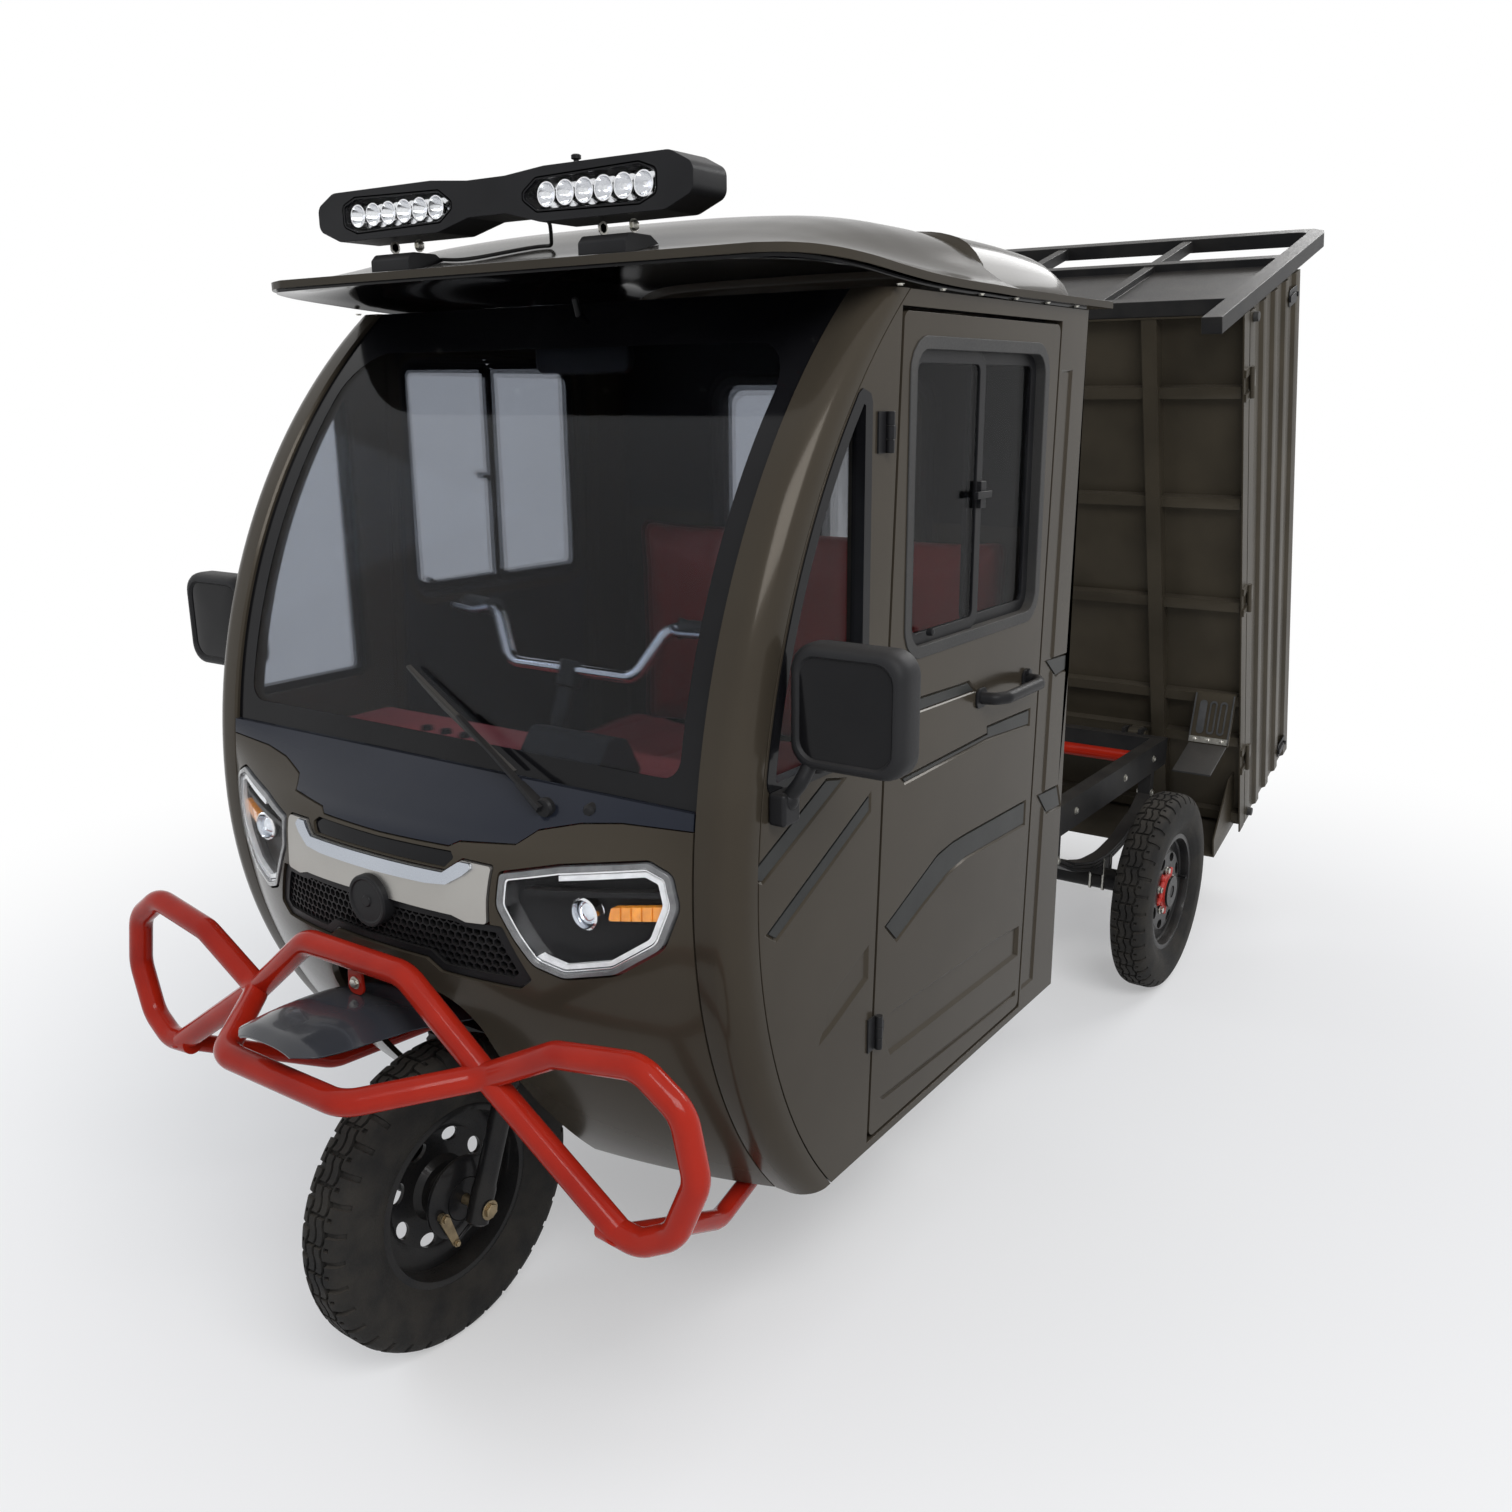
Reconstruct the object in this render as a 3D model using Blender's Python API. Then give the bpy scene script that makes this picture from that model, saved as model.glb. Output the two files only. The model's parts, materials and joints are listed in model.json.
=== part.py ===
"""Electric cargo tricycle with a closed cab and a tipping bed, shown with the bed raised.

Metres, +Z up, front of the vehicle towards -Y, its left side towards +X. The ground is
Z = 0 and the origin lies under the middle of the vehicle. A bed size is given in the
bed's own frame: u runs forward along the floor from the tipping pivot, w stands off it.
"""

import math

import bmesh
import bpy
from mathutils import Vector

for old in list(bpy.data.objects):
    bpy.data.objects.remove(old, do_unlink=True)

# Fits between pieces
SEAT_GAP = 0.0003
PIN_GAP = 0.0006
DOOR_GAP = 0.0065
BOARD_GAP = 0.0055

# Where the front axle stands; every place along the vehicle is measured back from it
FRONT_AXLE_Y = -1.4232


def back(distance):
    """A place along Y, as a distance behind the front axle."""
    return FRONT_AXLE_Y + distance


# Wheels and axles
WHEELBASE = 2.068
TRACK = 1.090
TYRE_RADIUS = 0.265
TYRE_WIDTH = 0.100
RIM_RADIUS = 0.150
RIM_WIDTH = 0.070
RIM_HOLES = 8
WHEEL_STEPS = 32
REAR_AXLE_Y = back(WHEELBASE)
WHEEL_X = TRACK / 2
AXLE_STUB_RADIUS = 0.016
AXLE_TUBE_RADIUS = 0.030
DRUM_RADIUS = 0.078
MOTOR_RADIUS = 0.085

# Steering
RAKE = math.radians(22.0)
AXIS_SETBACK = 0.035
FORK_LEG_RADIUS = 0.021
FORK_HALF_SPAN = 0.088
FRONT_AXLE_RADIUS = 0.009
CROWN_HEIGHT = 0.620
STEM_RADIUS = 0.015
HEAD_TUBE_RADIUS = 0.026
HEAD_LOW = 0.660
HEAD_HIGH = 0.830
BAR_HEIGHT = 1.100
BAR_RADIUS = 0.011

# Cab shell
CAB_HALF = 0.585
CAB_WALL = 0.035
DOOR_WALL = 0.029
FACE_HALF = 0.515
PILLAR_WIDTH = 0.070
PILLAR_DEPTH = 0.060
CAB_BOTTOM = 0.325
CAB_TOP = 1.715
CAB_REAR = back(1.218)
CURVE_HEIGHT = 0.87
FRONT_Y = back(0.038)
UPPER_RADIUS = 1.082
LOWER_RADIUS = 0.829
REAR_WALL_THICK = 0.030
NOSE_THICK = 0.012
NOSE_TOP = 1.010
GLASS_THICK = 0.005
GLASS_INSET = 0.010
ARCH_HALF = 0.200
ARCH_TOP = 0.690

# Door and windows
DOOR_FRONT_LOW = back(0.418)
DOOR_FRONT_HIGH = back(0.483)
DOOR_REAR_LOW = back(1.044)
DOOR_REAR_HIGH = back(1.092)
DOOR_BOTTOM = 0.340
DOOR_TOP = 1.690
HINGE_BACK = 0.438
HINGE_OUT = 0.008
HINGE_RADIUS = 0.007
HINGE_HEIGHTS = (0.540, 1.510)
WINDOW_LOW = 1.160
WINDOW_HIGH = 1.640
WINDOW_FRONT = back(0.519)
WINDOW_REAR = back(1.030)
WINDOW_CORNER = 0.045
HANDLE_HEIGHT = 1.040
HANDLE_FRONT = back(0.800)
HANDLE_REAR = back(1.000)
HANDLE_REACH = 0.042
QUARTER_LOW = 1.030
QUARTER_HIGH = 1.560
QUARTER_REAR = back(0.388)
REAR_WINDOW_HALF = 0.270
REAR_WINDOW_LOW = 1.170
REAR_WINDOW_HIGH = 1.590

# Roof
ROOF_HALF = CAB_HALF + 0.015
ROOF_FRONT = back(0.218)
ROOF_SKIN = 0.018
DOME_HEIGHT = 0.120
DOME_STEP = back(0.860)

# Lamp bar on the roof
LAMP_BAR_HALF = 0.395
LAMP_BAR_Y = back(0.268)
LAMP_BAR_LOW = 1.814
LAMP_BAR_HIGH = 1.891
LAMP_BAR_DEPTH = 0.080
LAMP_FOOT_X = 0.227

# Chassis
RAIL_OUTER = 0.400
RAIL_WIDTH = 0.040
RAIL_TOP = 0.570
RAIL_DEPTH = 0.080
RAIL_REAR = REAR_AXLE_Y + 0.452
RAIL_STEP = back(0.700)
LOW_RAIL_FRONT = back(0.360)
LOW_RAIL_TOP = 0.330
LOW_RAIL_DEPTH = 0.045
FLOOR_THICK = 0.025
FLOOR_EDGE_GAP = 0.003
CROSS_TUBE_RADIUS = 0.019
CROSS_TUBE_Y = REAR_AXLE_Y + 0.280
CROSS_TUBE_Z = 0.541

# Seat and dash
SEAT_TOP = 0.740
SEAT_HALF = CAB_HALF - CAB_WALL - 0.050
SEAT_FRONT = back(0.640)
CUSHION_THICK = 0.095
BACKREST_THICK = 0.075
BACKREST_HIGH = 1.300
DASH_TOP = 0.965
DASH_THICK = 0.030
DASH_REAR = back(0.400)

# Tipping bed
PIVOT_Y = REAR_AXLE_Y + 0.480
PIVOT_Z = 0.560
PIVOT_PIN_RADIUS = 0.015
LUG_RADIUS = 0.0245
LUG_DROP = 0.030
TIP_ANGLE = math.radians(74.0)
BED_HALF = 0.600
BED_AHEAD = 1.230
BED_BEHIND = 0.300
BED_FLOOR_W = 0.060
FLOOR_SHEET = 0.003
RIB_LOW_W = 0.030
RIB_WIDTH = 0.030
BEAM_LOW_W = 0.018
BEAM_X = 0.356
BEAM_WIDTH = 0.040
BOARD_HEIGHT = 0.480
BOARD_THICK = 0.028
GUARD_WIDTH = 0.050
GUARD_DEPTH = 0.040
GUARD_LOW_W = -0.170
GUARD_HIGH_W = 0.850
SKIRT_DROP = 0.200
SKIRT_HALF = 0.570
SKIRT_SHEET = 0.004

# Tipping cylinder, in three stages
RAM_BASE_Y = back(1.368)
RAM_BASE_Z = 0.420
RAM_PIN_U = 0.550
RAM_PIN_RADIUS = 0.012
EYE_CHANNEL_HALF = 0.0235
EYE_CHANNEL_U = (0.350, 0.600)
EYE_CHANNEL_TOP = 0.0535
BARREL_RADIUS = 0.038
STAGE_RADIUS = 0.029
ROD_RADIUS = 0.020
BARREL_LENGTH = 0.585

# Bumper
BUMPER_RADIUS = 0.020
BUMPER_Y = back(-0.132)
BUMPER_NOSE = 0.155
STAY_RADIUS = 0.016

# Mirrors
MIRROR_X = CAB_HALF + 0.107
MIRROR_Y = back(0.172)
MIRROR_Z = 1.155


def material(name, colour, roughness, metallic=0.0, alpha=1.0):
    """One Principled finish, made once and shared by its pieces."""
    finish = bpy.data.materials.get(name)
    if finish:
        return finish
    finish = bpy.data.materials.new(name)
    finish.use_nodes = True
    shader = finish.node_tree.nodes["Principled BSDF"]
    shader.inputs["Base Color"].default_value = (*colour, 1.0)
    shader.inputs["Roughness"].default_value = roughness
    shader.inputs["Metallic"].default_value = metallic
    shader.inputs["Alpha"].default_value = alpha
    finish.diffuse_color = (*colour, alpha)
    return finish


def paint():
    return material("cab_paint", (0.075, 0.066, 0.055), 0.25, 0.6)


def bed_paint():
    return material("bed_paint", (0.085, 0.075, 0.058), 0.40, 0.4)


def black_steel():
    return material("black_steel", (0.012, 0.012, 0.013), 0.45, 0.3)


def black_plastic():
    return material("black_plastic", (0.015, 0.015, 0.016), 0.50)


def red_paint():
    return material("red_paint", (0.55, 0.030, 0.018), 0.25)


def rubber():
    return material("rubber", (0.018, 0.018, 0.018), 0.85)


def glass():
    return material("tinted_glass", (0.10, 0.12, 0.13), 0.05, 0.0, 0.35)


def chrome():
    return material("chrome", (0.80, 0.80, 0.80), 0.12, 1.0)


def silver():
    return material("satin_silver", (0.60, 0.61, 0.62), 0.30, 0.9)


def red_cover():
    return material("red_cover", (0.35, 0.030, 0.030), 0.60)


def to_object(name, bm):
    """A mesh object of the given name from a bmesh whose faces are turned outward."""
    bmesh.ops.recalc_face_normals(bm, faces=bm.faces)
    mesh = bpy.data.meshes.new(name)
    bm.to_mesh(mesh)
    bm.free()
    thing = bpy.data.objects.new(name, mesh)
    bpy.context.scene.collection.objects.link(thing)
    return thing


def evaluated_mesh(thing):
    bpy.context.view_layer.update()
    graph = bpy.context.evaluated_depsgraph_get()
    return bpy.data.meshes.new_from_object(thing.evaluated_get(graph))


def combine(target, tool, operation):
    """Join a tool body to the target, or cut it out, and remove the tool."""
    change = target.modifiers.new("shape", "BOOLEAN")
    change.operation = operation
    change.solver = "EXACT"
    change.object = tool
    mesh = evaluated_mesh(target)
    target.modifiers.clear()
    old_mesh = target.data
    target.data = mesh
    bpy.data.meshes.remove(old_mesh)
    bpy.data.objects.remove(tool, do_unlink=True)
    return target


def node(name, bodies, finish, cutters=(), home=None, smooth=35.0):
    """One sub-part: bodies joined into one, cutters taken out, and its own finish.

    home is the empty on whose axis the piece turns; it keeps the piece's rest pose.
    """
    piece = to_object(name, bodies[0])
    for number, body in enumerate(bodies[1:]):
        combine(piece, to_object(f"{name}_body_{number}", body), "UNION")
    for number, cutter in enumerate(cutters):
        combine(piece, to_object(f"{name}_cut_{number}", cutter), "DIFFERENCE")
    flatten(piece)
    piece.data.materials.clear()
    piece.data.materials.append(finish)
    piece.data.shade_smooth()
    piece.data.set_sharp_from_angle(angle=math.radians(smooth))
    if home is not None:
        piece.parent = home
    return piece


def flatten(piece):
    """Let flat areas that the joins and cuts have split be single faces again."""
    bm = bmesh.new()
    bm.from_mesh(piece.data)
    bmesh.ops.dissolve_limit(bm, angle_limit=math.radians(0.05), verts=bm.verts, edges=bm.edges)
    bm.to_mesh(piece.data)
    bm.free()


def united(bodies):
    """Several bodies joined into one, as a body again."""
    piece = to_object("united", bodies[0])
    for body in bodies[1:]:
        combine(piece, to_object("body", body), "UNION")
    bm = bmesh.new()
    bm.from_mesh(piece.data)
    bpy.data.objects.remove(piece, do_unlink=True)
    return bm


SIDES = (("left", 1), ("right", -1))


def axis_home(name, place, tilt=0.0):
    """An empty on a joint's axis, tilted about X."""
    home = bpy.data.objects.new(name, None)
    home.empty_display_size = 0.05
    home.location = place
    home.rotation_euler = (tilt, 0.0, 0.0)
    bpy.context.scene.collection.objects.link(home)
    return home


def box(x_span, y_span, z_span):
    """A box from its low and high X, Y and Z."""
    bm = bmesh.new()
    corners = []
    for z in z_span:
        for x, y in ((0, 0), (1, 0), (1, 1), (0, 1)):
            corners.append(bm.verts.new((x_span[x], y_span[y], z)))
    bm.faces.new(corners[:4])
    bm.faces.new(corners[4:])
    for i in range(4):
        j = (i + 1) % 4
        bm.faces.new((corners[i], corners[j], corners[j + 4], corners[i + 4]))
    return bm


def mirrored_boxes(x_span, y_span, z_span):
    return [box(x_span, y_span, z_span), box((-x_span[1], -x_span[0]), y_span, z_span)]


AXES = {"X": (1, 2, 0), "Y": (2, 0, 1), "Z": (0, 1, 2)}


def prism(outline, axis, low, high):
    """A flat outline carried along X, Y or Z. On X it is (y, z), on Y (z, x), on Z (x, y)."""
    first, second, along = AXES[axis]
    bm = bmesh.new()
    loops = []
    for level in (low, high):
        loop = []
        for a, b in outline:
            point = [0.0, 0.0, 0.0]
            point[first] = a
            point[second] = b
            point[along] = level
            loop.append(bm.verts.new(point))
        loops.append(loop)
    bm.faces.new(loops[0])
    bm.faces.new(loops[1])
    count = len(outline)
    for i in range(count):
        j = (i + 1) % count
        bm.faces.new((loops[0][i], loops[0][j], loops[1][j], loops[1][i]))
    return bm


def rounded(corners, radii, steps=4):
    """A polygon with its corners rounded; radii is one number or one for each corner."""
    count = len(corners)
    if not hasattr(radii, "__len__"):
        radii = [radii] * count
    points = []
    for i in range(count):
        here = Vector(corners[i])
        back = (Vector(corners[i - 1]) - here).normalized()
        ahead = (Vector(corners[(i + 1) % count]) - here).normalized()
        if radii[i] <= 0.0:
            points.append(tuple(here))
            continue
        half = back.angle(ahead) / 2.0
        reach = radii[i] / math.tan(half)
        middle = here + (back + ahead).normalized() * (radii[i] / math.sin(half))
        start = here + back * reach - middle
        end = here + ahead * reach - middle
        for k in range(steps + 1):
            spoke = start.lerp(end, k / steps)
            points.append(tuple(middle + spoke.normalized() * radii[i]))
    return points


def rounded_box_outline(low_a, high_a, low_b, high_b, radius, steps=4):
    corners = [(low_a, low_b), (high_a, low_b), (high_a, high_b), (low_a, high_b)]
    return rounded(corners, radius, steps)


def grown(outline, gap):
    """The outline moved outward by a small gap, corner by corner."""
    count = len(outline)
    area = 0.0
    for i in range(count):
        a, b = outline[i], outline[(i + 1) % count]
        area += a[0] * b[1] - b[0] * a[1]
    turn = 1.0 if area > 0.0 else -1.0
    points = []
    for i in range(count):
        here = Vector(outline[i])
        back_way = (here - Vector(outline[i - 1])).normalized()
        ahead = (Vector(outline[(i + 1) % count]) - here).normalized()
        out_a = Vector((back_way.y, -back_way.x)) * turn
        out_b = Vector((ahead.y, -ahead.x)) * turn
        way = (out_a + out_b).normalized()
        points.append(tuple(here + way * (gap / max(0.35, way.dot(out_a)))))
    return points


def circle(centre_a, centre_b, radius, count):
    points = []
    for i in range(count):
        turn = 2.0 * math.pi * i / count
        points.append((centre_a + radius * math.cos(turn), centre_b + radius * math.sin(turn)))
    return points


def smooth_route(points, bend, steps=3, closed=False):
    """The route's points with each corner turned on an arc of the bend radius."""
    route = []
    count = len(points)
    for i in range(count):
        here = Vector(points[i])
        if not closed and i in (0, count - 1):
            route.append(here)
            continue
        back = Vector(points[i - 1]) - here
        ahead = Vector(points[(i + 1) % count]) - here
        angle = back.angle(ahead)
        if angle > math.radians(176.0) or bend <= 0.0:
            route.append(here)
            continue
        reach = min(bend / math.tan(angle / 2.0), back.length * 0.48, ahead.length * 0.48)
        radius = reach * math.tan(angle / 2.0)
        inward = (back.normalized() + ahead.normalized()).normalized()
        middle = here + inward * (radius / math.sin(angle / 2.0))
        start = here + back.normalized() * reach - middle
        end = here + ahead.normalized() * reach - middle
        for k in range(steps + 1):
            spoke = start.lerp(end, k / steps).normalized()
            route.append(middle + spoke * radius)
    return route


def sweep(route, section, closed=False):
    """A section, points off the route's centre line, carried along it without twist."""
    bm = bmesh.new()
    count = len(route)
    tangents = []
    for i in range(count):
        if closed:
            step = route[(i + 1) % count] - route[i - 1]
        elif i == 0:
            step = route[1] - route[0]
        elif i == count - 1:
            step = route[-1] - route[-2]
        else:
            step = (route[i + 1] - route[i]).normalized() + (route[i] - route[i - 1]).normalized()
        tangents.append(step.normalized())
    helper = Vector((1.0, 0.0, 0.0))
    if abs(tangents[0].x) > 0.8:
        helper = Vector((0.0, 0.0, 1.0))
    side = (helper - tangents[0] * helper.dot(tangents[0])).normalized()
    rings = []
    for i in range(count):
        side = (side - tangents[i] * side.dot(tangents[i])).normalized()
        up = tangents[i].cross(side)
        rings.append([bm.verts.new(route[i] + side * a + up * b) for a, b in section])
    spans = count if closed else count - 1
    sides = len(section)
    for i in range(spans):
        ring, following = rings[i], rings[(i + 1) % count]
        for k in range(sides):
            m = (k + 1) % sides
            bm.faces.new((ring[k], ring[m], following[m], following[k]))
    if not closed:
        bm.faces.new(rings[0])
        bm.faces.new(rings[-1])
    return bm


def tube(points, radius, bend=0.0, sides=8, closed=False, steps=3):
    route = smooth_route(points, bend, steps, closed)
    return sweep(route, circle(0.0, 0.0, radius, sides), closed)


def square_tube(points, width, depth, bend=0.0, steps=2):
    """A tube of square section; width lies along X where the route allows."""
    section = [(-width / 2, -depth / 2), (width / 2, -depth / 2),
               (width / 2, depth / 2), (-width / 2, depth / 2)]
    return sweep(smooth_route(points, bend, steps), section)


def rod(start, end, radius, sides=12):
    return sweep([Vector(start), Vector(end)], circle(0.0, 0.0, radius, sides))


def turned(profile, centre, axis, steps):
    """A closed profile of (along, radius) pairs turned about X, Y or Z."""
    first, second, along = AXES[axis]
    bm = bmesh.new()
    rings = []
    for distance, radius in profile:
        ring = []
        for i in range(steps if radius > 1e-6 else 1):
            turn = 2.0 * math.pi * i / steps
            point = [0.0, 0.0, 0.0]
            point[first] = centre[first] + radius * math.cos(turn)
            point[second] = centre[second] + radius * math.sin(turn)
            point[along] = centre[along] + distance
            ring.append(bm.verts.new(point))
        rings.append(ring)
    count = len(rings)
    for j in range(count):
        a, b = rings[j], rings[(j + 1) % count]
        if len(a) == 1 and len(b) == 1:
            continue
        for i in range(steps):
            k = (i + 1) % steps
            if len(a) == 1:
                bm.faces.new((a[0], b[k], b[i]))
            elif len(b) == 1:
                bm.faces.new((a[i], a[k], b[0]))
            else:
                bm.faces.new((a[i], a[k], b[k], b[i]))
    return bm


def shell(outer, inner):
    """A closed sheet between two grids of points of the same shape."""
    bm = bmesh.new()
    rows, columns = len(outer), len(outer[0])
    top = [[bm.verts.new(p) for p in row] for row in outer]
    low = [[bm.verts.new(p) for p in row] for row in inner]
    for i in range(rows - 1):
        for j in range(columns - 1):
            bm.faces.new((top[i][j], top[i + 1][j], top[i + 1][j + 1], top[i][j + 1]))
            bm.faces.new((low[i][j], low[i][j + 1], low[i + 1][j + 1], low[i + 1][j]))
    for i in range(rows - 1):
        bm.faces.new((top[i][0], low[i][0], low[i + 1][0], top[i + 1][0]))
        bm.faces.new((top[i][-1], top[i + 1][-1], low[i + 1][-1], low[i][-1]))
    for j in range(columns - 1):
        bm.faces.new((top[0][j], top[0][j + 1], low[0][j + 1], low[0][j]))
        bm.faces.new((top[-1][j], low[-1][j], low[-1][j + 1], top[-1][j + 1]))
    return bm


def table_value(table, where):
    """Straight-line reading of a table of (where, value) rows in rising order."""
    if where <= table[0][0]:
        return table[0][1]
    for (low, a), (high, b) in zip(table, table[1:]):
        if where <= high:
            return a + (b - a) * (where - low) / (high - low)
    return table[-1][1]


def front_y(z):
    """The cab's front line seen from the side: two arcs that meet at CURVE_HEIGHT."""
    radius = UPPER_RADIUS if z > CURVE_HEIGHT else LOWER_RADIUS
    drop = z - CURVE_HEIGHT
    return FRONT_Y + radius - math.sqrt(radius * radius - drop * drop)


def front_line(low, high, inset, steps):
    """Points of the front line between two heights, set back along Y by the inset."""
    points = []
    for i in range(steps + 1):
        z = low + (high - low) * i / steps
        points.append((front_y(z) + inset, z))
    return points


def door_outline(inset):
    """The door's four corners, as (y, z), moved inward by the inset."""
    return [
        (DOOR_FRONT_LOW + inset, DOOR_BOTTOM + inset),
        (DOOR_REAR_LOW - inset, DOOR_BOTTOM + inset),
        (DOOR_REAR_HIGH - inset, DOOR_TOP - inset),
        (DOOR_FRONT_HIGH + inset, DOOR_TOP - inset),
    ]


def flip_x(bm, side):
    """The body itself on the left, or its mirror image on the right."""
    if side < 0:
        bmesh.ops.scale(bm, vec=(-1.0, 1.0, 1.0), verts=bm.verts)
    return bm


def loft(rings):
    """A closed body through rings of as many points each, with flat ends."""
    bm = bmesh.new()
    loops = [[bm.verts.new(p) for p in ring] for ring in rings]
    count = len(loops[0])
    for ring, following in zip(loops, loops[1:]):
        for i in range(count):
            j = (i + 1) % count
            bm.faces.new((ring[i], ring[j], following[j], following[i]))
    bm.faces.new(loops[0])
    bm.faces.new(loops[-1])
    return bm


def clear_of(piece, neighbour):
    """The piece without what its neighbour, already grown by its gap, would take up."""
    return combine(piece, to_object("neighbour", neighbour), "DIFFERENCE")


# Steering axis

AXIS_FOOT = Vector((0.0, FRONT_AXLE_Y + AXIS_SETBACK, TYRE_RADIUS))
AXIS_WAY = Vector((0.0, math.sin(RAKE), math.cos(RAKE)))


def on_axis(z, ahead=0.0, x=0.0):
    """The point of the steering axis at a height, moved across by x and ahead along -Y."""
    step = (z - TYRE_RADIUS) / AXIS_WAY.z
    place = AXIS_FOOT + AXIS_WAY * step
    return Vector((x, place.y - ahead, place.z))


# Wheels

def tyre(name, centre_x, centre_y):
    """A tyre out to the tips of its tread blocks, on the rim's bead seats."""
    half = TYRE_WIDTH / 2
    bead = RIM_RADIUS + SEAT_GAP
    # across as a share of the half width, radius
    profile = [
        (-0.56, bead), (-0.90, bead + 0.028), (-1.00, bead + 0.060), (-0.92, TYRE_RADIUS - 0.022),
        (-0.72, TYRE_RADIUS - 0.006), (-0.35, TYRE_RADIUS), (0.35, TYRE_RADIUS),
        (0.72, TYRE_RADIUS - 0.006), (0.92, TYRE_RADIUS - 0.022), (1.00, bead + 0.060),
        (0.90, bead + 0.028), (0.56, bead),
    ]
    carcass = [(half * across, radius) for across, radius in profile]
    node(name, [turned(carcass, (centre_x, centre_y, TYRE_RADIUS), "X", WHEEL_STEPS)],
         rubber(), smooth=30.0)


def rim(name, centre_x, centre_y, side, bore, hub_radius, hub_in, hub_out):
    """A pressed rim: well, flanges, dished disc with its holes, and hub bored for its axle."""
    half = RIM_WIDTH / 2
    barrel = RIM_RADIUS - 0.008
    disc = 0.006
    # along the axle towards the wheel's outer side, radius
    profile = [
        (-hub_in, bore), (-hub_in, hub_radius), (disc - 0.004, hub_radius), (disc - 0.004, barrel),
        (-half, barrel + 0.003), (-half, RIM_RADIUS + 0.010), (-half + 0.005, RIM_RADIUS),
        (half - 0.005, RIM_RADIUS), (half, RIM_RADIUS + 0.010), (half, barrel + 0.003),
        (disc + 0.004, barrel), (disc + 0.004, hub_radius), (hub_out, hub_radius),
        (hub_out, bore),
    ]
    placed = [(along * side, radius) for along, radius in profile]
    cutters = []
    for i in range(RIM_HOLES):
        turn = 2.0 * math.pi * (i + 0.55) / RIM_HOLES
        outline = []
        for along, across in circle(0.0, 0.0, 0.013, 6):
            radius = 0.088 + across
            step = along * 1.5
            outline.append((centre_y + radius * math.cos(turn) - step * math.sin(turn),
                            TYRE_RADIUS + radius * math.sin(turn) + step * math.cos(turn)))
        cutters.append(prism(outline, "X", centre_x - 0.02, centre_x + 0.02))
    wheel = turned(placed, (centre_x, centre_y, TYRE_RADIUS), "X", WHEEL_STEPS)
    node(name, [wheel], black_steel(), cutters=cutters)


def rear_wheels():
    for label, side in SIDES:
        centre = WHEEL_X * side
        tyre(f"rear_tyre_{label}", centre, REAR_AXLE_Y)
        rim(f"rear_rim_{label}", centre, REAR_AXLE_Y, side,
            AXLE_STUB_RADIUS + PIN_GAP, 0.042, 0.040, 0.036)


def front_wheel():
    tyre("front_tyre", 0.0, FRONT_AXLE_Y)
    rim("front_rim", 0.0, FRONT_AXLE_Y, -1,
        FRONT_AXLE_RADIUS + PIN_GAP, 0.036, 0.052, 0.052)


def rear_axle():
    """Axle tube with brake plates and stubs, the motor with its gear case, and the springs."""
    drum_in = WHEEL_X - 0.090
    drum_out = WHEEL_X - 0.044
    stub_end = WHEEL_X + 0.034
    centre = (0.0, REAR_AXLE_Y, TYRE_RADIUS)
    # along the axle, radius
    half = [
        (0.075, 0.095), (0.110, 0.070), (0.125, AXLE_TUBE_RADIUS),
        (drum_in, AXLE_TUBE_RADIUS), (drum_in, DRUM_RADIUS), (drum_out, DRUM_RADIUS),
        (drum_out, AXLE_STUB_RADIUS), (stub_end, AXLE_STUB_RADIUS), (stub_end, 0.0),
    ]
    profile = [(-a, r) for a, r in reversed(half)] + half
    axle = turned(profile, centre, "X", 20)
    motor_y = REAR_AXLE_Y - 0.180
    motor = turned([(-0.10, 0.0), (-0.10, MOTOR_RADIUS), (0.14, MOTOR_RADIUS), (0.14, 0.0)],
                   (0.0, motor_y, TYRE_RADIUS + 0.02), "X", 20)
    case = box((-0.09, -0.03), (motor_y, REAR_AXLE_Y), (TYRE_RADIUS - 0.05, TYRE_RADIUS + 0.07))
    springs = [leaf_spring(side) for _, side in SIDES]
    node("rear_axle", [axle, motor, case] + springs, black_steel())


def leaf_spring(side):
    """A leaf pack seated on the axle, with its eyes hung under the rail."""
    rail_bottom = RAIL_TOP - RAIL_DEPTH
    middle = RAIL_OUTER - RAIL_WIDTH / 2
    # behind the axle, height
    arc = [(-0.370, 0.425), (-0.250, 0.368), (-0.120, 0.332), (0.0, 0.320),
           (0.120, 0.332), (0.240, 0.368), (0.340, 0.425)]
    route = [Vector((middle, REAR_AXLE_Y + y, z)) for y, z in arc]
    leaf = sweep(route, [(-0.019, -0.009), (0.019, -0.009), (0.019, 0.009), (-0.019, 0.009)])
    short = sweep(route[1:-1], [(-0.018, -0.019), (0.018, -0.019), (0.018, 0.0), (-0.018, 0.0)])
    span = (middle - 0.018, middle + 0.018)
    bodies = [leaf, short, box(span, (REAR_AXLE_Y - 0.035, REAR_AXLE_Y + 0.035), (TYRE_RADIUS, 0.325))]
    for y, _ in (arc[0], arc[-1]):
        place = REAR_AXLE_Y + y
        bodies.append(box(span, (place - 0.016, place + 0.016), (0.410, rail_bottom - SEAT_GAP)))
    return flip_x(united(bodies), side)


# Chassis

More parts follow.
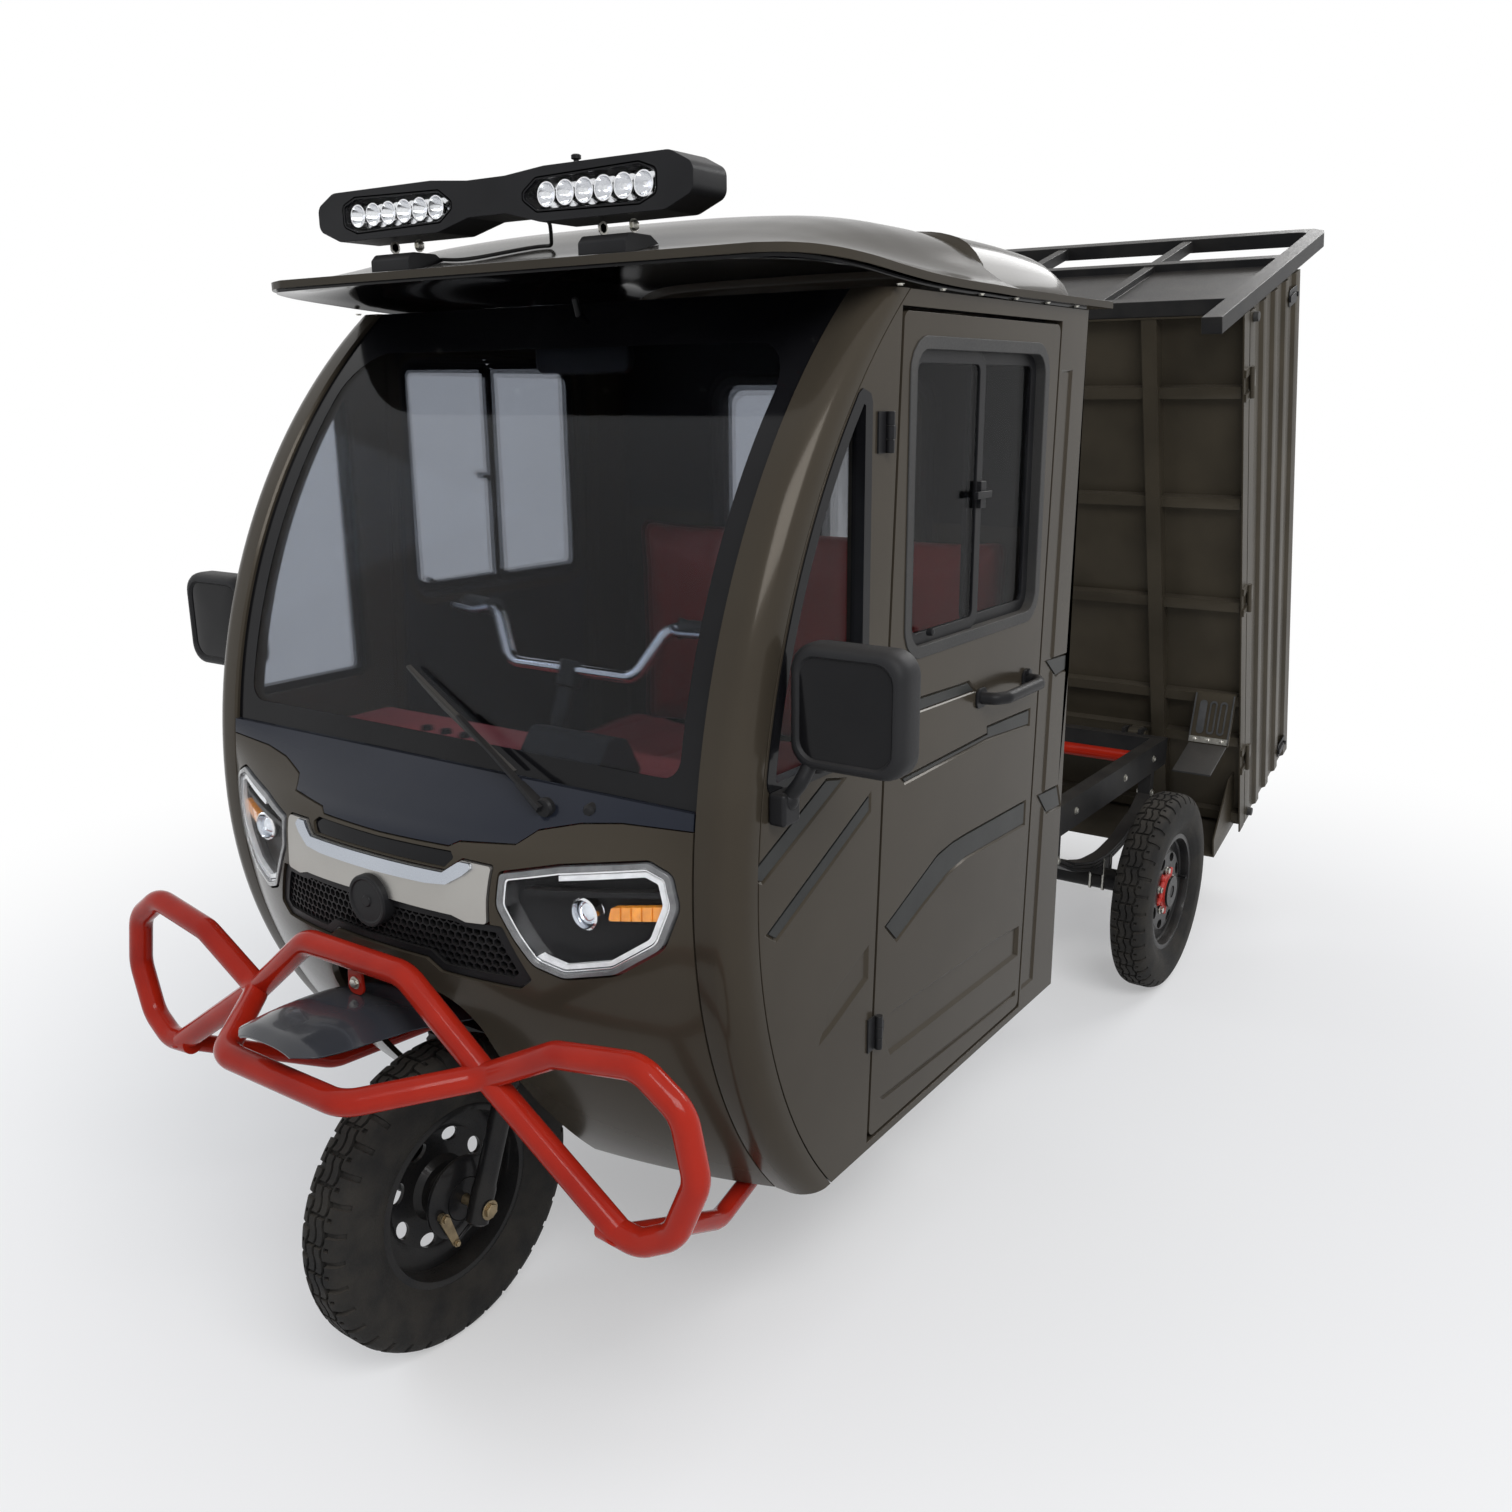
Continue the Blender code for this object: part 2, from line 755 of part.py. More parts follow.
def chassis_frame():
    """Rails stepped down under the cab, cross members, neck, bed lugs and ram bracket."""
    inner = RAIL_OUTER - RAIL_WIDTH
    rail_low = RAIL_TOP - RAIL_DEPTH
    low_low = LOW_RAIL_TOP - LOW_RAIL_DEPTH
    step_rear = RAIL_STEP + RAIL_WIDTH
    xs = (inner, RAIL_OUTER)
    bodies = []
    bodies += mirrored_boxes(xs, (RAIL_STEP, RAIL_REAR), (rail_low, RAIL_TOP))
    bodies += mirrored_boxes(xs, (RAIL_STEP, step_rear), (low_low, rail_low + 0.01))
    bodies += mirrored_boxes(xs, (LOW_RAIL_FRONT, step_rear), (low_low, LOW_RAIL_TOP))
    across = (-RAIL_OUTER, RAIL_OUTER)
    # front, rear, low and high of each cross member
    cross_members = [
        (LOW_RAIL_FRONT, LOW_RAIL_FRONT + 0.040, low_low, LOW_RAIL_TOP),
        (RAIL_STEP, step_rear, low_low, LOW_RAIL_TOP),
        (RAIL_STEP, step_rear, rail_low + 0.02, RAIL_TOP),
        (RAIL_REAR - 0.040, RAIL_REAR, rail_low, RAIL_TOP),
        (RAM_BASE_Y - 0.085, RAM_BASE_Y - 0.045, RAM_BASE_Z - 0.02, RAM_BASE_Z + 0.02),
        (back(0.840), back(0.880), LOW_RAIL_TOP, LOW_RAIL_TOP + 0.030),
        (back(1.090), back(1.130), LOW_RAIL_TOP, LOW_RAIL_TOP + 0.030),
    ]
    for front, rear, low, high in cross_members:
        bodies.append(box(across, (front, rear), (low, high)))
    # front, rear and low of the hangers that carry the members set below the rails
    hangers = [
        (RAM_BASE_Y - 0.085, RAM_BASE_Y - 0.045, RAM_BASE_Z - 0.02),
        (back(0.840), back(0.880), LOW_RAIL_TOP),
        (back(1.090), back(1.130), LOW_RAIL_TOP),
    ]
    for front, rear, low in hangers:
        bodies += mirrored_boxes(xs, (front, rear), (low, rail_low + 0.01))
    ear_low, ear_high = 0.026, 0.036
    bodies += mirrored_boxes((ear_low, ear_high), (RAM_BASE_Y - 0.050, RAM_BASE_Y + 0.022),
                             (RAM_BASE_Z - 0.024, RAM_BASE_Z + 0.022))
    bodies.append(rod((-ear_high, RAM_BASE_Y, RAM_BASE_Z), (ear_high, RAM_BASE_Y, RAM_BASE_Z),
                      RAM_PIN_RADIUS, 12))
    for x in (0.262, 0.312):
        for _, side in SIDES:
            bodies.append(flip_x(prism(lug_outline(), "X", x, x + 0.010), side))
    neck_y = LOW_RAIL_FRONT + 0.002
    neck_top = on_axis(0.5 * (HEAD_LOW + HEAD_HIGH))
    bodies.append(tube([(0.0, neck_y, LOW_RAIL_TOP - 0.020), (0.0, neck_y, 0.640),
                        (0.0, neck_top.y + 0.008, neck_top.z)], 0.020, bend=0.06, sides=10))
    bodies.append(rod(on_axis(HEAD_LOW), on_axis(HEAD_HIGH), HEAD_TUBE_RADIUS, 16))
    cutters = [
        rod(on_axis(HEAD_LOW - 0.05), on_axis(HEAD_HIGH + 0.05), STEM_RADIUS + PIN_GAP, 16),
        rod((-0.34, PIVOT_Y, PIVOT_Z), (0.34, PIVOT_Y, PIVOT_Z), PIVOT_PIN_RADIUS + PIN_GAP, 16),
    ]
    node("chassis_frame", bodies, black_steel(), cutters=cutters)


def lug_outline():
    """A pivot lug in side view, rounded about the pin so that the bed's ribs pass it."""
    points = [(RAIL_REAR - 0.010, PIVOT_Z - LUG_DROP), (PIVOT_Y + 0.010, PIVOT_Z - LUG_DROP)]
    for degrees in (-30.0, 0.0, 30.0, 60.0, 90.0):
        turn = math.radians(degrees)
        points.append((PIVOT_Y + LUG_RADIUS * math.cos(turn), PIVOT_Z + LUG_RADIUS * math.sin(turn)))
    return points + [(RAIL_REAR - 0.010, PIVOT_Z + LUG_RADIUS)]


def cross_tube():
    reach = RAIL_OUTER - RAIL_WIDTH - SEAT_GAP
    node("cross_tube", [rod((-reach, CROSS_TUBE_Y, CROSS_TUBE_Z),
                            (reach, CROSS_TUBE_Y, CROSS_TUBE_Z), CROSS_TUBE_RADIUS, 14)],
         red_paint())


def battery_box():
    floor = LOW_RAIL_TOP + 0.030 + SEAT_GAP
    node("battery_box", [box((-0.330, 0.330), (back(0.790), back(1.165)), (floor, floor + 0.230))],
         black_plastic())


def bumper():
    """Red butterfly bar: an upper and a lower tube cross and form the two wings."""
    top, cross, low = 0.741, 0.618, 0.604
    upper = [(-0.510, 0.0, 0.452), (-0.265, 0.0, cross), (-0.113, -0.006, top),
             (0.113, -0.006, top), (0.265, 0.0, cross), (0.510, 0.0, 0.452)]
    wing = [(0.137, -BUMPER_NOSE, low), (0.265, 0.0, cross), (0.400, 0.004, 0.690),
            (0.545, 0.010, 0.712), (0.615, 0.012, 0.665), (0.636, 0.012, 0.570),
            (0.600, 0.006, 0.480), (0.545, 0.0, 0.450), (0.480, 0.0, 0.456)]
    lower = [(-x, y, z) for x, y, z in reversed(wing)] + wing
    bodies = []
    for points in (upper, lower):
        placed = [(x, BUMPER_Y + y, z) for x, y, z in points]
        bodies.append(tube(placed, BUMPER_RADIUS, bend=0.055, sides=8, steps=2))
    for side in (1, -1):
        beside = (RAIL_OUTER + STAY_RADIUS + SEAT_GAP) * side
        stay = [(0.515 * side, BUMPER_Y, 0.452), (0.470 * side, back(0.150), 0.300),
                (beside, back(0.440), LOW_RAIL_TOP - 0.025),
                (beside, back(0.620), LOW_RAIL_TOP - 0.025)]
        bodies.append(tube(stay, STAY_RADIUS, bend=0.08, sides=8))
    fender_top = 0.680
    bodies.append(box((-0.018, 0.018), (BUMPER_Y - 0.010, BUMPER_Y - 0.003),
                      (fender_top + SEAT_GAP, top)))
    node("bumper", bodies, red_paint())


def front_fender():
    """Pressed fender fixed under the nose: crowned across, with a rounded front lip."""
    # behind the axle, height on the middle line, half width, how far the edge drops
    stations = [
        (-0.309, 0.672, 0.060, 0.008), (-0.285, 0.682, 0.088, 0.020), (-0.215, 0.685, 0.102, 0.030),
        (-0.142, 0.680, 0.106, 0.034), (-0.067, 0.662, 0.106, 0.034), (0.020, 0.640, 0.106, 0.034),
    ]
    across = [-1.0, -0.85, -0.55, 0.0, 0.55, 0.85, 1.0]
    sheet = 0.004
    outer, inner = [], []
    for distance, height, half, drop in stations:
        outer_row, inner_row = [], []
        for share in across:
            z = height - drop * abs(share) ** 3
            outer_row.append((half * share, back(distance), z))
            inner_row.append(((half - sheet) * share, back(distance) + sheet * 0.5, z - sheet))
        outer.append(outer_row)
        inner.append(inner_row)
    node("front_fender", [shell(outer, inner)], material("fender_gloss", (0.02, 0.024, 0.03), 0.15))


# Steering

def fork():
    """Telescopic legs, crown, stem and the wheel's axle."""
    crown = on_axis(CROWN_HEIGHT)
    reach = (TYRE_RADIUS + 0.355 - TYRE_RADIUS) / AXIS_WAY.z
    bodies = []
    for side in (1, -1):
        foot = Vector((FORK_HALF_SPAN * side, FRONT_AXLE_Y, TYRE_RADIUS))
        bodies.append(rod(foot - AXIS_WAY * 0.030, foot + AXIS_WAY * 0.200, FORK_LEG_RADIUS, 12))
        bodies.append(rod(foot + AXIS_WAY * 0.190, foot + AXIS_WAY * (reach + 0.02),
                          FORK_LEG_RADIUS * 0.72, 12))
    lead = on_axis(CROWN_HEIGHT).y - (FRONT_AXLE_Y + reach * AXIS_WAY.y)
    half = FORK_HALF_SPAN + FORK_LEG_RADIUS
    bodies.append(prism(rounded([(crown.y - lead - 0.024, CROWN_HEIGHT - 0.016),
                                 (crown.y + 0.024, CROWN_HEIGHT - 0.016),
                                 (crown.y + 0.034, CROWN_HEIGHT + 0.016),
                                 (crown.y - lead - 0.014, CROWN_HEIGHT + 0.016)], 0.006, 2),
                        "X", -half, half))
    bodies.append(rod(crown, on_axis(BAR_HEIGHT - 0.030), STEM_RADIUS, 16))
    bodies.append(rod((-0.118, FRONT_AXLE_Y, TYRE_RADIUS), (0.118, FRONT_AXLE_Y, TYRE_RADIUS),
                      FRONT_AXLE_RADIUS, 14))
    node("fork", bodies, black_steel(), home=None)


def handlebar():
    """Chrome bar raised at both ends, with black grips left to its own finish."""
    clamp = on_axis(BAR_HEIGHT)
    # across, behind the clamp, above it
    arm = [(0.145, 0.0, 0.0), (0.200, 0.030, 0.088), (0.345, 0.090, 0.080)]
    points = [(-x, clamp.y + y, clamp.z + z) for x, y, z in reversed(arm)]
    points += [(x, clamp.y + y, clamp.z + z) for x, y, z in arm]
    bodies = [tube(points, BAR_RADIUS, bend=0.04, sides=10)]
    bodies.append(rod(on_axis(BAR_HEIGHT - 0.030 + SEAT_GAP), on_axis(BAR_HEIGHT + 0.016), 0.022, 14))
    node("handlebar", bodies, chrome())


# Cab

def pillar_section(z):
    """The front pillar cut level at a height: flat in front, rounded to the cab's side."""
    low = CAB_HALF - PILLAR_WIDTH
    # across from the pillar's inner face as a share, behind the front line
    corners = [(0.0, 0.0), (0.42, 0.0), (0.68, 0.005), (0.88, 0.018), (1.0, 0.040),
               (1.0, PILLAR_DEPTH), (0.0, PILLAR_DEPTH)]
    return [(low + PILLAR_WIDTH * a, front_y(z) + d, z) for a, d in corners]


def side_panels():
    """Each side: front pillar, quarter window, door opening and rear pillar in one panel."""
    inner = CAB_HALF - CAB_WALL
    for label, side in SIDES:
        line = front_line(CAB_BOTTOM, CAB_TOP, PILLAR_DEPTH / 2, 14)
        outline = [(CAB_REAR, CAB_BOTTOM)] + line + [(CAB_REAR, CAB_TOP)]
        plate = flip_x(prism(outline, "X", inner, CAB_HALF), side)
        levels = [CAB_BOTTOM + (CAB_TOP - CAB_BOTTOM) * i / 14 for i in range(15)]
        pillar = flip_x(loft([pillar_section(z) for z in levels]), side)
        doorway = flip_x(prism(door_outline(0.0), "X", inner - 0.02, CAB_HALF + 0.02), side)
        window = flip_x(prism(quarter_outline(), "X", inner - 0.02, CAB_HALF + 0.02), side)
        piece = node(f"side_panel_{label}", [plate, pillar], paint(), cutters=[doorway, window])
        for half in hinge_halves(side):
            combine(piece, to_object("hinge", half), "UNION")


def quarter_outline():
    """The quarter window: a tall triangle whose front edge follows the pillar."""
    points = front_line(QUARTER_LOW, QUARTER_HIGH, PILLAR_DEPTH + 0.014, 6)
    return points + [(QUARTER_REAR, QUARTER_HIGH + 0.040), (QUARTER_REAR, QUARTER_LOW)]


def quarter_glass():
    for label, side in SIDES:
        middle = CAB_HALF - CAB_WALL / 2
        pane = prism(grown(quarter_outline(), -SEAT_GAP), "X", middle, middle + GLASS_THICK)
        node(f"quarter_glass_{label}", [flip_x(pane, side)], glass())


def rear_wall():
    half = CAB_HALF - CAB_WALL - SEAT_GAP
    wall = box((-half, half), (CAB_REAR - REAR_WALL_THICK, CAB_REAR), (CAB_BOTTOM, CAB_TOP))
    window = rounded_box_outline(REAR_WINDOW_LOW, REAR_WINDOW_HIGH,
                                 -REAR_WINDOW_HALF, REAR_WINDOW_HALF, 0.05)
    cutters = [prism(window, "Y", CAB_REAR - 0.06, CAB_REAR + 0.03)]
    gap = SEAT_GAP
    inner = RAIL_OUTER - RAIL_WIDTH
    for span in ((inner - gap, RAIL_OUTER + gap), (-RAIL_OUTER - gap, -inner + gap)):
        cutters.append(box(span, (CAB_REAR - 0.06, CAB_REAR + 0.03),
                           (RAIL_TOP - RAIL_DEPTH - gap, RAIL_TOP + gap)))
    node("rear_wall", [wall], paint(), cutters=cutters)
    pane = rounded_box_outline(REAR_WINDOW_LOW + gap, REAR_WINDOW_HIGH - gap,
                               -REAR_WINDOW_HALF + gap, REAR_WINDOW_HALF - gap, 0.05 - gap)
    middle = CAB_REAR - REAR_WALL_THICK / 2
    node("rear_glass", [prism(pane, "Y", middle, middle + GLASS_THICK)], glass())


# height, how far the nose stands ahead of the front line on its middle
NOSE_BULGE = [
    (0.325, 0.088), (0.420, 0.100), (0.500, 0.112), (0.600, 0.130), (0.700, 0.140),
    (0.780, 0.138), (0.850, 0.132), (0.900, 0.124), (0.928, 0.106), (0.948, 0.078),
    (0.978, 0.038), (1.010, 0.000),
]


def nose_y(x, z, proud=0.0):
    """The nose's surface; the bulge fades out towards the pillars."""
    half = CAB_HALF - PILLAR_WIDTH
    share = min(1.0, abs(x) / half)
    return front_y(z) - table_value(NOSE_BULGE, z) * (1.0 - share ** 2.2) - proud


def nose_point(x, z, proud):
    """A point off the nose's surface along its own normal."""
    step = 0.004
    slope_x = (nose_y(x + step, z) - nose_y(x - step, z)) / (2 * step)
    slope_z = (nose_y(x, min(z + step, NOSE_TOP)) - nose_y(x, z - step)) / (2 * step)
    if abs(x) > CAB_HALF - PILLAR_WIDTH - 2 * step:
        slope_x = 0.0
    normal = Vector((slope_x, -1.0, slope_z)).normalized()
    place = Vector((x, nose_y(x, z), z)) + normal * proud
    return (x, place.y, max(place.z, CAB_BOTTOM) if proud < 0 else place.z)


def nose_slab(outside, inside, half):
    levels = [z for z, _ in NOSE_BULGE]
    columns = [half * (i / 7 - 1.0) for i in range(15)]
    outer = [[nose_point(x, z, outside) for x in columns] for z in levels]
    inner = [[nose_point(x, z, -inside) for x in columns] for z in levels]
    return shell(outer, inner)


HEADLAMP = [
    (0.243, 0.903), (0.331, 0.922), (0.456, 0.938), (0.489, 0.922), (0.499, 0.875),
    (0.477, 0.811), (0.412, 0.766), (0.338, 0.752), (0.294, 0.768), (0.268, 0.806),
    (0.240, 0.854),
]
TRIM_HALF = [(0.000, 0.893), (0.150, 0.893), (0.176, 0.912), (0.230, 0.910),
             (0.226, 0.860), (0.226, 0.824), (0.190, 0.822), (0.165, 0.829), (0.000, 0.832)]
GRILLE_HALF = [(0.000, 0.8295), (0.164, 0.8265), (0.190, 0.8195), (0.227, 0.8215),
               (0.248, 0.8215), (0.286, 0.744), (0.265, 0.726), (0.130, 0.730),
               (0.104, 0.748), (0.000, 0.748)]
HORN_RADIUS = 0.042
HORN_HEIGHT = 0.822


def on_face(outline):
    """An outline drawn on a nose of FACE_HALF, fitted across to this cab's width."""
    scale = (CAB_HALF - PILLAR_WIDTH) / FACE_HALF
    return [(x * scale, z) for x, z in outline]


def mirrored_outline(half):
    """A closed outline as (z, x) from its right-hand half, which runs from the middle round."""
    left = [(z, -x) for x, z in reversed(half) if x > 0.0]
    return [(z, x) for x, z in half] + left


def face_outlines():
    lamp = [(z, x) for x, z in on_face(HEADLAMP)]
    other = [(z, -x) for z, x in reversed(lamp)]
    return [lamp, other], mirrored_outline(on_face(TRIM_HALF)), mirrored_outline(on_face(GRILLE_HALF))


def nose_panel():
    """The cab's nose and hood: crowned, with openings for lamps, grille and front wheel."""
    half = CAB_HALF - PILLAR_WIDTH - SEAT_GAP
    lamps, trim, grille = face_outlines()
    front, rear = back(-0.25), back(0.10)
    cutters = [prism(grown(lamp, SEAT_GAP), "Y", front, rear) for lamp in lamps]
    cutters.append(prism(grown(trim, SEAT_GAP), "Y", front, rear))
    cutters.append(prism(grown(grille, SEAT_GAP), "Y", front, rear))
    cutters.append(prism(circle(HORN_HEIGHT, 0.0, HORN_RADIUS + SEAT_GAP, 20), "Y", front, rear))
    arch = rounded([(CAB_BOTTOM - 0.05, -ARCH_HALF), (CAB_BOTTOM - 0.05, ARCH_HALF),
                    (ARCH_TOP, ARCH_HALF - 0.030), (ARCH_TOP, -ARCH_HALF + 0.030)],
                   [0.0, 0.0, 0.08, 0.08], 5)
    cutters.append(prism(arch, "Y", back(-0.35), back(0.30)))
    node("nose_panel", [nose_slab(0.0, NOSE_THICK, half)], paint(), cutters=cutters)


def from_slab(outline, outside, inside):
    """A piece cut from the nose's own curve, standing proud of it and reaching inside."""
    half = CAB_HALF - PILLAR_WIDTH - SEAT_GAP
    piece = to_object("slab", nose_slab(outside, inside, half))
    combine(piece, to_object("outline", prism(outline, "Y", back(-0.30), back(0.20))), "INTERSECT")
    bm = bmesh.new()
    bm.from_mesh(piece.data)
    bpy.data.objects.remove(piece, do_unlink=True)
    return bm


def face():
    """Headlamps, silver trim, and the grille with its round disc."""
    lamps, trim, grille = face_outlines()
    for (label, _), lamp in zip(SIDES, lamps):
        node(f"headlamp_{label}", [from_slab(lamp, 0.006, 0.045)],
             material("lamp_glass", (0.45, 0.46, 0.47), 0.08))
    horn_gap = prism(circle(HORN_HEIGHT, 0.0, HORN_RADIUS + SEAT_GAP, 20), "Y", back(-0.30), back(0.10))
    node("grille_trim", [from_slab(trim, 0.008, 0.010)], silver(), cutters=[horn_gap])
    disc = from_slab(circle(HORN_HEIGHT, 0.0, HORN_RADIUS, 20), 0.013, 0.018)
    node("grille", [from_slab(grille, -0.004, 0.020), disc], black_plastic())


def windshield():
    half = CAB_HALF - PILLAR_WIDTH - SEAT_GAP
    low, high = NOSE_TOP + SEAT_GAP, CAB_TOP
    steps = 12
    outline = front_line(low, high, GLASS_INSET, steps)
    outline += [(y + GLASS_THICK, z) for y, z in reversed(outline)]
    node("windshield", [prism(outline, "X", -half, half)], glass())


# behind the front edge, edge height over the cab's top, half width, dome's share
ROOF_STATIONS = [
    (0.000, 0.046, 0.500, 0.00), (0.015, 0.045, 0.545, 0.02), (0.045, 0.043, 0.575, 0.08),
    (0.100, 0.039, 0.594, 0.25), (0.170, 0.034, 0.600, 0.48), (0.250, 0.028, 0.600, 0.72),
    (0.340, 0.023, 0.600, 0.90), (0.450, 0.020, 0.600, 0.99), (0.570, 0.019, 0.600, 1.00),
    (0.640, 0.018, 0.600, 0.97), (0.655, 0.018, 0.600, 0.92), (0.820, 0.018, 0.600, 0.88),
    (0.960, 0.018, 0.600, 0.80), (1.020, 0.018, 0.600, 0.62), (1.045, 0.018, 0.600, 0.02),
    (1.087, 0.018, 0.600, 0.00),
]
# across as a share of the half width, dome's share ahead of the step and behind it
ROOF_ACROSS = [
    (0.00, 1.000, 1.00), (0.30, 0.985, 0.99), (0.55, 0.930, 0.97), (0.70, 0.820, 0.93),
    (0.80, 0.640, 0.80), (0.87, 0.400, 0.45), (0.90, 0.280, 0.02), (0.95, 0.110, 0.00),
    (1.00, 0.000, 0.00),
]


def roof_grid(lift):
    """The roof's outer surface, raised by lift, one row of points for each station."""
    rows = []
    shares = [-a for a, _, _ in reversed(ROOF_ACROSS[1:])] + [a for a, _, _ in ROOF_ACROSS]
    for behind, edge, half, dome in ROOF_STATIONS:
        column = 1 if ROOF_FRONT + behind < DOME_STEP else 2
        table = [(a[0], a[column]) for a in ROOF_ACROSS]
        row = []
        for share in shares:
            rise = DOME_HEIGHT * dome * table_value(table, abs(share))
            scale = ROOF_HALF / 0.600
            row.append((half * scale * share, ROOF_FRONT + behind, CAB_TOP + edge + rise + lift))
        rows.append(row)
    return rows


def roof():
    """Domed roof with a visor: flat where it rests on the cab, hollow under the dome."""
    outer = roof_grid(0.0)
    seat = CAB_TOP + SEAT_GAP
    inner = [[(x, y, max(seat, z - ROOF_SKIN)) for x, y, z in row] for row in outer]
    node("roof", [shell(outer, inner)], paint(), smooth=40.0)


def roof_block():
    """The space under the roof's outer surface, grown by the seat gap, to cut what stands on it."""
    outer = roof_grid(SEAT_GAP)
    inner = [[(x, y, CAB_TOP - 0.05) for x, y, z in row] for row in outer]
    return shell(outer, inner)


def light_bar():
    """A bow-tie lamp bar on two feet that follow the roof."""
    low, high = LAMP_BAR_LOW, LAMP_BAR_HIGH
    waist = (high - low) * 0.22
    deep = LAMP_BAR_DEPTH / 2
    end = LAMP_BAR_HALF
    # z, x
    outline = [(low + 0.020, -end), (low, -end + 0.050), (low, -0.110), (low + waist, -0.040),
               (low + waist, 0.040), (low, 0.110), (low, end - 0.050), (low + 0.020, end),
               (high - 0.020, end), (high, end - 0.040), (high, 0.120), (high - waist * 0.4, 0.040),
               (high - waist * 0.4, -0.040), (high, -0.120), (high, -end + 0.040),
               (high - 0.020, -end)]
    bodies = [prism(outline, "Y", LAMP_BAR_Y - deep, LAMP_BAR_Y + deep)]
    for side in (1, -1):
        x = LAMP_FOOT_X * side
        bodies.append(box((x - 0.028, x + 0.028), (LAMP_BAR_Y - 0.022, LAMP_BAR_Y + 0.022),
                          (CAB_TOP, low + 0.004)))
        bodies.append(box((x - 0.045, x + 0.045), (LAMP_BAR_Y - 0.040, LAMP_BAR_Y + 0.045),
                          (CAB_TOP, low - 0.022)))
    node("light_bar", bodies, black_plastic(), cutters=[roof_block()])


def floor_pan():
    half = CAB_HALF - CAB_WALL - FLOOR_EDGE_GAP
    low = LOW_RAIL_TOP + SEAT_GAP
    front = DASH_REAR - 0.015
    pan = box((-half, half), (front, RAIL_STEP - SEAT_GAP), (low, low + FLOOR_THICK))
    node("floor_pan", [pan], black_steel())


def floor_top():
    return LOW_RAIL_TOP + SEAT_GAP + FLOOR_THICK


def seat():
    """Sheet-metal seat box open below and behind, with a cushion and a backrest."""
    wall = 0.012
    rear = CAB_REAR - REAR_WALL_THICK - SEAT_GAP
    low = floor_top() + SEAT_GAP
    shell_box = box((-SEAT_HALF, SEAT_HALF), (SEAT_FRONT, rear), (low, SEAT_TOP))
    hollow = box((-SEAT_HALF + wall, SEAT_HALF - wall), (SEAT_FRONT + wall, rear + 0.05),
                 (low - 0.05, SEAT_TOP - wall))
    node("seat_base", [shell_box], black_steel(), cutters=[hollow])
    side = SEAT_HALF - 0.015
    cushion_low = SEAT_TOP + SEAT_GAP
    cushion = rounded_box_outline(SEAT_FRONT - 0.010, rear - BACKREST_THICK, cushion_low,
                                  cushion_low + CUSHION_THICK, 0.022, 3)
    node("seat_cushion", [prism(cushion, "X", -side, side)], red_cover())
    backrest_low = cushion_low + 0.030
    backrest = rounded_box_outline(rear - BACKREST_THICK + SEAT_GAP, rear, backrest_low,
                                   BACKREST_HIGH, 0.024, 3)
    node("seat_back", [prism(backrest, "X", -side, side)], red_cover())


def dashboard():
    """Dash shelf under the windshield with the leg shield that hangs from it."""
    half = CAB_HALF - PILLAR_WIDTH - SEAT_GAP - 0.004
    column = on_axis(DASH_TOP - DASH_THICK / 2)
    front = FRONT_Y + 0.030
    # y, z
    outline = [(front, DASH_TOP - DASH_THICK), (DASH_REAR - 0.012, DASH_TOP - DASH_THICK),
               (DASH_REAR - 0.012, floor_top() + SEAT_GAP), (DASH_REAR, floor_top() + SEAT_GAP),
               (DASH_REAR, DASH_TOP - 0.010), (DASH_REAR - 0.010, DASH_TOP), (front, DASH_TOP)]
    hole = rod((0.0, column.y - 0.04, DASH_TOP - 0.10), (0.0, column.y + 0.04, DASH_TOP + 0.10),
               0.050, 18)
    node("dashboard", [prism(outline, "X", -half, half)], red_cover(), cutters=[hole])


# Doors

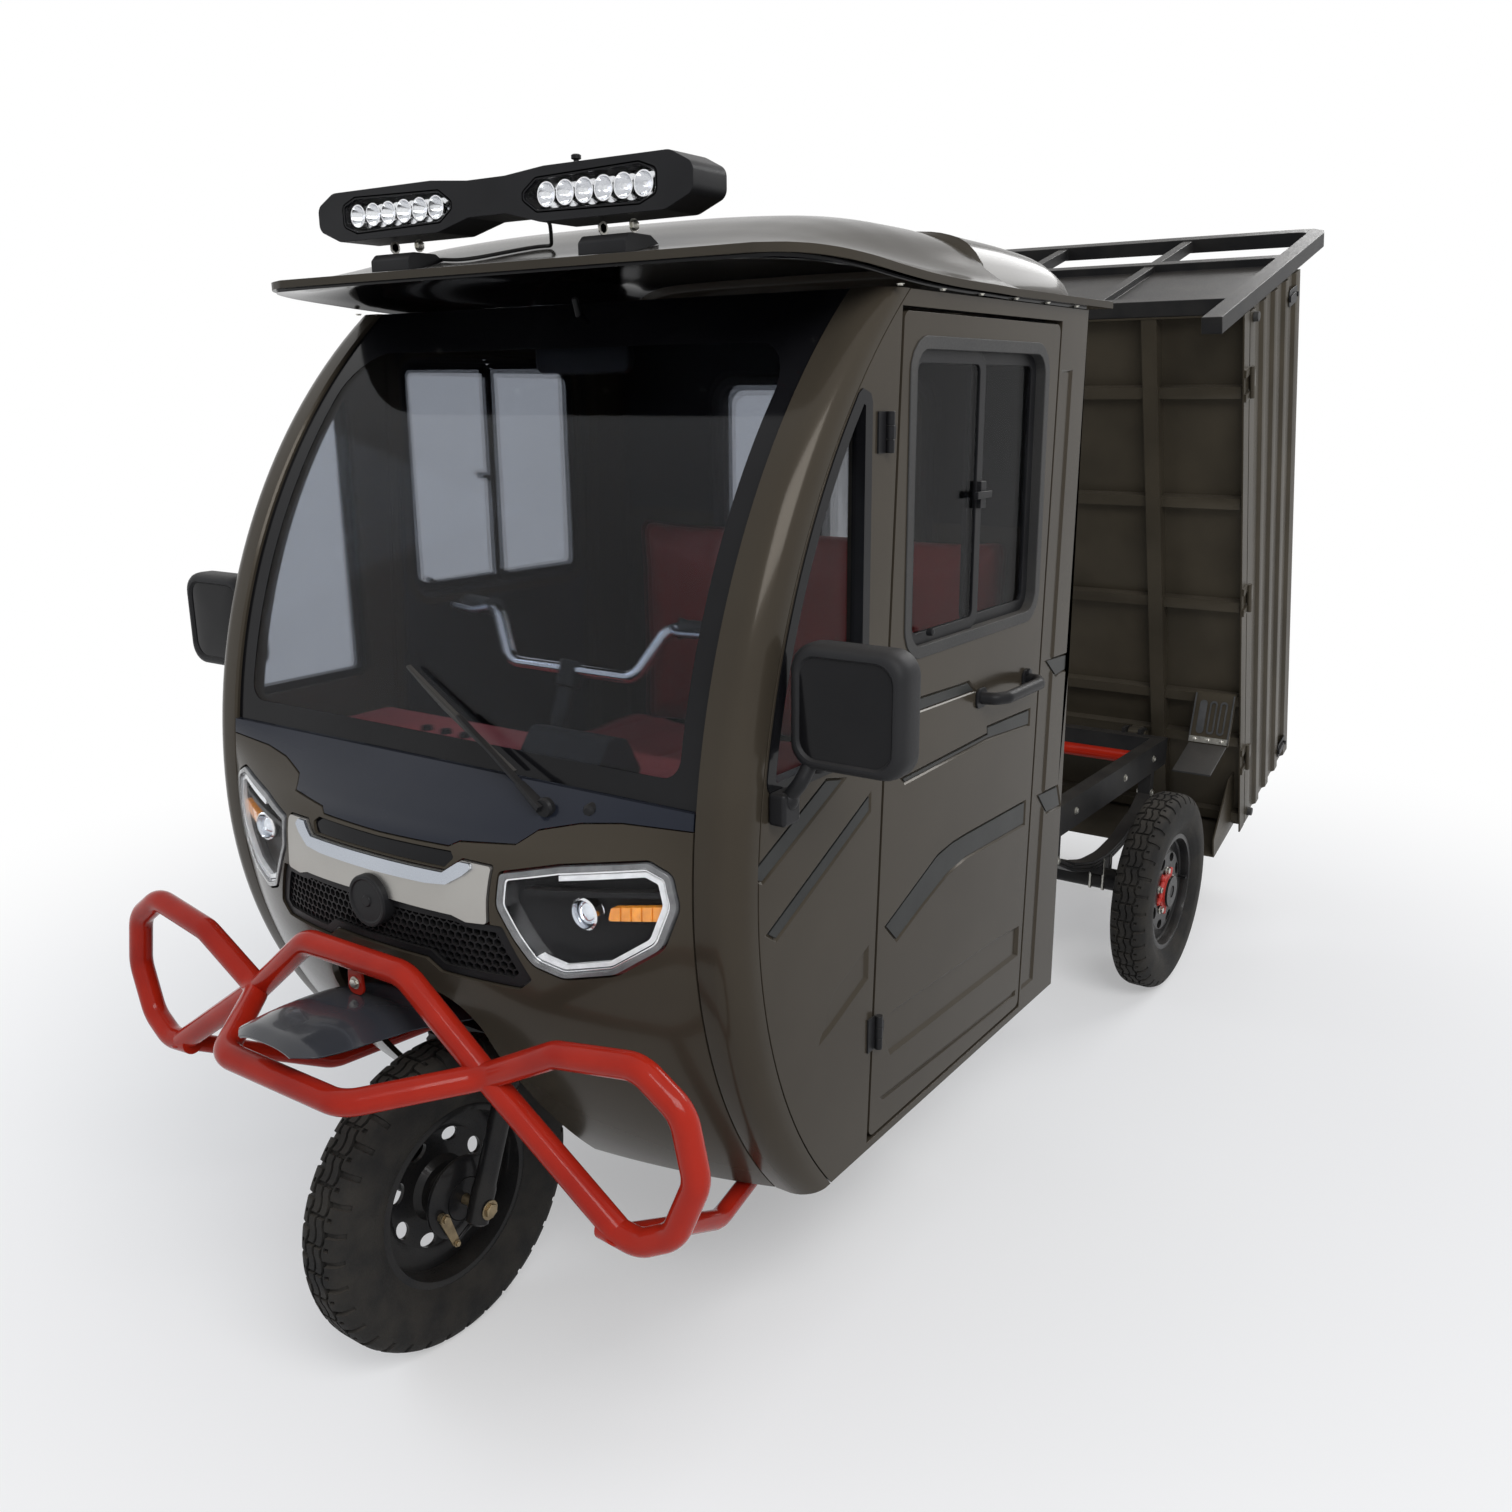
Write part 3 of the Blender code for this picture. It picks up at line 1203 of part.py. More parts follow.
def doors():
    """Each door is one leaf with its window cut; its hinges stand off the cab's side."""
    inner = CAB_HALF - DOOR_WALL
    gap = SEAT_GAP
    for label, side in SIDES:
        home = axis_home(f"door_axis_{label}", ((CAB_HALF + HINGE_OUT) * side, back(HINGE_BACK), 0.0))
        leaf = flip_x(prism(door_outline(DOOR_GAP), "X", inner, CAB_HALF), side)
        bodies = [leaf]
        for height in HINGE_HEIGHTS:
            axis_x = CAB_HALF + HINGE_OUT
            knuckle = rod((axis_x, back(HINGE_BACK), height - 0.020),
                          (axis_x, back(HINGE_BACK), height + 0.020), HINGE_RADIUS, 10)
            strap = box((CAB_HALF - 0.001, CAB_HALF + 0.006),
                        (max(door_edge(height), back(HINGE_BACK)), door_edge(height) + 0.045),
                        (height - 0.020, height + 0.020))
            arm = box((CAB_HALF + 0.0015, CAB_HALF + 0.006),
                      (back(HINGE_BACK), door_edge(height) + 0.010),
                      (height - 0.020, height + 0.020))
            bodies += [flip_x(knuckle, side), flip_x(strap, side)]
            if door_edge(height) > back(HINGE_BACK):
                bodies.append(flip_x(arm, side))
            else:
                arm.free()
        opening = window_outline(0.0)
        cutter = flip_x(prism(opening, "X", inner - 0.02, CAB_HALF + 0.02), side)
        leaf_piece = node(f"door_{label}", bodies, paint(), cutters=[cutter])
        middle = CAB_HALF - DOOR_WALL / 2
        pane = flip_x(prism(window_outline(gap), "X", middle, middle + GLASS_THICK), side)
        glass_piece = node(f"door_glass_{label}", [pane], glass())
        x0, x1 = CAB_HALF + gap, CAB_HALF + HANDLE_REACH
        handle_route = [(x0, HANDLE_FRONT, HANDLE_HEIGHT), (x1, HANDLE_FRONT + 0.040, HANDLE_HEIGHT),
                        (x1, HANDLE_REAR - 0.030, HANDLE_HEIGHT), (x0, HANDLE_REAR, HANDLE_HEIGHT)]
        grip = tube(handle_route, 0.012, bend=0.02, sides=8)
        bmesh.ops.bisect_plane(grip, geom=grip.verts[:] + grip.edges[:] + grip.faces[:],
                               plane_co=(x0, 0.0, 0.0), plane_no=(-1.0, 0.0, 0.0), clear_outer=True)
        bmesh.ops.holes_fill(grip, edges=[e for e in grip.edges if e.is_boundary])
        handle_piece = node(f"door_handle_{label}", [flip_x(grip, side)], black_plastic())
        for piece in (leaf_piece, glass_piece, handle_piece):
            keep_place(piece, home)


def door_edge(z):
    """The door's front edge at a height."""
    share = (z - DOOR_BOTTOM) / (DOOR_TOP - DOOR_BOTTOM)
    return DOOR_FRONT_LOW + (DOOR_FRONT_HIGH - DOOR_FRONT_LOW) * share + DOOR_GAP


def window_outline(inset):
    corners = [(WINDOW_FRONT + inset, WINDOW_LOW + inset), (WINDOW_REAR - inset, WINDOW_LOW + inset),
               (WINDOW_REAR - inset, WINDOW_HIGH - inset), (WINDOW_FRONT + inset, WINDOW_HIGH - inset)]
    return rounded(corners, WINDOW_CORNER - inset, 4)


def keep_place(piece, home):
    """Hang a piece on its joint's empty with its mesh moved to match."""
    piece.data.transform(home.matrix_basis.inverted())
    piece.parent = home


def hinge_halves(side):
    """The cab's halves of the door hinges: knuckles above and below the door's own."""
    halves = []
    axis_x = CAB_HALF + HINGE_OUT
    pin_y = back(HINGE_BACK)
    for height in HINGE_HEIGHTS:
        for step in (-1, 1):
            middle = height + step * 0.031
            span = (middle - 0.010, middle + 0.010)
            halves.append(flip_x(rod((axis_x, pin_y, span[0]), (axis_x, pin_y, span[1]),
                                     HINGE_RADIUS, 10), side))
            halves.append(flip_x(box((CAB_HALF - 0.002, CAB_HALF + 0.006),
                                     (pin_y - 0.045, pin_y - 0.024), span), side))
            halves.append(flip_x(box((CAB_HALF + 0.0015, CAB_HALF + 0.006),
                                     (pin_y - 0.026, pin_y), span), side))
    return halves


def mirrors():
    """Housings on short arms from a foot on each quarter panel."""
    for label, side in SIDES:
        foot = box((CAB_HALF + SEAT_GAP, CAB_HALF + 0.030), (back(0.120), back(0.165)), (0.985, 1.035))
        arm = tube([(CAB_HALF + 0.015, back(0.142), 1.020), (MIRROR_X - 0.065, back(0.142), 1.050),
                    (MIRROR_X - 0.055, MIRROR_Y, MIRROR_Z - 0.060)], 0.011, bend=0.02, sides=8)
        outline = rounded_box_outline(MIRROR_Z - 0.088, MIRROR_Z + 0.088,
                                      MIRROR_X - 0.090, MIRROR_X + 0.090, 0.035)
        head = prism(outline, "Y", MIRROR_Y - 0.028, MIRROR_Y + 0.022)
        node(f"mirror_{label}", [flip_x(body, side) for body in (foot, arm, head)], black_plastic())


def wiper():
    """Arm and blade over the windshield, pivoted on the hood."""
    pivot = Vector((0.266, nose_y(0.266, 0.985) - 0.012, 0.985))
    bodies = [rod((pivot.x, nose_y(pivot.x, 0.985) + 0.002, 0.985), tuple(pivot), 0.016, 12)]
    clip_x, clip_z = 0.060, 1.090
    tip = (clip_x, front_y(clip_z) - 0.012, clip_z)
    bodies.append(rod(tuple(pivot), tip, 0.006, 8))
    blade = []
    for x, z in ((-0.070, 1.150), (0.180, 1.020)):
        blade.append((x, front_y(z) - 0.008, z))
    bodies.append(rod(blade[0], blade[1], 0.006, 8))
    piece = node("wiper", bodies, black_plastic())
    clear_of(piece, nose_slab(SEAT_GAP, 0.03, CAB_HALF - PILLAR_WIDTH - SEAT_GAP))


# Tipping bed, modelled level in its own frame and then tipped with its empty

def bed_box(x_span, u_span, w_span):
    return box(x_span, (-u_span[1], -u_span[0]), w_span)


def bed_boxes(x_span, u_span, w_span):
    return mirrored_boxes(x_span, (-u_span[1], -u_span[0]), w_span)


RIB_PLACES = (-0.260, 0.0, 0.135, 0.430, 0.730, 1.030)
HINGE_PIN_X = BED_HALF + 0.008
HINGE_PIN_W = BED_FLOOR_W - 0.002
KNUCKLE_RADIUS = 0.0065
BOARD_KNUCKLE_HALF = 0.0207
BOARD_HINGES = (-0.060, 0.450, 1.050)
REAR_HINGES = (-0.380, 0.380)


def bed_floor(home):
    """Floor sheet on two beams and cross ribs, with pivot knuckles, ram ears and skirt."""
    top = BED_FLOOR_W
    sheet_low = top - FLOOR_SHEET
    ahead, behind = BED_AHEAD, -BED_BEHIND
    beam = (BEAM_X - BEAM_WIDTH / 2, BEAM_X + BEAM_WIDTH / 2)
    bodies = [bed_box((-BED_HALF, BED_HALF), (behind, ahead), (sheet_low, top))]
    bodies += bed_boxes(beam, (behind, ahead), (BEAM_LOW_W, sheet_low + 0.001))
    for place in RIB_PLACES:
        bodies.append(bed_box((-BED_HALF + 0.01, BED_HALF - 0.01),
                              (place - RIB_WIDTH / 2, place + RIB_WIDTH / 2),
                              (RIB_LOW_W, sheet_low + 0.001)))
    lip = 0.004
    bodies += bed_boxes((BED_HALF - lip, BED_HALF), (behind, ahead), (0.016, top - 0.001))
    bodies.append(bed_box((-BED_HALF, BED_HALF), (ahead - lip, ahead), (0.016, top - 0.001)))
    bodies.append(bed_box((-SKIRT_HALF, SKIRT_HALF), (behind, behind + SKIRT_SHEET),
                          (top - SKIRT_DROP, top - 0.001)))
    cheek = [(-behind, top - SKIRT_DROP), (-behind, top - 0.001), (-behind - 0.180, top - 0.001),
             (-behind - 0.180, 0.010), (-behind - 0.060, top - SKIRT_DROP)]
    bodies.append(prism(cheek, "X", SKIRT_HALF - SKIRT_SHEET, SKIRT_HALF))
    bodies.append(prism(cheek, "X", -SKIRT_HALF, -SKIRT_HALF + SKIRT_SHEET))
    # pivot knuckle between each pair of chassis lugs, with its strap and pin
    low, high = 0.2745, 0.3095
    for side in (1, -1):
        span = (low, high) if side > 0 else (-high, -low)
        bodies.append(rod((low * side, 0.0, 0.0), (high * side, 0.0, 0.0), 0.022, 14))
        bodies.append(rod((0.258 * side, 0.0, 0.0), (0.326 * side, 0.0, 0.0), PIVOT_PIN_RADIUS, 14))
        bodies.append(bed_box(span, (-0.014, 0.014), (0.0, RIB_LOW_W + 0.004)))
    # ears for the rod's eye, long enough for its travel along the bed
    pin = RAM_PIN_U
    bodies += bed_boxes((0.024, 0.032), (pin - 0.035, pin + 0.035), (-0.024, RIB_LOW_W + 0.002))
    bodies.append(bed_box((-0.060, 0.060), (pin - 0.040, pin + 0.040),
                          (RIB_LOW_W + 0.001, sheet_low + 0.001)))
    for step in (-0.031, 0.031):
        for place in BOARD_HINGES:
            bodies += [hinge_knuckle(place + step, 0.010, side, False) for _, side in SIDES]
        bodies += [rear_knuckle(x + step, 0.010, False) for x in REAR_HINGES]
    bodies += [mudguard(side) for _, side in SIDES]
    channel = bed_box((-EYE_CHANNEL_HALF, EYE_CHANNEL_HALF), EYE_CHANNEL_U, (-0.05, EYE_CHANNEL_TOP))
    node("bed_floor", bodies, bed_paint(), cutters=[channel], home=home)


def knuckle_section(face, pin, on_board):
    """A hinge leaf's section, as (across, w), against the face it is fixed to."""
    near, far = pin - KNUCKLE_RADIUS, pin - 0.003
    if not on_board:
        return [(face - 0.002, 0.018), (far, 0.018), (far, HINGE_PIN_W), (face - 0.002, HINGE_PIN_W)]
    foot = BED_FLOOR_W + BOARD_GAP + 0.002
    return [(near, HINGE_PIN_W), (far, HINGE_PIN_W), (far, HINGE_PIN_W + 0.045),
            (face - 0.002, HINGE_PIN_W + 0.045), (face - 0.002, foot), (near, foot)]


def hinge_knuckle(place, half, side, on_board):
    """A knuckle on a side board's pin line with its leaf on the board or on the bed's lip."""
    knuckle = rod((HINGE_PIN_X, -place - half, HINGE_PIN_W), (HINGE_PIN_X, -place + half, HINGE_PIN_W),
                  KNUCKLE_RADIUS, 8)
    section = [(w, x) for x, w in knuckle_section(BED_HALF, HINGE_PIN_X, on_board)]
    return flip_x(united([knuckle, prism(section, "Y", -place - half, -place + half)]), side)


def rear_knuckle(x, half, on_board):
    """The same at the tail, where the pin line runs across the bed."""
    pin_y = BED_BEHIND + 0.008
    knuckle = rod((x - half, pin_y, HINGE_PIN_W), (x + half, pin_y, HINGE_PIN_W), KNUCKLE_RADIUS, 8)
    section = knuckle_section(BED_BEHIND, pin_y, on_board)
    return united([knuckle, prism(section, "X", x - half, x + half)])


def board_section(outer):
    """A drop board's section, as (across, w): flat inside, pressed outside in four bands."""
    low = BED_FLOOR_W + BOARD_GAP
    high = low + BOARD_HEIGHT
    inner = outer - BOARD_THICK
    press = 0.008
    points = [(inner, low), (outer, low)]
    bands = 4
    pitch = (BOARD_HEIGHT - 0.060) / bands
    for i in range(bands):
        start = low + 0.045 + i * pitch
        points += [(outer, start), (outer - press, start + 0.010),
                   (outer - press, start + pitch - 0.040), (outer, start + pitch - 0.030)]
    points += [(outer, high), (inner, high)]
    return points


def side_boards(home):
    for label, side in SIDES:
        pin = axis_home(f"board_axis_{label}", (HINGE_PIN_X * side, 0.0, HINGE_PIN_W))
        pin.parent = home
        section = [(w, x) for x, w in board_section(BED_HALF)]
        board = prism(section, "Y", -(BED_AHEAD - 0.006), BED_BEHIND - 0.002)
        bodies = [flip_x(board, side)]
        for place in BOARD_HINGES:
            bodies.append(hinge_knuckle(place, BOARD_KNUCKLE_HALF, side, True))
        piece = node(f"side_board_{label}", bodies, bed_paint())
        keep_place(piece, pin)


def tailgate(home):
    pin = axis_home("tailgate_axis", (0.0, BED_BEHIND + 0.008, HINGE_PIN_W))
    pin.parent = home
    half = BED_HALF - BOARD_THICK - BOARD_GAP
    board = prism(board_section(BED_BEHIND), "X", -half, half)
    bodies = [board]
    for x in REAR_HINGES:
        bodies.append(rear_knuckle(x, BOARD_KNUCKLE_HALF, True))
    piece = node("tailgate", bodies, bed_paint())
    keep_place(piece, pin)


def headboard(home):
    """Guard frame of black square tube ahead of the bed, with a plate in its lower half."""
    u = BED_AHEAD + SEAT_GAP + GUARD_DEPTH / 2
    x = BED_HALF - GUARD_WIDTH / 2
    y = -u
    hoop = [(-x, y, GUARD_LOW_W), (-x, y, GUARD_HIGH_W), (x, y, GUARD_HIGH_W), (x, y, GUARD_LOW_W)]
    bodies = [square_tube(hoop, GUARD_WIDTH, GUARD_DEPTH, bend=0.05, steps=3)]
    wide = (-x, x)
    deep = (y - GUARD_DEPTH / 2, y + GUARD_DEPTH / 2)
    for w in (0.040, 0.500):
        bodies.append(box(wide, deep, (w - 0.020, w + 0.020)))
    for post in (-0.200, 0.200):
        bodies.append(box((post - 0.015, post + 0.015), (deep[0] + 0.004, deep[1] - 0.004),
                          (0.030, GUARD_HIGH_W)))
    bodies.append(box(wide, (y + 0.002, y + 0.006), (0.030, 0.500)))
    node("headboard", bodies, black_steel(), home=home)


GUARD_EDGE_U = 0.030
GUARD_EDGE_W = -0.055
GUARD_SHEET = 0.004


def mudguard(side):
    """A steel plate that slopes down from the bed's lip behind the wheel."""
    # along the bed, w of the plate's upper face
    top_u, top_w = 0.150, RIB_LOW_W
    outline = [(-top_u, top_w), (-GUARD_EDGE_U, GUARD_EDGE_W),
               (-GUARD_EDGE_U - 0.002, GUARD_EDGE_W - GUARD_SHEET),
               (-top_u - 0.008, top_w - GUARD_SHEET), (-top_u - 0.008, top_w + 0.004),
               (-top_u, top_w + 0.004)]
    return flip_x(prism(outline, "X", 0.470, 0.585), side)


def mud_flaps(home):
    """Rubber flaps that hang from the mudguards' lower edges."""
    low = GUARD_EDGE_W - GUARD_SHEET - SEAT_GAP
    y = -GUARD_EDGE_U
    flap = [(y - 0.004, low), (y + 0.002, low), (y + 0.012, low - 0.150), (y + 0.006, low - 0.150)]
    for label, side in SIDES:
        node(f"mud_flap_{label}", [flip_x(prism(flap, "X", 0.474, 0.581), side)], rubber(), home=home)


def tail_lamps(home):
    for label, side in SIDES:
        lamp = bed_box((0.390, 0.520), (-BED_BEHIND - 0.022, -BED_BEHIND - SEAT_GAP), (-0.115, -0.050))
        node(f"tail_lamp_{label}", [flip_x(lamp, side)], red_paint(), home=home)


# Tipping cylinder, drawn out to meet its pin under the raised bed

def ram():
    pin_y = PIVOT_Y - RAM_PIN_U * math.cos(TIP_ANGLE)
    pin_z = PIVOT_Z + RAM_PIN_U * math.sin(TIP_ANGLE)
    run_y, run_z = pin_y - RAM_BASE_Y, pin_z - RAM_BASE_Z
    length = math.hypot(run_y, run_z)
    shut_y, shut_z = PIVOT_Y - RAM_PIN_U - RAM_BASE_Y, PIVOT_Z - RAM_BASE_Z
    closed = math.hypot(shut_y, shut_z)
    stroke = length - closed
    home = axis_home("ram_axis", (0.0, RAM_BASE_Y, RAM_BASE_Z), math.atan2(run_z, run_y))
    origin = (0.0, 0.0, 0.0)
    base = 0.046
    bore = BARREL_LENGTH
    barrel = turned([(base, 0.0), (base, BARREL_RADIUS), (bore, BARREL_RADIUS),
                     (bore, STAGE_RADIUS + PIN_GAP), (base + 0.012, STAGE_RADIUS + PIN_GAP),
                     (base + 0.012, 0.0)], origin, "Y", 20)
    eye = turned([(-0.020, 0.010), (-0.020, 0.026), (0.020, 0.026), (0.020, 0.010)], origin, "X", 18)
    neck = box((-0.020, 0.020), (0.0, base + 0.004), (-0.020, 0.020))
    hole = rod((-0.03, 0.0, 0.0), (0.03, 0.0, 0.0), RAM_PIN_RADIUS + PIN_GAP, 16)
    node("lift_barrel", [barrel, eye, neck], black_steel(), cutters=[hole], home=home)
    start = stroke / 2 + base + 0.020
    end = stroke / 2 + BARREL_LENGTH + 0.012
    stage = turned([(start, 0.0), (start, STAGE_RADIUS), (end, STAGE_RADIUS),
                    (end, ROD_RADIUS + PIN_GAP), (start + 0.010, ROD_RADIUS + PIN_GAP),
                    (start + 0.010, 0.0)], origin, "Y", 18)
    node("lift_stage", [stage], chrome(), home=home)
    rod_start = stroke + base + 0.034
    shaft = turned([(rod_start, 0.0), (rod_start, ROD_RADIUS), (length - 0.012, ROD_RADIUS),
                    (length - 0.012, 0.0)], origin, "Y", 16)
    rod_eye = turned([(-0.018, 0.0), (-0.018, 0.022), (0.018, 0.022), (0.018, 0.0)],
                     (0.0, length, 0.0), "X", 16)
    node("lift_rod", [shaft, rod_eye], chrome(), home=home)


def build():
    chassis_frame()
    cross_tube()
    battery_box()
    rear_axle()
    bumper()
    front_fender()
    fork()
    handlebar()
    front_wheel()
    rear_wheels()
    side_panels()
    quarter_glass()
    rear_wall()
    nose_panel()
    face()
    windshield()
    roof()
    light_bar()
    floor_pan()
    seat()
    dashboard()
    doors()
    mirrors()
    wiper()
    bed_home = axis_home("bed_axis", (0.0, PIVOT_Y, PIVOT_Z), -TIP_ANGLE)
    bed_floor(bed_home)
    side_boards(bed_home)
    tailgate(bed_home)
    headboard(bed_home)
    mud_flaps(bed_home)
    tail_lamps(bed_home)
    ram()


build()
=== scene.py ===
# %% [markdown]
# # An electric cargo tricycle
# This lesson dresses a three-wheeled delivery vehicle: a closed cab in front, and behind it a
# load bed that stands tipped up on its lift cylinder. The solids, joints and sizes come from a
# measured frame that is loaded first. What is left to do is what the eye sees: round tubes, glass,
# tread, lamps, seams and finishes. Each piece is built on the frame's sizes and then rides on one
# of its bodies, so that it moves when a door opens or the bed comes down.

# %% Load the frame
import json
import math
import bmesh
import bpy
from mathutils import Matrix, Vector
from mathutils.bvhtree import BVHTree

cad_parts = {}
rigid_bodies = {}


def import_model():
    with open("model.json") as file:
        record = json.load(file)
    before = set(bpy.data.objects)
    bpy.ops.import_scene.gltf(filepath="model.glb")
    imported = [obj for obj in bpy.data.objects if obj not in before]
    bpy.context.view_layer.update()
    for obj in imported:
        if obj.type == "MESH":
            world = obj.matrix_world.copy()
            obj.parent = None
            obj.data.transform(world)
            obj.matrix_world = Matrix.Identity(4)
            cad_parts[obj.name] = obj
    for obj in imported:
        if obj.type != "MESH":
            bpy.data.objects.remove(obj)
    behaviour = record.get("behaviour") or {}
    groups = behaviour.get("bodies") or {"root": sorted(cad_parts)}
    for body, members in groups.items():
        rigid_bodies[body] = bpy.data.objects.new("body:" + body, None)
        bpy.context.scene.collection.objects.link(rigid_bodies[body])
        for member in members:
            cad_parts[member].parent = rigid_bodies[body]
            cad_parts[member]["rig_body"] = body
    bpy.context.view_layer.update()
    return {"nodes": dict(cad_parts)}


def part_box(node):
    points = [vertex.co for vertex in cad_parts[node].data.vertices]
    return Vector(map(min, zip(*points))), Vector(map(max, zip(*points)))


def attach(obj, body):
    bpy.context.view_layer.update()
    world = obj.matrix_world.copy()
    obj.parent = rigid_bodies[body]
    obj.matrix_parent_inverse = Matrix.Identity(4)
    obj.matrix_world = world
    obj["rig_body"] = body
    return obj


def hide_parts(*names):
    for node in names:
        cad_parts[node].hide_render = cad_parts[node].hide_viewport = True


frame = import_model()

# %% [markdown]
# ## Sizes
# The frame measures in metres, with the front towards -Y and the vehicle's left side towards +X.
# Places along the vehicle are counted back from the front axle, as a workshop would do it.

# %% Name the main sizes
FRONT_AXLE_Y = -1.4232
SIDES = (("left", 1), ("right", -1))
WHEEL_HEIGHT = 0.265
REAR_WHEEL_X = 0.545


def back(distance):
    return FRONT_AXLE_Y + distance


REAR_AXLE_Y = back(2.068)
CAB_HALF, CAB_WALL = 0.585, 0.035
CAB_LOW, CAB_TOP, CAB_REAR = 0.325, 1.715, back(1.218)
PILLAR_WIDTH, PILLAR_DEPTH = 0.070, 0.060
GLASS_HALF = CAB_HALF - PILLAR_WIDTH
NOSE_TOP = 1.010


def front_y(z):
    """The cab's front line in side view: one arc above the belt and a tighter one below."""
    radius = 1.082 if z > 0.87 else 0.829
    return back(0.038) + radius - math.sqrt(radius * radius - (z - 0.87) ** 2)


print("wheelbase", round(REAR_AXLE_Y - FRONT_AXLE_Y, 3), "windshield foot at", round(front_y(NOSE_TOP), 3))

# %% [markdown]
# ## Shapes
# Nearly every part of such a vehicle is a bent tube, a folded sheet, a turned part or a flat
# outline with a thickness. So a few small makers of exactly those shapes come first. Each gives
# back an open bmesh, which can still be cut, joined or mirrored before it becomes an object.

# %% Outlines
def circle(a, b, radius, count):
    return [
        (a + radius * math.cos(2 * math.pi * i / count), b + radius * math.sin(2 * math.pi * i / count))
        for i in range(count)]


def rounded(corners, radii, steps=5):
    """A polygon with rounded corners; radii is one number or one for each corner."""
    count = len(corners)
    radii = radii if hasattr(radii, "__len__") else [radii] * count
    points = []
    for i in range(count):
        here = Vector(corners[i])
        before = (Vector(corners[i - 1]) - here).normalized()
        after = (Vector(corners[(i + 1) % count]) - here).normalized()
        half = before.angle(after) / 2.0
        if radii[i] <= 0.0 or half > math.radians(88.5):
            points.append(tuple(here))
            continue
        middle = here + (before + after).normalized() * (radii[i] / math.sin(half))
        reach = radii[i] / math.tan(half)
        start, end = here + before * reach - middle, here + after * reach - middle
        for k in range(steps + 1):
            points.append(tuple(middle + start.lerp(end, k / steps).normalized() * radii[i]))
    return points


def rectangle(low_a, high_a, low_b, high_b, radius=0.0, steps=5):
    return rounded([(low_a, low_b), (high_a, low_b), (high_a, high_b), (low_a, high_b)], radius, steps)


def grown(outline, gap):
    """The outline moved outward by a gap, or inward where the gap is negative."""
    count = len(outline)
    area = sum(outline[i - 1][0] * outline[i][1] - outline[i][0] * outline[i - 1][1] for i in range(count))
    turn = 1.0 if area > 0.0 else -1.0
    points = []
    for i in range(count):
        here = Vector(outline[i])
        before = (here - Vector(outline[i - 1])).normalized()
        after = (Vector(outline[(i + 1) % count]) - here).normalized()
        out_a = Vector((before.y, -before.x)) * turn
        out_b = Vector((after.y, -after.x)) * turn
        way = (out_a + out_b).normalized()
        points.append(tuple(here + way * (gap / max(0.35, way.dot(out_a)))))
    return points


# %% Solids from outlines
AXES = {"X": (1, 2, 0), "Y": (2, 0, 1), "Z": (0, 1, 2)}


def loop_at(bm, outline, axis, level):
    """An outline's vertices at one level. On X an outline is (y, z), on Y (z, x)."""
    first, second, along = AXES[axis]
    loop = []
    for a, b in outline:
        point = [0.0, 0.0, 0.0]
        point[first], point[second], point[along] = a, b, level
        loop.append(bm.verts.new(point))
    return loop


def skin(bm, loops, closed=False):
    """Faces between each loop of vertices and the next; closed joins the last to the first."""
    for i in range(len(loops) if closed else len(loops) - 1):
        here, there = loops[i], loops[(i + 1) % len(loops)]
        for k in range(len(here)):
            m = (k + 1) % len(here)
            bm.faces.new((here[k], here[m], there[m], there[k]))


def between(first_loop, last_loop, axis, low, high):
    """A closed body between two outlines of as many points."""
    bm = bmesh.new()
    loops = [loop_at(bm, first_loop, axis, low), loop_at(bm, last_loop, axis, high)]
    bm.faces.new(loops[0])
    bm.faces.new(loops[1])
    skin(bm, loops)
    return bm


def prism(outline, axis, low, high):
    return between(outline, outline, axis, low, high)


def box(x_span, y_span, z_span):
    (x0, x1), (y0, y1) = x_span, y_span
    return prism([(x0, y0), (x1, y0), (x1, y1), (x0, y1)], "Z", *z_span)


def loft(rings):
    """A closed skin through rings of as many points each."""
    bm = bmesh.new()
    loops = [[bm.verts.new(p) for p in ring] for ring in rings]
    skin(bm, loops)
    bm.faces.new(loops[0])
    bm.faces.new(loops[-1])
    return bm


def turned(profile, centre, axis, steps, closed=True):
    """A profile of (along, radius) pairs turned about an axis."""
    first, second, along = AXES[axis]
    bm = bmesh.new()
    rings = []
    for distance, radius in profile:
        ring = []
        for i in range(steps if radius > 1e-6 else 1):
            turn = 2.0 * math.pi * i / steps
            point = [0.0, 0.0, 0.0]
            point[first] = centre[first] + radius * math.cos(turn)
            point[second] = centre[second] + radius * math.sin(turn)
            point[along] = centre[along] + distance
            ring.append(bm.verts.new(point))
        rings.append(ring)
    pairs = zip(rings, rings[1:] + rings[:1]) if closed else zip(rings, rings[1:])
    for a, b in pairs:
        for i in range(steps):
            k = (i + 1) % steps
            if len(a) == 1 and len(b) > 1:
                bm.faces.new((a[0], b[k], b[i]))
            elif len(b) == 1 and len(a) > 1:
                bm.faces.new((a[i], a[k], b[0]))
            elif len(a) > 1:
                bm.faces.new((a[i], a[k], b[k], b[i]))
    return bm


# %% Bent tubes and bars
def bent(points, bend, steps=6, closed=False):
    """The route through the points with each corner turned on an arc of the bend radius."""
    route = []
    count = len(points)
    for i in range(count):
        here = Vector(points[i])
        if not closed and i in (0, count - 1):
            route.append(here)
            continue
        before = Vector(points[i - 1]) - here
        after = Vector(points[(i + 1) % count]) - here
        angle = before.angle(after)
        if angle > math.radians(177.0) or bend <= 0.0:
            route.append(here)
            continue
        reach = min(bend / math.tan(angle / 2.0), before.length * 0.48, after.length * 0.48)
        radius = reach * math.tan(angle / 2.0)
        inward = (before.normalized() + after.normalized()).normalized()
        middle = here + inward * (radius / math.sin(angle / 2.0))
        start = here + before.normalized() * reach - middle
        end = here + after.normalized() * reach - middle
        for k in range(steps + 1):
            route.append(middle + start.lerp(end, k / steps).normalized() * radius)
    return route


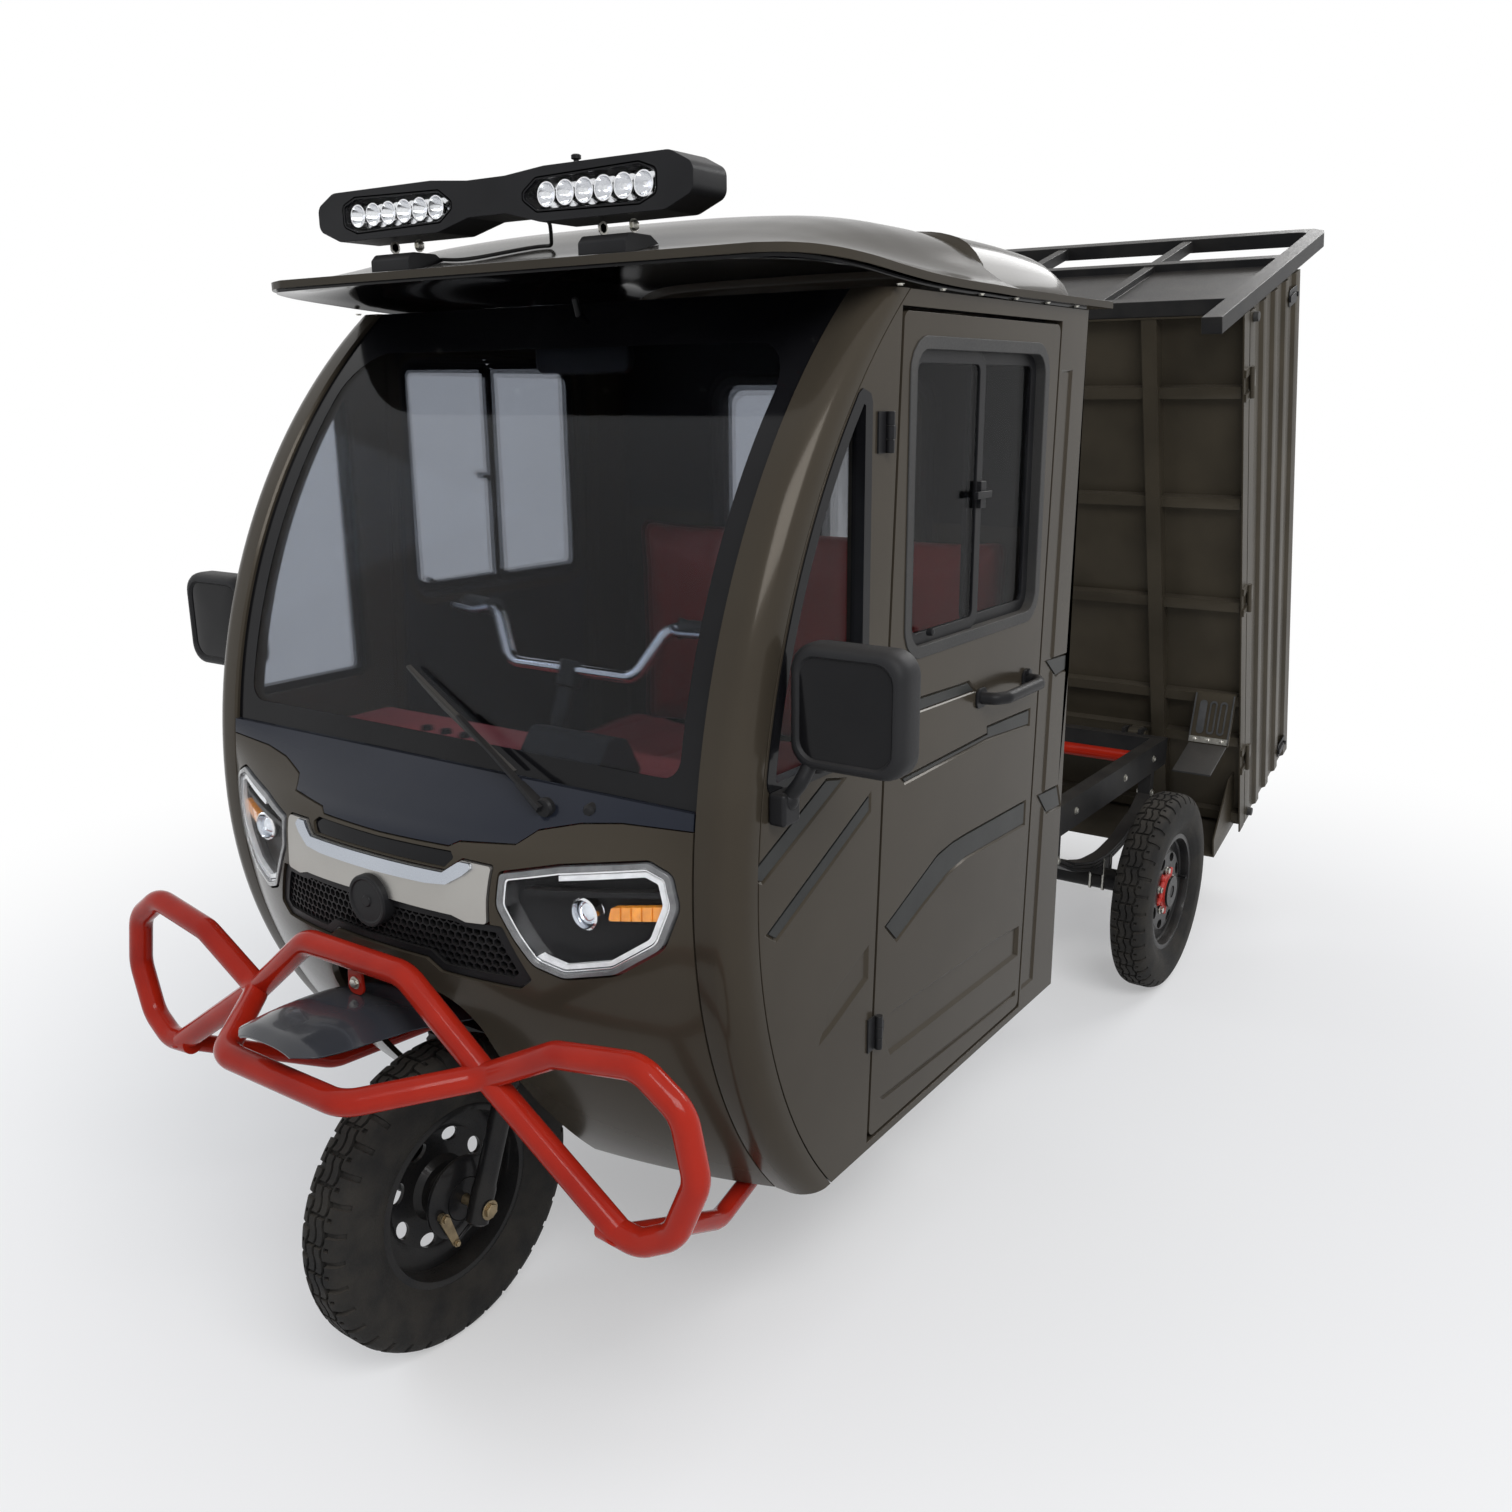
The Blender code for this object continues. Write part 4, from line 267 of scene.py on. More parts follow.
def sweep(route, section, closed=False, scale=None):
    """A section carried along a route without twist; scale may thin it along the way."""
    bm = bmesh.new()
    count = len(route)
    ways = []
    for i in range(count):
        if closed:
            step = route[(i + 1) % count] - route[i - 1]
        elif i == 0:
            step = route[1] - route[0]
        elif i == count - 1:
            step = route[-1] - route[-2]
        else:
            step = (route[i + 1] - route[i]).normalized() + (route[i] - route[i - 1]).normalized()
        ways.append(step.normalized())
    helper = Vector((0.0, 0.0, 1.0)) if abs(ways[0].x) > 0.8 else Vector((1.0, 0.0, 0.0))
    side = (helper - ways[0] * helper.dot(ways[0])).normalized()
    rings = []
    for i in range(count):
        side = (side - ways[i] * side.dot(ways[i])).normalized()
        up = ways[i].cross(side)
        size = scale[i] if scale else 1.0
        rings.append([bm.verts.new(route[i] + (side * a + up * b) * size) for a, b in section])
    skin(bm, rings, closed)
    if not closed:
        bm.faces.new(rings[0])
        bm.faces.new(rings[-1])
    return bm


def tube(points, radius, bend=0.0, sides=20, steps=6, closed=False):
    return sweep(bent([Vector(p) for p in points], bend, steps, closed), circle(0, 0, radius, sides), closed)


def bolt(place, way, radius=0.007, height=0.005):
    """A hexagon head on a washer, standing off a surface along way."""
    way = Vector(way).normalized()
    place = Vector(place)
    washer = sweep([place, place + way * height * 0.25], circle(0, 0, radius * 1.35, 16))
    head = sweep(
        [place, place + way * height * 0.9, place + way * height], circle(0, 0, radius, 6),
        scale=[1.0, 1.0, 0.86])
    return joined([washer, head])


def joined(parts):
    """Several bmeshes as one; each keeps its own skin."""
    whole = bmesh.new()
    for part in parts:
        carrier = bpy.data.meshes.new("part")
        part.to_mesh(carrier)
        part.free()
        whole.from_mesh(carrier)
        bpy.data.meshes.remove(carrier)
    return whole


def across(bm, side):
    """The body itself on the left, or its mirror image on the right."""
    if side < 0:
        bmesh.ops.scale(bm, vec=(-1.0, 1.0, 1.0), verts=bm.verts)
    return bm


# %% [markdown]
# ## From a mesh to a piece
# A real edge is never perfectly sharp: paint, a press tool or a file rounds it, and that small
# radius is what catches the light. A bevel modifier does it on the finished mesh, so the code that
# builds the shape stays short. Each piece then rides on its body, wears one of the model's finishes
# and hides the plain solid it stands for.

# %% Make a piece
CAB = "cab_and_frame"
SOFT_EDGE_FROM = math.radians(30.0)
piece_count = {"pieces": 0}


def as_object(name, bm):
    """The bmesh as an object in the scene, its faces turned outward."""
    bmesh.ops.recalc_face_normals(bm, faces=bm.faces)
    mesh = bpy.data.meshes.new(name)
    bm.to_mesh(mesh)
    bm.free()
    made = bpy.data.objects.new(name, mesh)
    bpy.context.scene.collection.objects.link(made)
    return made


def as_shown(piece):
    """A new mesh with the piece's modifiers applied."""
    return bpy.data.meshes.new_from_object(piece.evaluated_get(bpy.context.evaluated_depsgraph_get()))


def cut(piece, tool, operation="DIFFERENCE"):
    """A Boolean, applied at once."""
    tool = as_object("tool", tool)
    change = piece.modifiers.new("cut", "BOOLEAN")
    change.operation = operation
    change.solver = "EXACT"
    change.object = tool
    bpy.context.view_layer.update()
    mesh = as_shown(piece)
    piece.modifiers.clear()
    old = piece.data
    piece.data = mesh
    bpy.data.meshes.remove(old)
    bpy.data.objects.remove(tool, do_unlink=True)


def add_piece(name, bm, finish, body, stands_for=(), sharp=35.0, soft=0.0, cuts=(), home=None):
    """A shown piece: cut, placed, given its finish, softened at its edges and put on its body."""
    piece = as_object(name, bm)
    for tool in cuts:
        cut(piece, tool)
    if home is not None:
        piece.data.transform(home)
    piece.data.materials.clear()
    piece.data.materials.append(finish)
    piece.data.shade_smooth()
    piece.data.set_sharp_from_angle(angle=math.radians(sharp))
    if soft > 0.0:
        edge = piece.modifiers.new("soft edges", "BEVEL")
        edge.width = soft
        edge.segments = 2
        edge.limit_method = "ANGLE"
        edge.angle_limit = SOFT_EDGE_FROM
        edge.harden_normals = True
    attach(piece, body)
    if stands_for:
        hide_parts(*stands_for)
    piece_count["pieces"] += 1
    return piece


def from_solid(node, finish, soft=0.0015):
    """The frame's own solid again as a piece, its flats made whole so that its edges can be softened."""
    source = frame["nodes"][node]
    bm = bmesh.new()
    bm.from_mesh(source.data)
    bmesh.ops.remove_doubles(bm, verts=bm.verts, dist=0.00005)
    bmesh.ops.dissolve_limit(bm, angle_limit=math.radians(1.0), verts=bm.verts, edges=bm.edges)
    return add_piece(node + "_softened", bm, finish, source["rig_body"], (node,), soft=soft)

# %% [markdown]
# ## The camera
# The photograph was taken from the front left corner at about head height, looking slightly down.
# Its focal length and direction were solved from the wheels, the door and the roof, so the camera
# is placed by numbers rather than by eye.

# %% Place the camera
YAW, PITCH, ROLL = math.radians(34.60), math.radians(15.22), math.radians(-0.36)
FOCAL_PIXELS, FRAME_PIXELS = 1337.0, 1512.0
CAMERA_PLACE = (1.577, -2.766, 1.568)
ahead = Vector((-math.sin(YAW) * math.cos(PITCH), math.cos(YAW) * math.cos(PITCH), -math.sin(PITCH)))
level = Vector((math.cos(YAW), math.sin(YAW), 0.0))
upright = level.cross(ahead)
right_way = level * math.cos(ROLL) + upright * math.sin(ROLL)
up_way = upright * math.cos(ROLL) - level * math.sin(ROLL)
turn = Matrix((right_way, up_way, -ahead)).transposed().to_4x4()
eye = bpy.data.cameras.new("photo_camera")
eye.sensor_width = 36.0
eye.lens = FOCAL_PIXELS / FRAME_PIXELS * eye.sensor_width
eye.clip_end = 200.0
camera = bpy.data.objects.new("photo_camera", eye)
camera.matrix_world = Matrix.Translation(CAMERA_PLACE) @ turn
bpy.context.scene.collection.objects.link(camera)
bpy.context.scene.camera = camera
print("lens", round(eye.lens, 2), "mm")

# %% [markdown]
# ## Floor, sky and lamps
# The object stands on a pale floor in a plain room. The world is white to the camera, to mirrors
# and to glass, and dimmer for the light it gives. The floor near the object is mostly a matt
# surface that takes its shadow; further out it turns into the same white as the background, so that
# no horizon cuts the picture. Three large soft lamps shape the body: one high in front, one from the
# right that mirrors and glass don't show, and a strip behind that draws the roof's edge.

# %% Build the stage
ROOM_STRENGTH = 0.36
FLOOR_RADIUS = 30.0
# distances at which the floor starts to turn white and is white, and its white share near the object
WHITE_FROM, WHITE_AT, WHITE_SHARE = 1.1, 3.4, 0.35
scene = bpy.context.scene
scene.view_settings.view_transform = "Standard"


def backdrop_rays(nodes, links):
    """1 for rays that see the background straight, in a mirror or through glass."""
    path = nodes.new("ShaderNodeLightPath")
    total = path.outputs["Is Camera Ray"]
    for other in ("Is Glossy Ray", "Is Transmission Ray"):
        add = nodes.new("ShaderNodeMath")
        add.operation = "MAXIMUM"
        links.new(total, add.inputs[0])
        links.new(path.outputs[other], add.inputs[1])
        total = add.outputs[0]
    return total


world = bpy.data.worlds.new("studio")
scene.world = world
world.use_nodes = True
sky_nodes, sky_links = world.node_tree.nodes, world.node_tree.links
sky_nodes.clear()
room = sky_nodes.new("ShaderNodeBackground")
room.inputs["Color"].default_value = (0.86, 0.90, 1.0, 1.0)
room.inputs["Strength"].default_value = ROOM_STRENGTH
paper = sky_nodes.new("ShaderNodeBackground")
paper.inputs["Color"].default_value = (1.0, 1.0, 1.0, 1.0)
paper.inputs["Strength"].default_value = 1.0
choose = sky_nodes.new("ShaderNodeMixShader")
sky_links.new(backdrop_rays(sky_nodes, sky_links), choose.inputs["Fac"])
sky_links.new(room.outputs[0], choose.inputs[1])
sky_links.new(paper.outputs[0], choose.inputs[2])
sky_links.new(choose.outputs[0], sky_nodes.new("ShaderNodeOutputWorld").inputs["Surface"])

floor_mesh = bpy.data.meshes.new("studio_floor")
floor_bm = bmesh.new()
bmesh.ops.create_circle(floor_bm, cap_ends=True, radius=FLOOR_RADIUS, segments=96)
floor_bm.to_mesh(floor_mesh)
floor_bm.free()
floor = bpy.data.objects.new("studio_floor", floor_mesh)
scene.collection.objects.link(floor)
ground = bpy.data.materials.new("studio_floor")
ground.use_nodes = True
nodes, links = ground.node_tree.nodes, ground.node_tree.links
nodes.clear()
matt = nodes.new("ShaderNodeBsdfDiffuse")
matt.inputs["Color"].default_value = (0.86, 0.86, 0.86, 1.0)
white = nodes.new("ShaderNodeEmission")
white.inputs["Strength"].default_value = 1.0
where = nodes.new("ShaderNodeTexCoord")
distance = nodes.new("ShaderNodeVectorMath")
distance.operation = "LENGTH"
fade = nodes.new("ShaderNodeMapRange")
fade.interpolation_type = "SMOOTHSTEP"
fade.inputs["From Min"].default_value = WHITE_FROM
fade.inputs["From Max"].default_value = WHITE_AT
fade.inputs["To Min"].default_value = WHITE_SHARE
seen = nodes.new("ShaderNodeMath")
seen.operation = "MULTIPLY"
mix = nodes.new("ShaderNodeMixShader")
links.new(where.outputs["Object"], distance.inputs[0])
links.new(distance.outputs["Value"], fade.inputs["Value"])
links.new(fade.outputs["Result"], seen.inputs[0])
links.new(backdrop_rays(nodes, links), seen.inputs[1])
links.new(seen.outputs[0], mix.inputs["Fac"])
links.new(matt.outputs[0], mix.inputs[1])
links.new(white.outputs[0], mix.inputs[2])
links.new(mix.outputs[0], nodes.new("ShaderNodeOutputMaterial").inputs["Surface"])
floor_mesh.materials.append(ground)


def soft_lamp(name, place, target, width, height, watts, colour=(1.0, 1.0, 1.0), mirrored_too=True):
    light = bpy.data.lights.new(name, "AREA")
    light.shape = "RECTANGLE"
    light.size, light.size_y = width, height
    light.energy = watts
    light.color = colour
    lamp = bpy.data.objects.new(name, light)
    lamp.location = place
    lamp.visible_glossy = mirrored_too
    lamp.rotation_euler = (Vector(target) - Vector(place)).to_track_quat("-Z", "Y").to_euler()
    scene.collection.objects.link(lamp)


soft_lamp("key", (3.4, -3.0, 4.2), (0.0, -0.4, 0.9), 3.2, 2.2, 170.0)
soft_lamp("side", (-4.2, -2.4, 2.8), (0.0, -0.3, 0.9), 2.6, 2.6, 70.0, (0.90, 0.95, 1.0), False)
soft_lamp("rim", (1.4, 4.4, 4.0), (0.0, 0.4, 1.2), 4.0, 1.2, 120.0)
print("stage and lamps ready")

# %% [markdown]
# ## Finishes
# A finish is more than a colour. Paint is slightly uneven and dusty where it faces up, moulded
# plastic has a grain, rubber is dull and worn, metal shows fine scratches. All of it is made from
# noise in the object's own space, so nothing is painted from a picture and a piece keeps its
# marks when it moves. One maker builds the common recipe: two shades mixed by slow noise, dust on
# faces that look up, roughness that wanders, and a fine bump.

# %% The common recipe
def noise(nodes, links, source, scale, detail=2.0, stretch=None):
    texture = nodes.new("ShaderNodeTexNoise")
    texture.inputs["Scale"].default_value = scale
    texture.inputs["Detail"].default_value = detail
    if stretch:
        mapping = nodes.new("ShaderNodeMapping")
        mapping.inputs["Scale"].default_value = stretch
        links.new(source, mapping.inputs["Vector"])
        source = mapping.outputs["Vector"]
    links.new(source, texture.inputs["Vector"])
    return texture.outputs["Fac"]


def span(nodes, links, value, low, high, to_low, to_high):
    """A value's range stretched onto another one, held at its ends."""
    change = nodes.new("ShaderNodeMapRange")
    for socket, number in zip(("From Min", "From Max", "To Min", "To Max"), (low, high, to_low, to_high)):
        change.inputs[socket].default_value = number
    links.new(value, change.inputs["Value"])
    return change.outputs["Result"]


def blend_colour(nodes, links, share, first, second):
    mixer = nodes.new("ShaderNodeMix")
    mixer.data_type = "RGBA"
    links.new(share, mixer.inputs[0])
    for socket, colour in ((mixer.inputs[6], first), (mixer.inputs[7], second)):
        if isinstance(colour, tuple):
            socket.default_value = (*colour, 1.0)
        else:
            links.new(colour, socket)
    return mixer.outputs[2]


DUST = (0.23, 0.20, 0.165)


def finish(
        name, colour, second, rough, metallic=0.0, coat=0.0, patch=6.0, grain=260.0, bump=0.0, swing=0.06,
        dust=0.0, stretch=None, specular=0.5):
    """The common recipe; rough is the middle of the roughness and swing how far it wanders."""
    made = bpy.data.materials.new(name)
    made.use_nodes = True
    nodes, links = made.node_tree.nodes, made.node_tree.links
    shader = nodes["Principled BSDF"]
    place = nodes.new("ShaderNodeTexCoord").outputs["Object"]
    slow = noise(nodes, links, place, patch, 3.0)
    fine = noise(nodes, links, place, grain, 2.0, stretch)
    shade = blend_colour(nodes, links, span(nodes, links, slow, 0.35, 0.65, 0.0, 1.0), colour, second)
    if dust > 0.0:
        facing = nodes.new("ShaderNodeNewGeometry")
        split = nodes.new("ShaderNodeSeparateXYZ")
        links.new(facing.outputs["Normal"], split.inputs[0])
        up = span(nodes, links, split.outputs["Z"], 0.45, 1.0, 0.0, dust)
        speck = nodes.new("ShaderNodeMath")
        speck.operation = "MULTIPLY"
        links.new(up, speck.inputs[0])
        spots = noise(nodes, links, place, 14.0, 5.0)
        links.new(span(nodes, links, spots, 0.3, 0.7, 0.4, 1.0), speck.inputs[1])
        shade = blend_colour(nodes, links, speck.outputs[0], shade, DUST)
    links.new(shade, shader.inputs["Base Color"])
    links.new(span(nodes, links, fine, 0.3, 0.7, rough - swing, rough + swing), shader.inputs["Roughness"])
    shader.inputs["Metallic"].default_value = metallic
    shader.inputs["Coat Weight"].default_value = coat
    shader.inputs["Coat Roughness"].default_value = 0.04
    shader.inputs["Specular IOR Level"].default_value = specular
    if bump > 0.0:
        relief = nodes.new("ShaderNodeBump")
        relief.inputs["Strength"].default_value = 1.0
        relief.inputs["Distance"].default_value = bump
        links.new(fine, relief.inputs["Height"])
        links.new(relief.outputs["Normal"], shader.inputs["Normal"])
    return made


# %% [markdown]
# Metallic car paint is a dark base with fine bright flakes under a clear coat. The flakes are far
# smaller than a pixel, so a fine noise only stirs the roughness, and a thin coat gives the crisp
# highlight. The bed wears a rougher paint of nearly the same colour, and shows more dust. Red
# paint on the bumper is a solid colour under gloss.

# %% Paints
cab_paint = finish(
    "taupe_metallic", (0.045, 0.037, 0.027), (0.055, 0.046, 0.034), 0.19, 0.16, 0.06, patch=2.2,
    grain=900.0, swing=0.04, dust=0.04, specular=0.08)
# The roof wears a darker, less reflective copy of the cab paint: painted shade, so that its top looks as
# dark as one that mirrors a dark sky.
roof_paint_shaded = finish(
    "roof_taupe_painted_shade", (0.040, 0.034, 0.026), (0.050, 0.043, 0.033), 0.17, 0.0, 0.10, patch=2.2, grain=900.0,
    swing=0.03, specular=0.02)
bed_paint = finish(
    "bed_taupe", (0.060, 0.050, 0.035), (0.044, 0.037, 0.026), 0.42, 0.25, 0.03, patch=5.0, grain=420.0,
    swing=0.09, bump=0.00006, dust=0.16, specular=0.15)
# The hood wears the cab's paint turned dark blue-grey: a painted reflection of a dark sky.
hood_paint_with_painted_reflection = finish(
    "hood_slate_painted_sky_reflection", (0.013, 0.016, 0.025), (0.018, 0.021, 0.031), 0.24, 0.30, 0.14, patch=3.0, grain=900.0,
    swing=0.03, dust=0.02, specular=0.12)
red_gloss = finish(
    "bumper_red", (0.31, 0.012, 0.005), (0.38, 0.018, 0.007), 0.18, 0.0, 0.14, patch=9.0, grain=500.0,
    swing=0.05, bump=0.00004, dust=0.02, specular=0.10)
steel_black = finish(
    "chassis_black", (0.016, 0.016, 0.017), (0.026, 0.025, 0.024), 0.46, 0.15, 0.0, patch=10.0, grain=520.0,
    swing=0.10, bump=0.00012, dust=0.12, specular=0.12)
rim_black = finish(
    "rim_black", (0.012, 0.012, 0.013), (0.020, 0.019, 0.018), 0.34, 0.2, 0.10, patch=16.0, grain=480.0,
    swing=0.09, bump=0.00005, dust=0.08, specular=0.12)
strip_black = finish(
    "strip_charcoal", (0.018, 0.019, 0.018), (0.024, 0.025, 0.024), 0.38, 0.1, 0.08, patch=12.0,
    grain=700.0, swing=0.06, bump=0.00005, specular=0.12)

# %% [markdown]
# Plastics and rubber differ in their grain: a lamp bar is satin, a mirror housing has a fine
# leather-like texture, a tyre is dull with a browner, dustier shoulder.

# %% Plastics and rubber
satin_plastic = finish(
    "satin_plastic", (0.010, 0.010, 0.011), (0.016, 0.016, 0.017), 0.40, grain=620.0, bump=0.00010,
    dust=0.06, specular=0.12)
grained_plastic = finish(
    "grained_plastic", (0.018, 0.018, 0.019), (0.022, 0.022, 0.023), 0.50, grain=1100.0, bump=0.00018,
    dust=0.06, specular=0.12)
gloss_black = finish(
    "gloss_black", (0.005, 0.005, 0.006), (0.008, 0.008, 0.009), 0.12, coat=0.06, grain=400.0, swing=0.03,
    specular=0.12)
fender_gloss = finish(
    "fender_slate", (0.020, 0.023, 0.030), (0.027, 0.031, 0.040), 0.20, coat=0.35, grain=500.0, swing=0.04,
    dust=0.08, specular=0.3)
tyre_rubber = finish(
    "tyre_rubber", (0.017, 0.0165, 0.016), (0.030, 0.0275, 0.024), 0.72, patch=18.0, grain=380.0,
    bump=0.00022, swing=0.10, dust=0.16, specular=0.14)
soft_rubber = finish(
    "soft_rubber", (0.016, 0.016, 0.016), (0.024, 0.023, 0.022), 0.66, grain=300.0, bump=0.00012, dust=0.15)
battery_plastic = finish(
    "battery_case", (0.030, 0.030, 0.032), (0.042, 0.042, 0.043), 0.55, grain=700.0, bump=0.00015, dust=0.2)

# %% [markdown]
# Bright metal shows its finish in the roughness alone: chrome is nearly even, the satin trim is
# brushed along its length, so its noise is stretched sideways, and zinc bolts are dull and mottled.

# %% Bright metals
chrome = finish("chrome_plate", (0.78, 0.79, 0.80), (0.84, 0.84, 0.85), 0.09, 1.0, grain=120.0, swing=0.04)
satin_silver = finish(
    "satin_silver", (0.42, 0.45, 0.50), (0.46, 0.49, 0.54), 0.30, 1.0, grain=160.0, swing=0.04,
    stretch=(0.25, 6.0, 6.0))
trim_silver = finish(
    "trim_silver", (0.36, 0.35, 0.33), (0.40, 0.39, 0.37), 0.36, 0.9, grain=160.0, swing=0.04,
    stretch=(0.25, 6.0, 6.0), specular=0.2)
zinc = finish(
    "zinc_plate", (0.42, 0.41, 0.38), (0.56, 0.55, 0.50), 0.36, 1.0, patch=60.0, grain=500.0, swing=0.1,
    bump=0.00005)
zinc_grey = finish(
    "guard_grey", (0.060, 0.062, 0.064), (0.085, 0.086, 0.087), 0.42, 0.5, patch=30.0, grain=400.0,
    swing=0.08)
reflector_silver = finish(
    "lamp_reflector", (0.72, 0.73, 0.75), (0.80, 0.81, 0.83), 0.14, 1.0, grain=200.0, swing=0.05)
warm_brass = finish(
    "yellow_zinc", (0.19, 0.145, 0.085), (0.30, 0.235, 0.14), 0.42, 0.8, patch=50.0, grain=500.0, swing=0.1,
    bump=0.00005)
red_hub = finish(
    "hub_red", (0.42, 0.018, 0.012), (0.52, 0.028, 0.018), 0.40, 0.0, 0.2, patch=40.0, grain=500.0,
    swing=0.1, bump=0.00008, dust=0.2)

# %% [markdown]
# The seat and the dash wear a red leathercloth: cells of a Voronoi pattern make its pebbled grain,
# and a slow noise lets worn areas shine more than the rest.

# %% Leathercloth
def leathercloth(name, colour, second, cell=420.0):
    made = finish(name, colour, second, 0.48, patch=7.0, grain=240.0, swing=0.09)
    nodes, links = made.node_tree.nodes, made.node_tree.links
    shader = nodes["Principled BSDF"]
    place = nodes.new("ShaderNodeTexCoord").outputs["Object"]
    cells = nodes.new("ShaderNodeTexVoronoi")
    cells.inputs["Scale"].default_value = cell
    links.new(place, cells.inputs["Vector"])
    relief = nodes.new("ShaderNodeBump")
    relief.inputs["Strength"].default_value = 0.6
    relief.inputs["Distance"].default_value = 0.0006
    links.new(cells.outputs["Distance"], relief.inputs["Height"])
    links.new(relief.outputs["Normal"], shader.inputs["Normal"])
    shader.inputs["Sheen Weight"].default_value = 0.15
    return made


seat_red = leathercloth("seat_leathercloth", (0.30, 0.022, 0.018), (0.38, 0.032, 0.026))
dash_red = leathercloth("dash_leathercloth", (0.36, 0.034, 0.030), (0.46, 0.048, 0.042), 300.0)

# %% [markdown]
# Window glass is a tinted, mostly transparent sheet with a clear coat that carries reflections.
# Part of it is plain see-through, so daylight still reaches the seat behind it. A headlamp cover
# is clear plastic with the same trick and hardly any tint.

# %% Glass and lenses
def clear_sheet(name, tint, alpha, coat=0.3, bend=1.01):
    made = finish(
        name, tint, tuple(c * 0.94 for c in tint), 0.012, patch=2.0, grain=8.0, swing=0.004, coat=coat)
    shader = made.node_tree.nodes["Principled BSDF"]
    shader.inputs["Transmission Weight"].default_value = 1.0
    shader.inputs["IOR"].default_value = bend
    shader.inputs["Alpha"].default_value = alpha
    return made


window_glass = clear_sheet("tinted_glass", (0.20, 0.21, 0.23), 0.62)
shield_glass = clear_sheet("windshield_glass", (0.22, 0.26, 0.34), 0.55, coat=0.45)
lamp_cover = clear_sheet("lamp_cover", (0.93, 0.94, 0.95), 0.16, coat=0.4)
lamp_edge = finish(
    "lamp_edge", (0.11, 0.112, 0.115), (0.17, 0.172, 0.176), 0.14, coat=0.4, patch=40.0, grain=200.0,
    swing=0.03)
eye_silver = finish(
    "projector_silver", (0.62, 0.66, 0.72), (0.78, 0.82, 0.88), 0.08, 0.9, 0.6, patch=70.0, grain=90.0,
    swing=0.03)
mirror_glass = finish(
    "mirror_glass", (0.70, 0.72, 0.74), (0.74, 0.76, 0.78), 0.03, 1.0, grain=50.0, swing=0.02)


def lens(name, colour, second, glow=0.0):
    made = finish(name, colour, second, 0.14, coat=0.8, patch=60.0, grain=300.0, swing=0.05)
    shader = made.node_tree.nodes["Principled BSDF"]
    if glow > 0.0:
        shader.inputs["Emission Color"].default_value = (*second, 1.0)
        shader.inputs["Emission Strength"].default_value = glow
    return made


amber_lens = lens("amber_lens", (0.60, 0.20, 0.02), (0.80, 0.30, 0.03), 0.15)
red_lens = lens("red_lens", (0.36, 0.012, 0.010), (0.48, 0.020, 0.016), 0.05)
light_guide = lens("light_guide", (0.62, 0.63, 0.64), (0.72, 0.73, 0.74), 0.10)
led_chip = lens("led_chip", (0.80, 0.82, 0.90), (0.88, 0.90, 0.98), 0.5)
print(len(bpy.data.materials), "finishes")

# %% [markdown]
# ## The cab's sides
# Each side of the cab is a pressed skin on a tube frame, with a rounded front pillar that follows
# the windshield. A fine seam runs between pillar and skin. The pillar is lofted through level
# sections, which keeps its highlight smooth all the way down. The skin is a flat outline with a
# thickness; the doorway, the quarter window and the pressed recesses are cut out of it, because a
# cut gives the crisp edges that a press tool gives.

# %% Lines of the side
def front_line(low, high, inset, steps):
    return [
        (front_y(low + (high - low) * i / steps) + inset, low + (high - low) * i / steps)
        for i in range(steps + 1)]


DOOR_LOW, DOOR_HIGH = 0.340, 1.690
DOOR_FRONT, DOOR_REAR = (back(0.418), back(0.483)), (back(1.044), back(1.092))


def door_outline(inset, radius=0.0):
    corners = [
        (DOOR_FRONT[0] + inset, DOOR_LOW + inset), (DOOR_REAR[0] - inset, DOOR_LOW + inset),
        (DOOR_REAR[1] - inset, DOOR_HIGH - inset), (DOOR_FRONT[1] + inset, DOOR_HIGH - inset)]
    return rounded(corners, radius)


def quarter_outline():
    """The quarter window: a tall triangle whose front edge bends with the pillar."""
    low, high, rear = 1.030, 1.553, back(0.388)
    front = front_line(low, high, PILLAR_DEPTH + 0.014, 20)
    return rounded(front + [(rear, 1.600), (rear, low)], [0.018] + [0.0] * 20 + [0.016, 0.022])


def pocket(outline, depth, flare=0.004):
    """A pressed recess in the left side's skin, its walls sloping outward by flare."""
    return between(outline, grown(outline, flare * 1.5), "X", CAB_HALF - depth, CAB_HALF + depth * 0.5)


# y and z of each outline, pressed into the fixed side panel
SIDE_STRIPS = {
    "upper": [(-1.347, 0.921), (-1.313, 0.906), (-1.095, 1.003), (-1.144, 1.013)],
    "lower": [(-1.300, 0.822), (-1.279, 0.808), (-1.014, 0.932), (-1.014, 0.957)],
    "rear_high": [(-0.324, 1.057), (-0.214, 1.053), (-0.210, 1.023), (-0.272, 1.019)],
    "rear_low": [(-0.330, 0.783), (-0.232, 0.778), (-0.210, 0.731), (-0.282, 0.735)],
}
SIDE_LEAF = [(-1.016, 0.694), (-1.113, 0.656), (-1.149, 0.598), (-1.123, 0.606), (-1.016, 0.648)]
REAR_CHANNEL = [(-0.366, 0.380), (-0.316, 0.380), (-0.276, 1.600), (-0.318, 1.600)]
print("quarter window", len(quarter_outline()), "points")

# %% Pillars
FRONT_STEPS = 60
SKIN_DEEP, SEAM_TO_PILLAR = 0.0088, 0.002
POCKET_DEEP = 0.004
STRIP_GAP, STRIP_INNER, STRIP_OUTER = 0.0012, 0.0045, 0.0012
PILLAR_SECTION = [
    (0.0, 0.004), (0.04, 0.0), (0.42, 0.0), (0.55, 0.0018), (0.66, 0.0050), (0.76, 0.0100), (0.85, 0.0165),
    (0.92, 0.0240), (0.97, 0.0330), (1.0, 0.0430), (1.0, 0.0590), (0.0, 0.0590)]


def pillar():
    """The left pillar."""
    rings = []
    for y, z in front_line(CAB_LOW, CAB_TOP, 0.0, FRONT_STEPS):
        rings.append([(GLASS_HALF + PILLAR_WIDTH * a, y + d, z) for a, d in PILLAR_SECTION])
    return loft(rings)


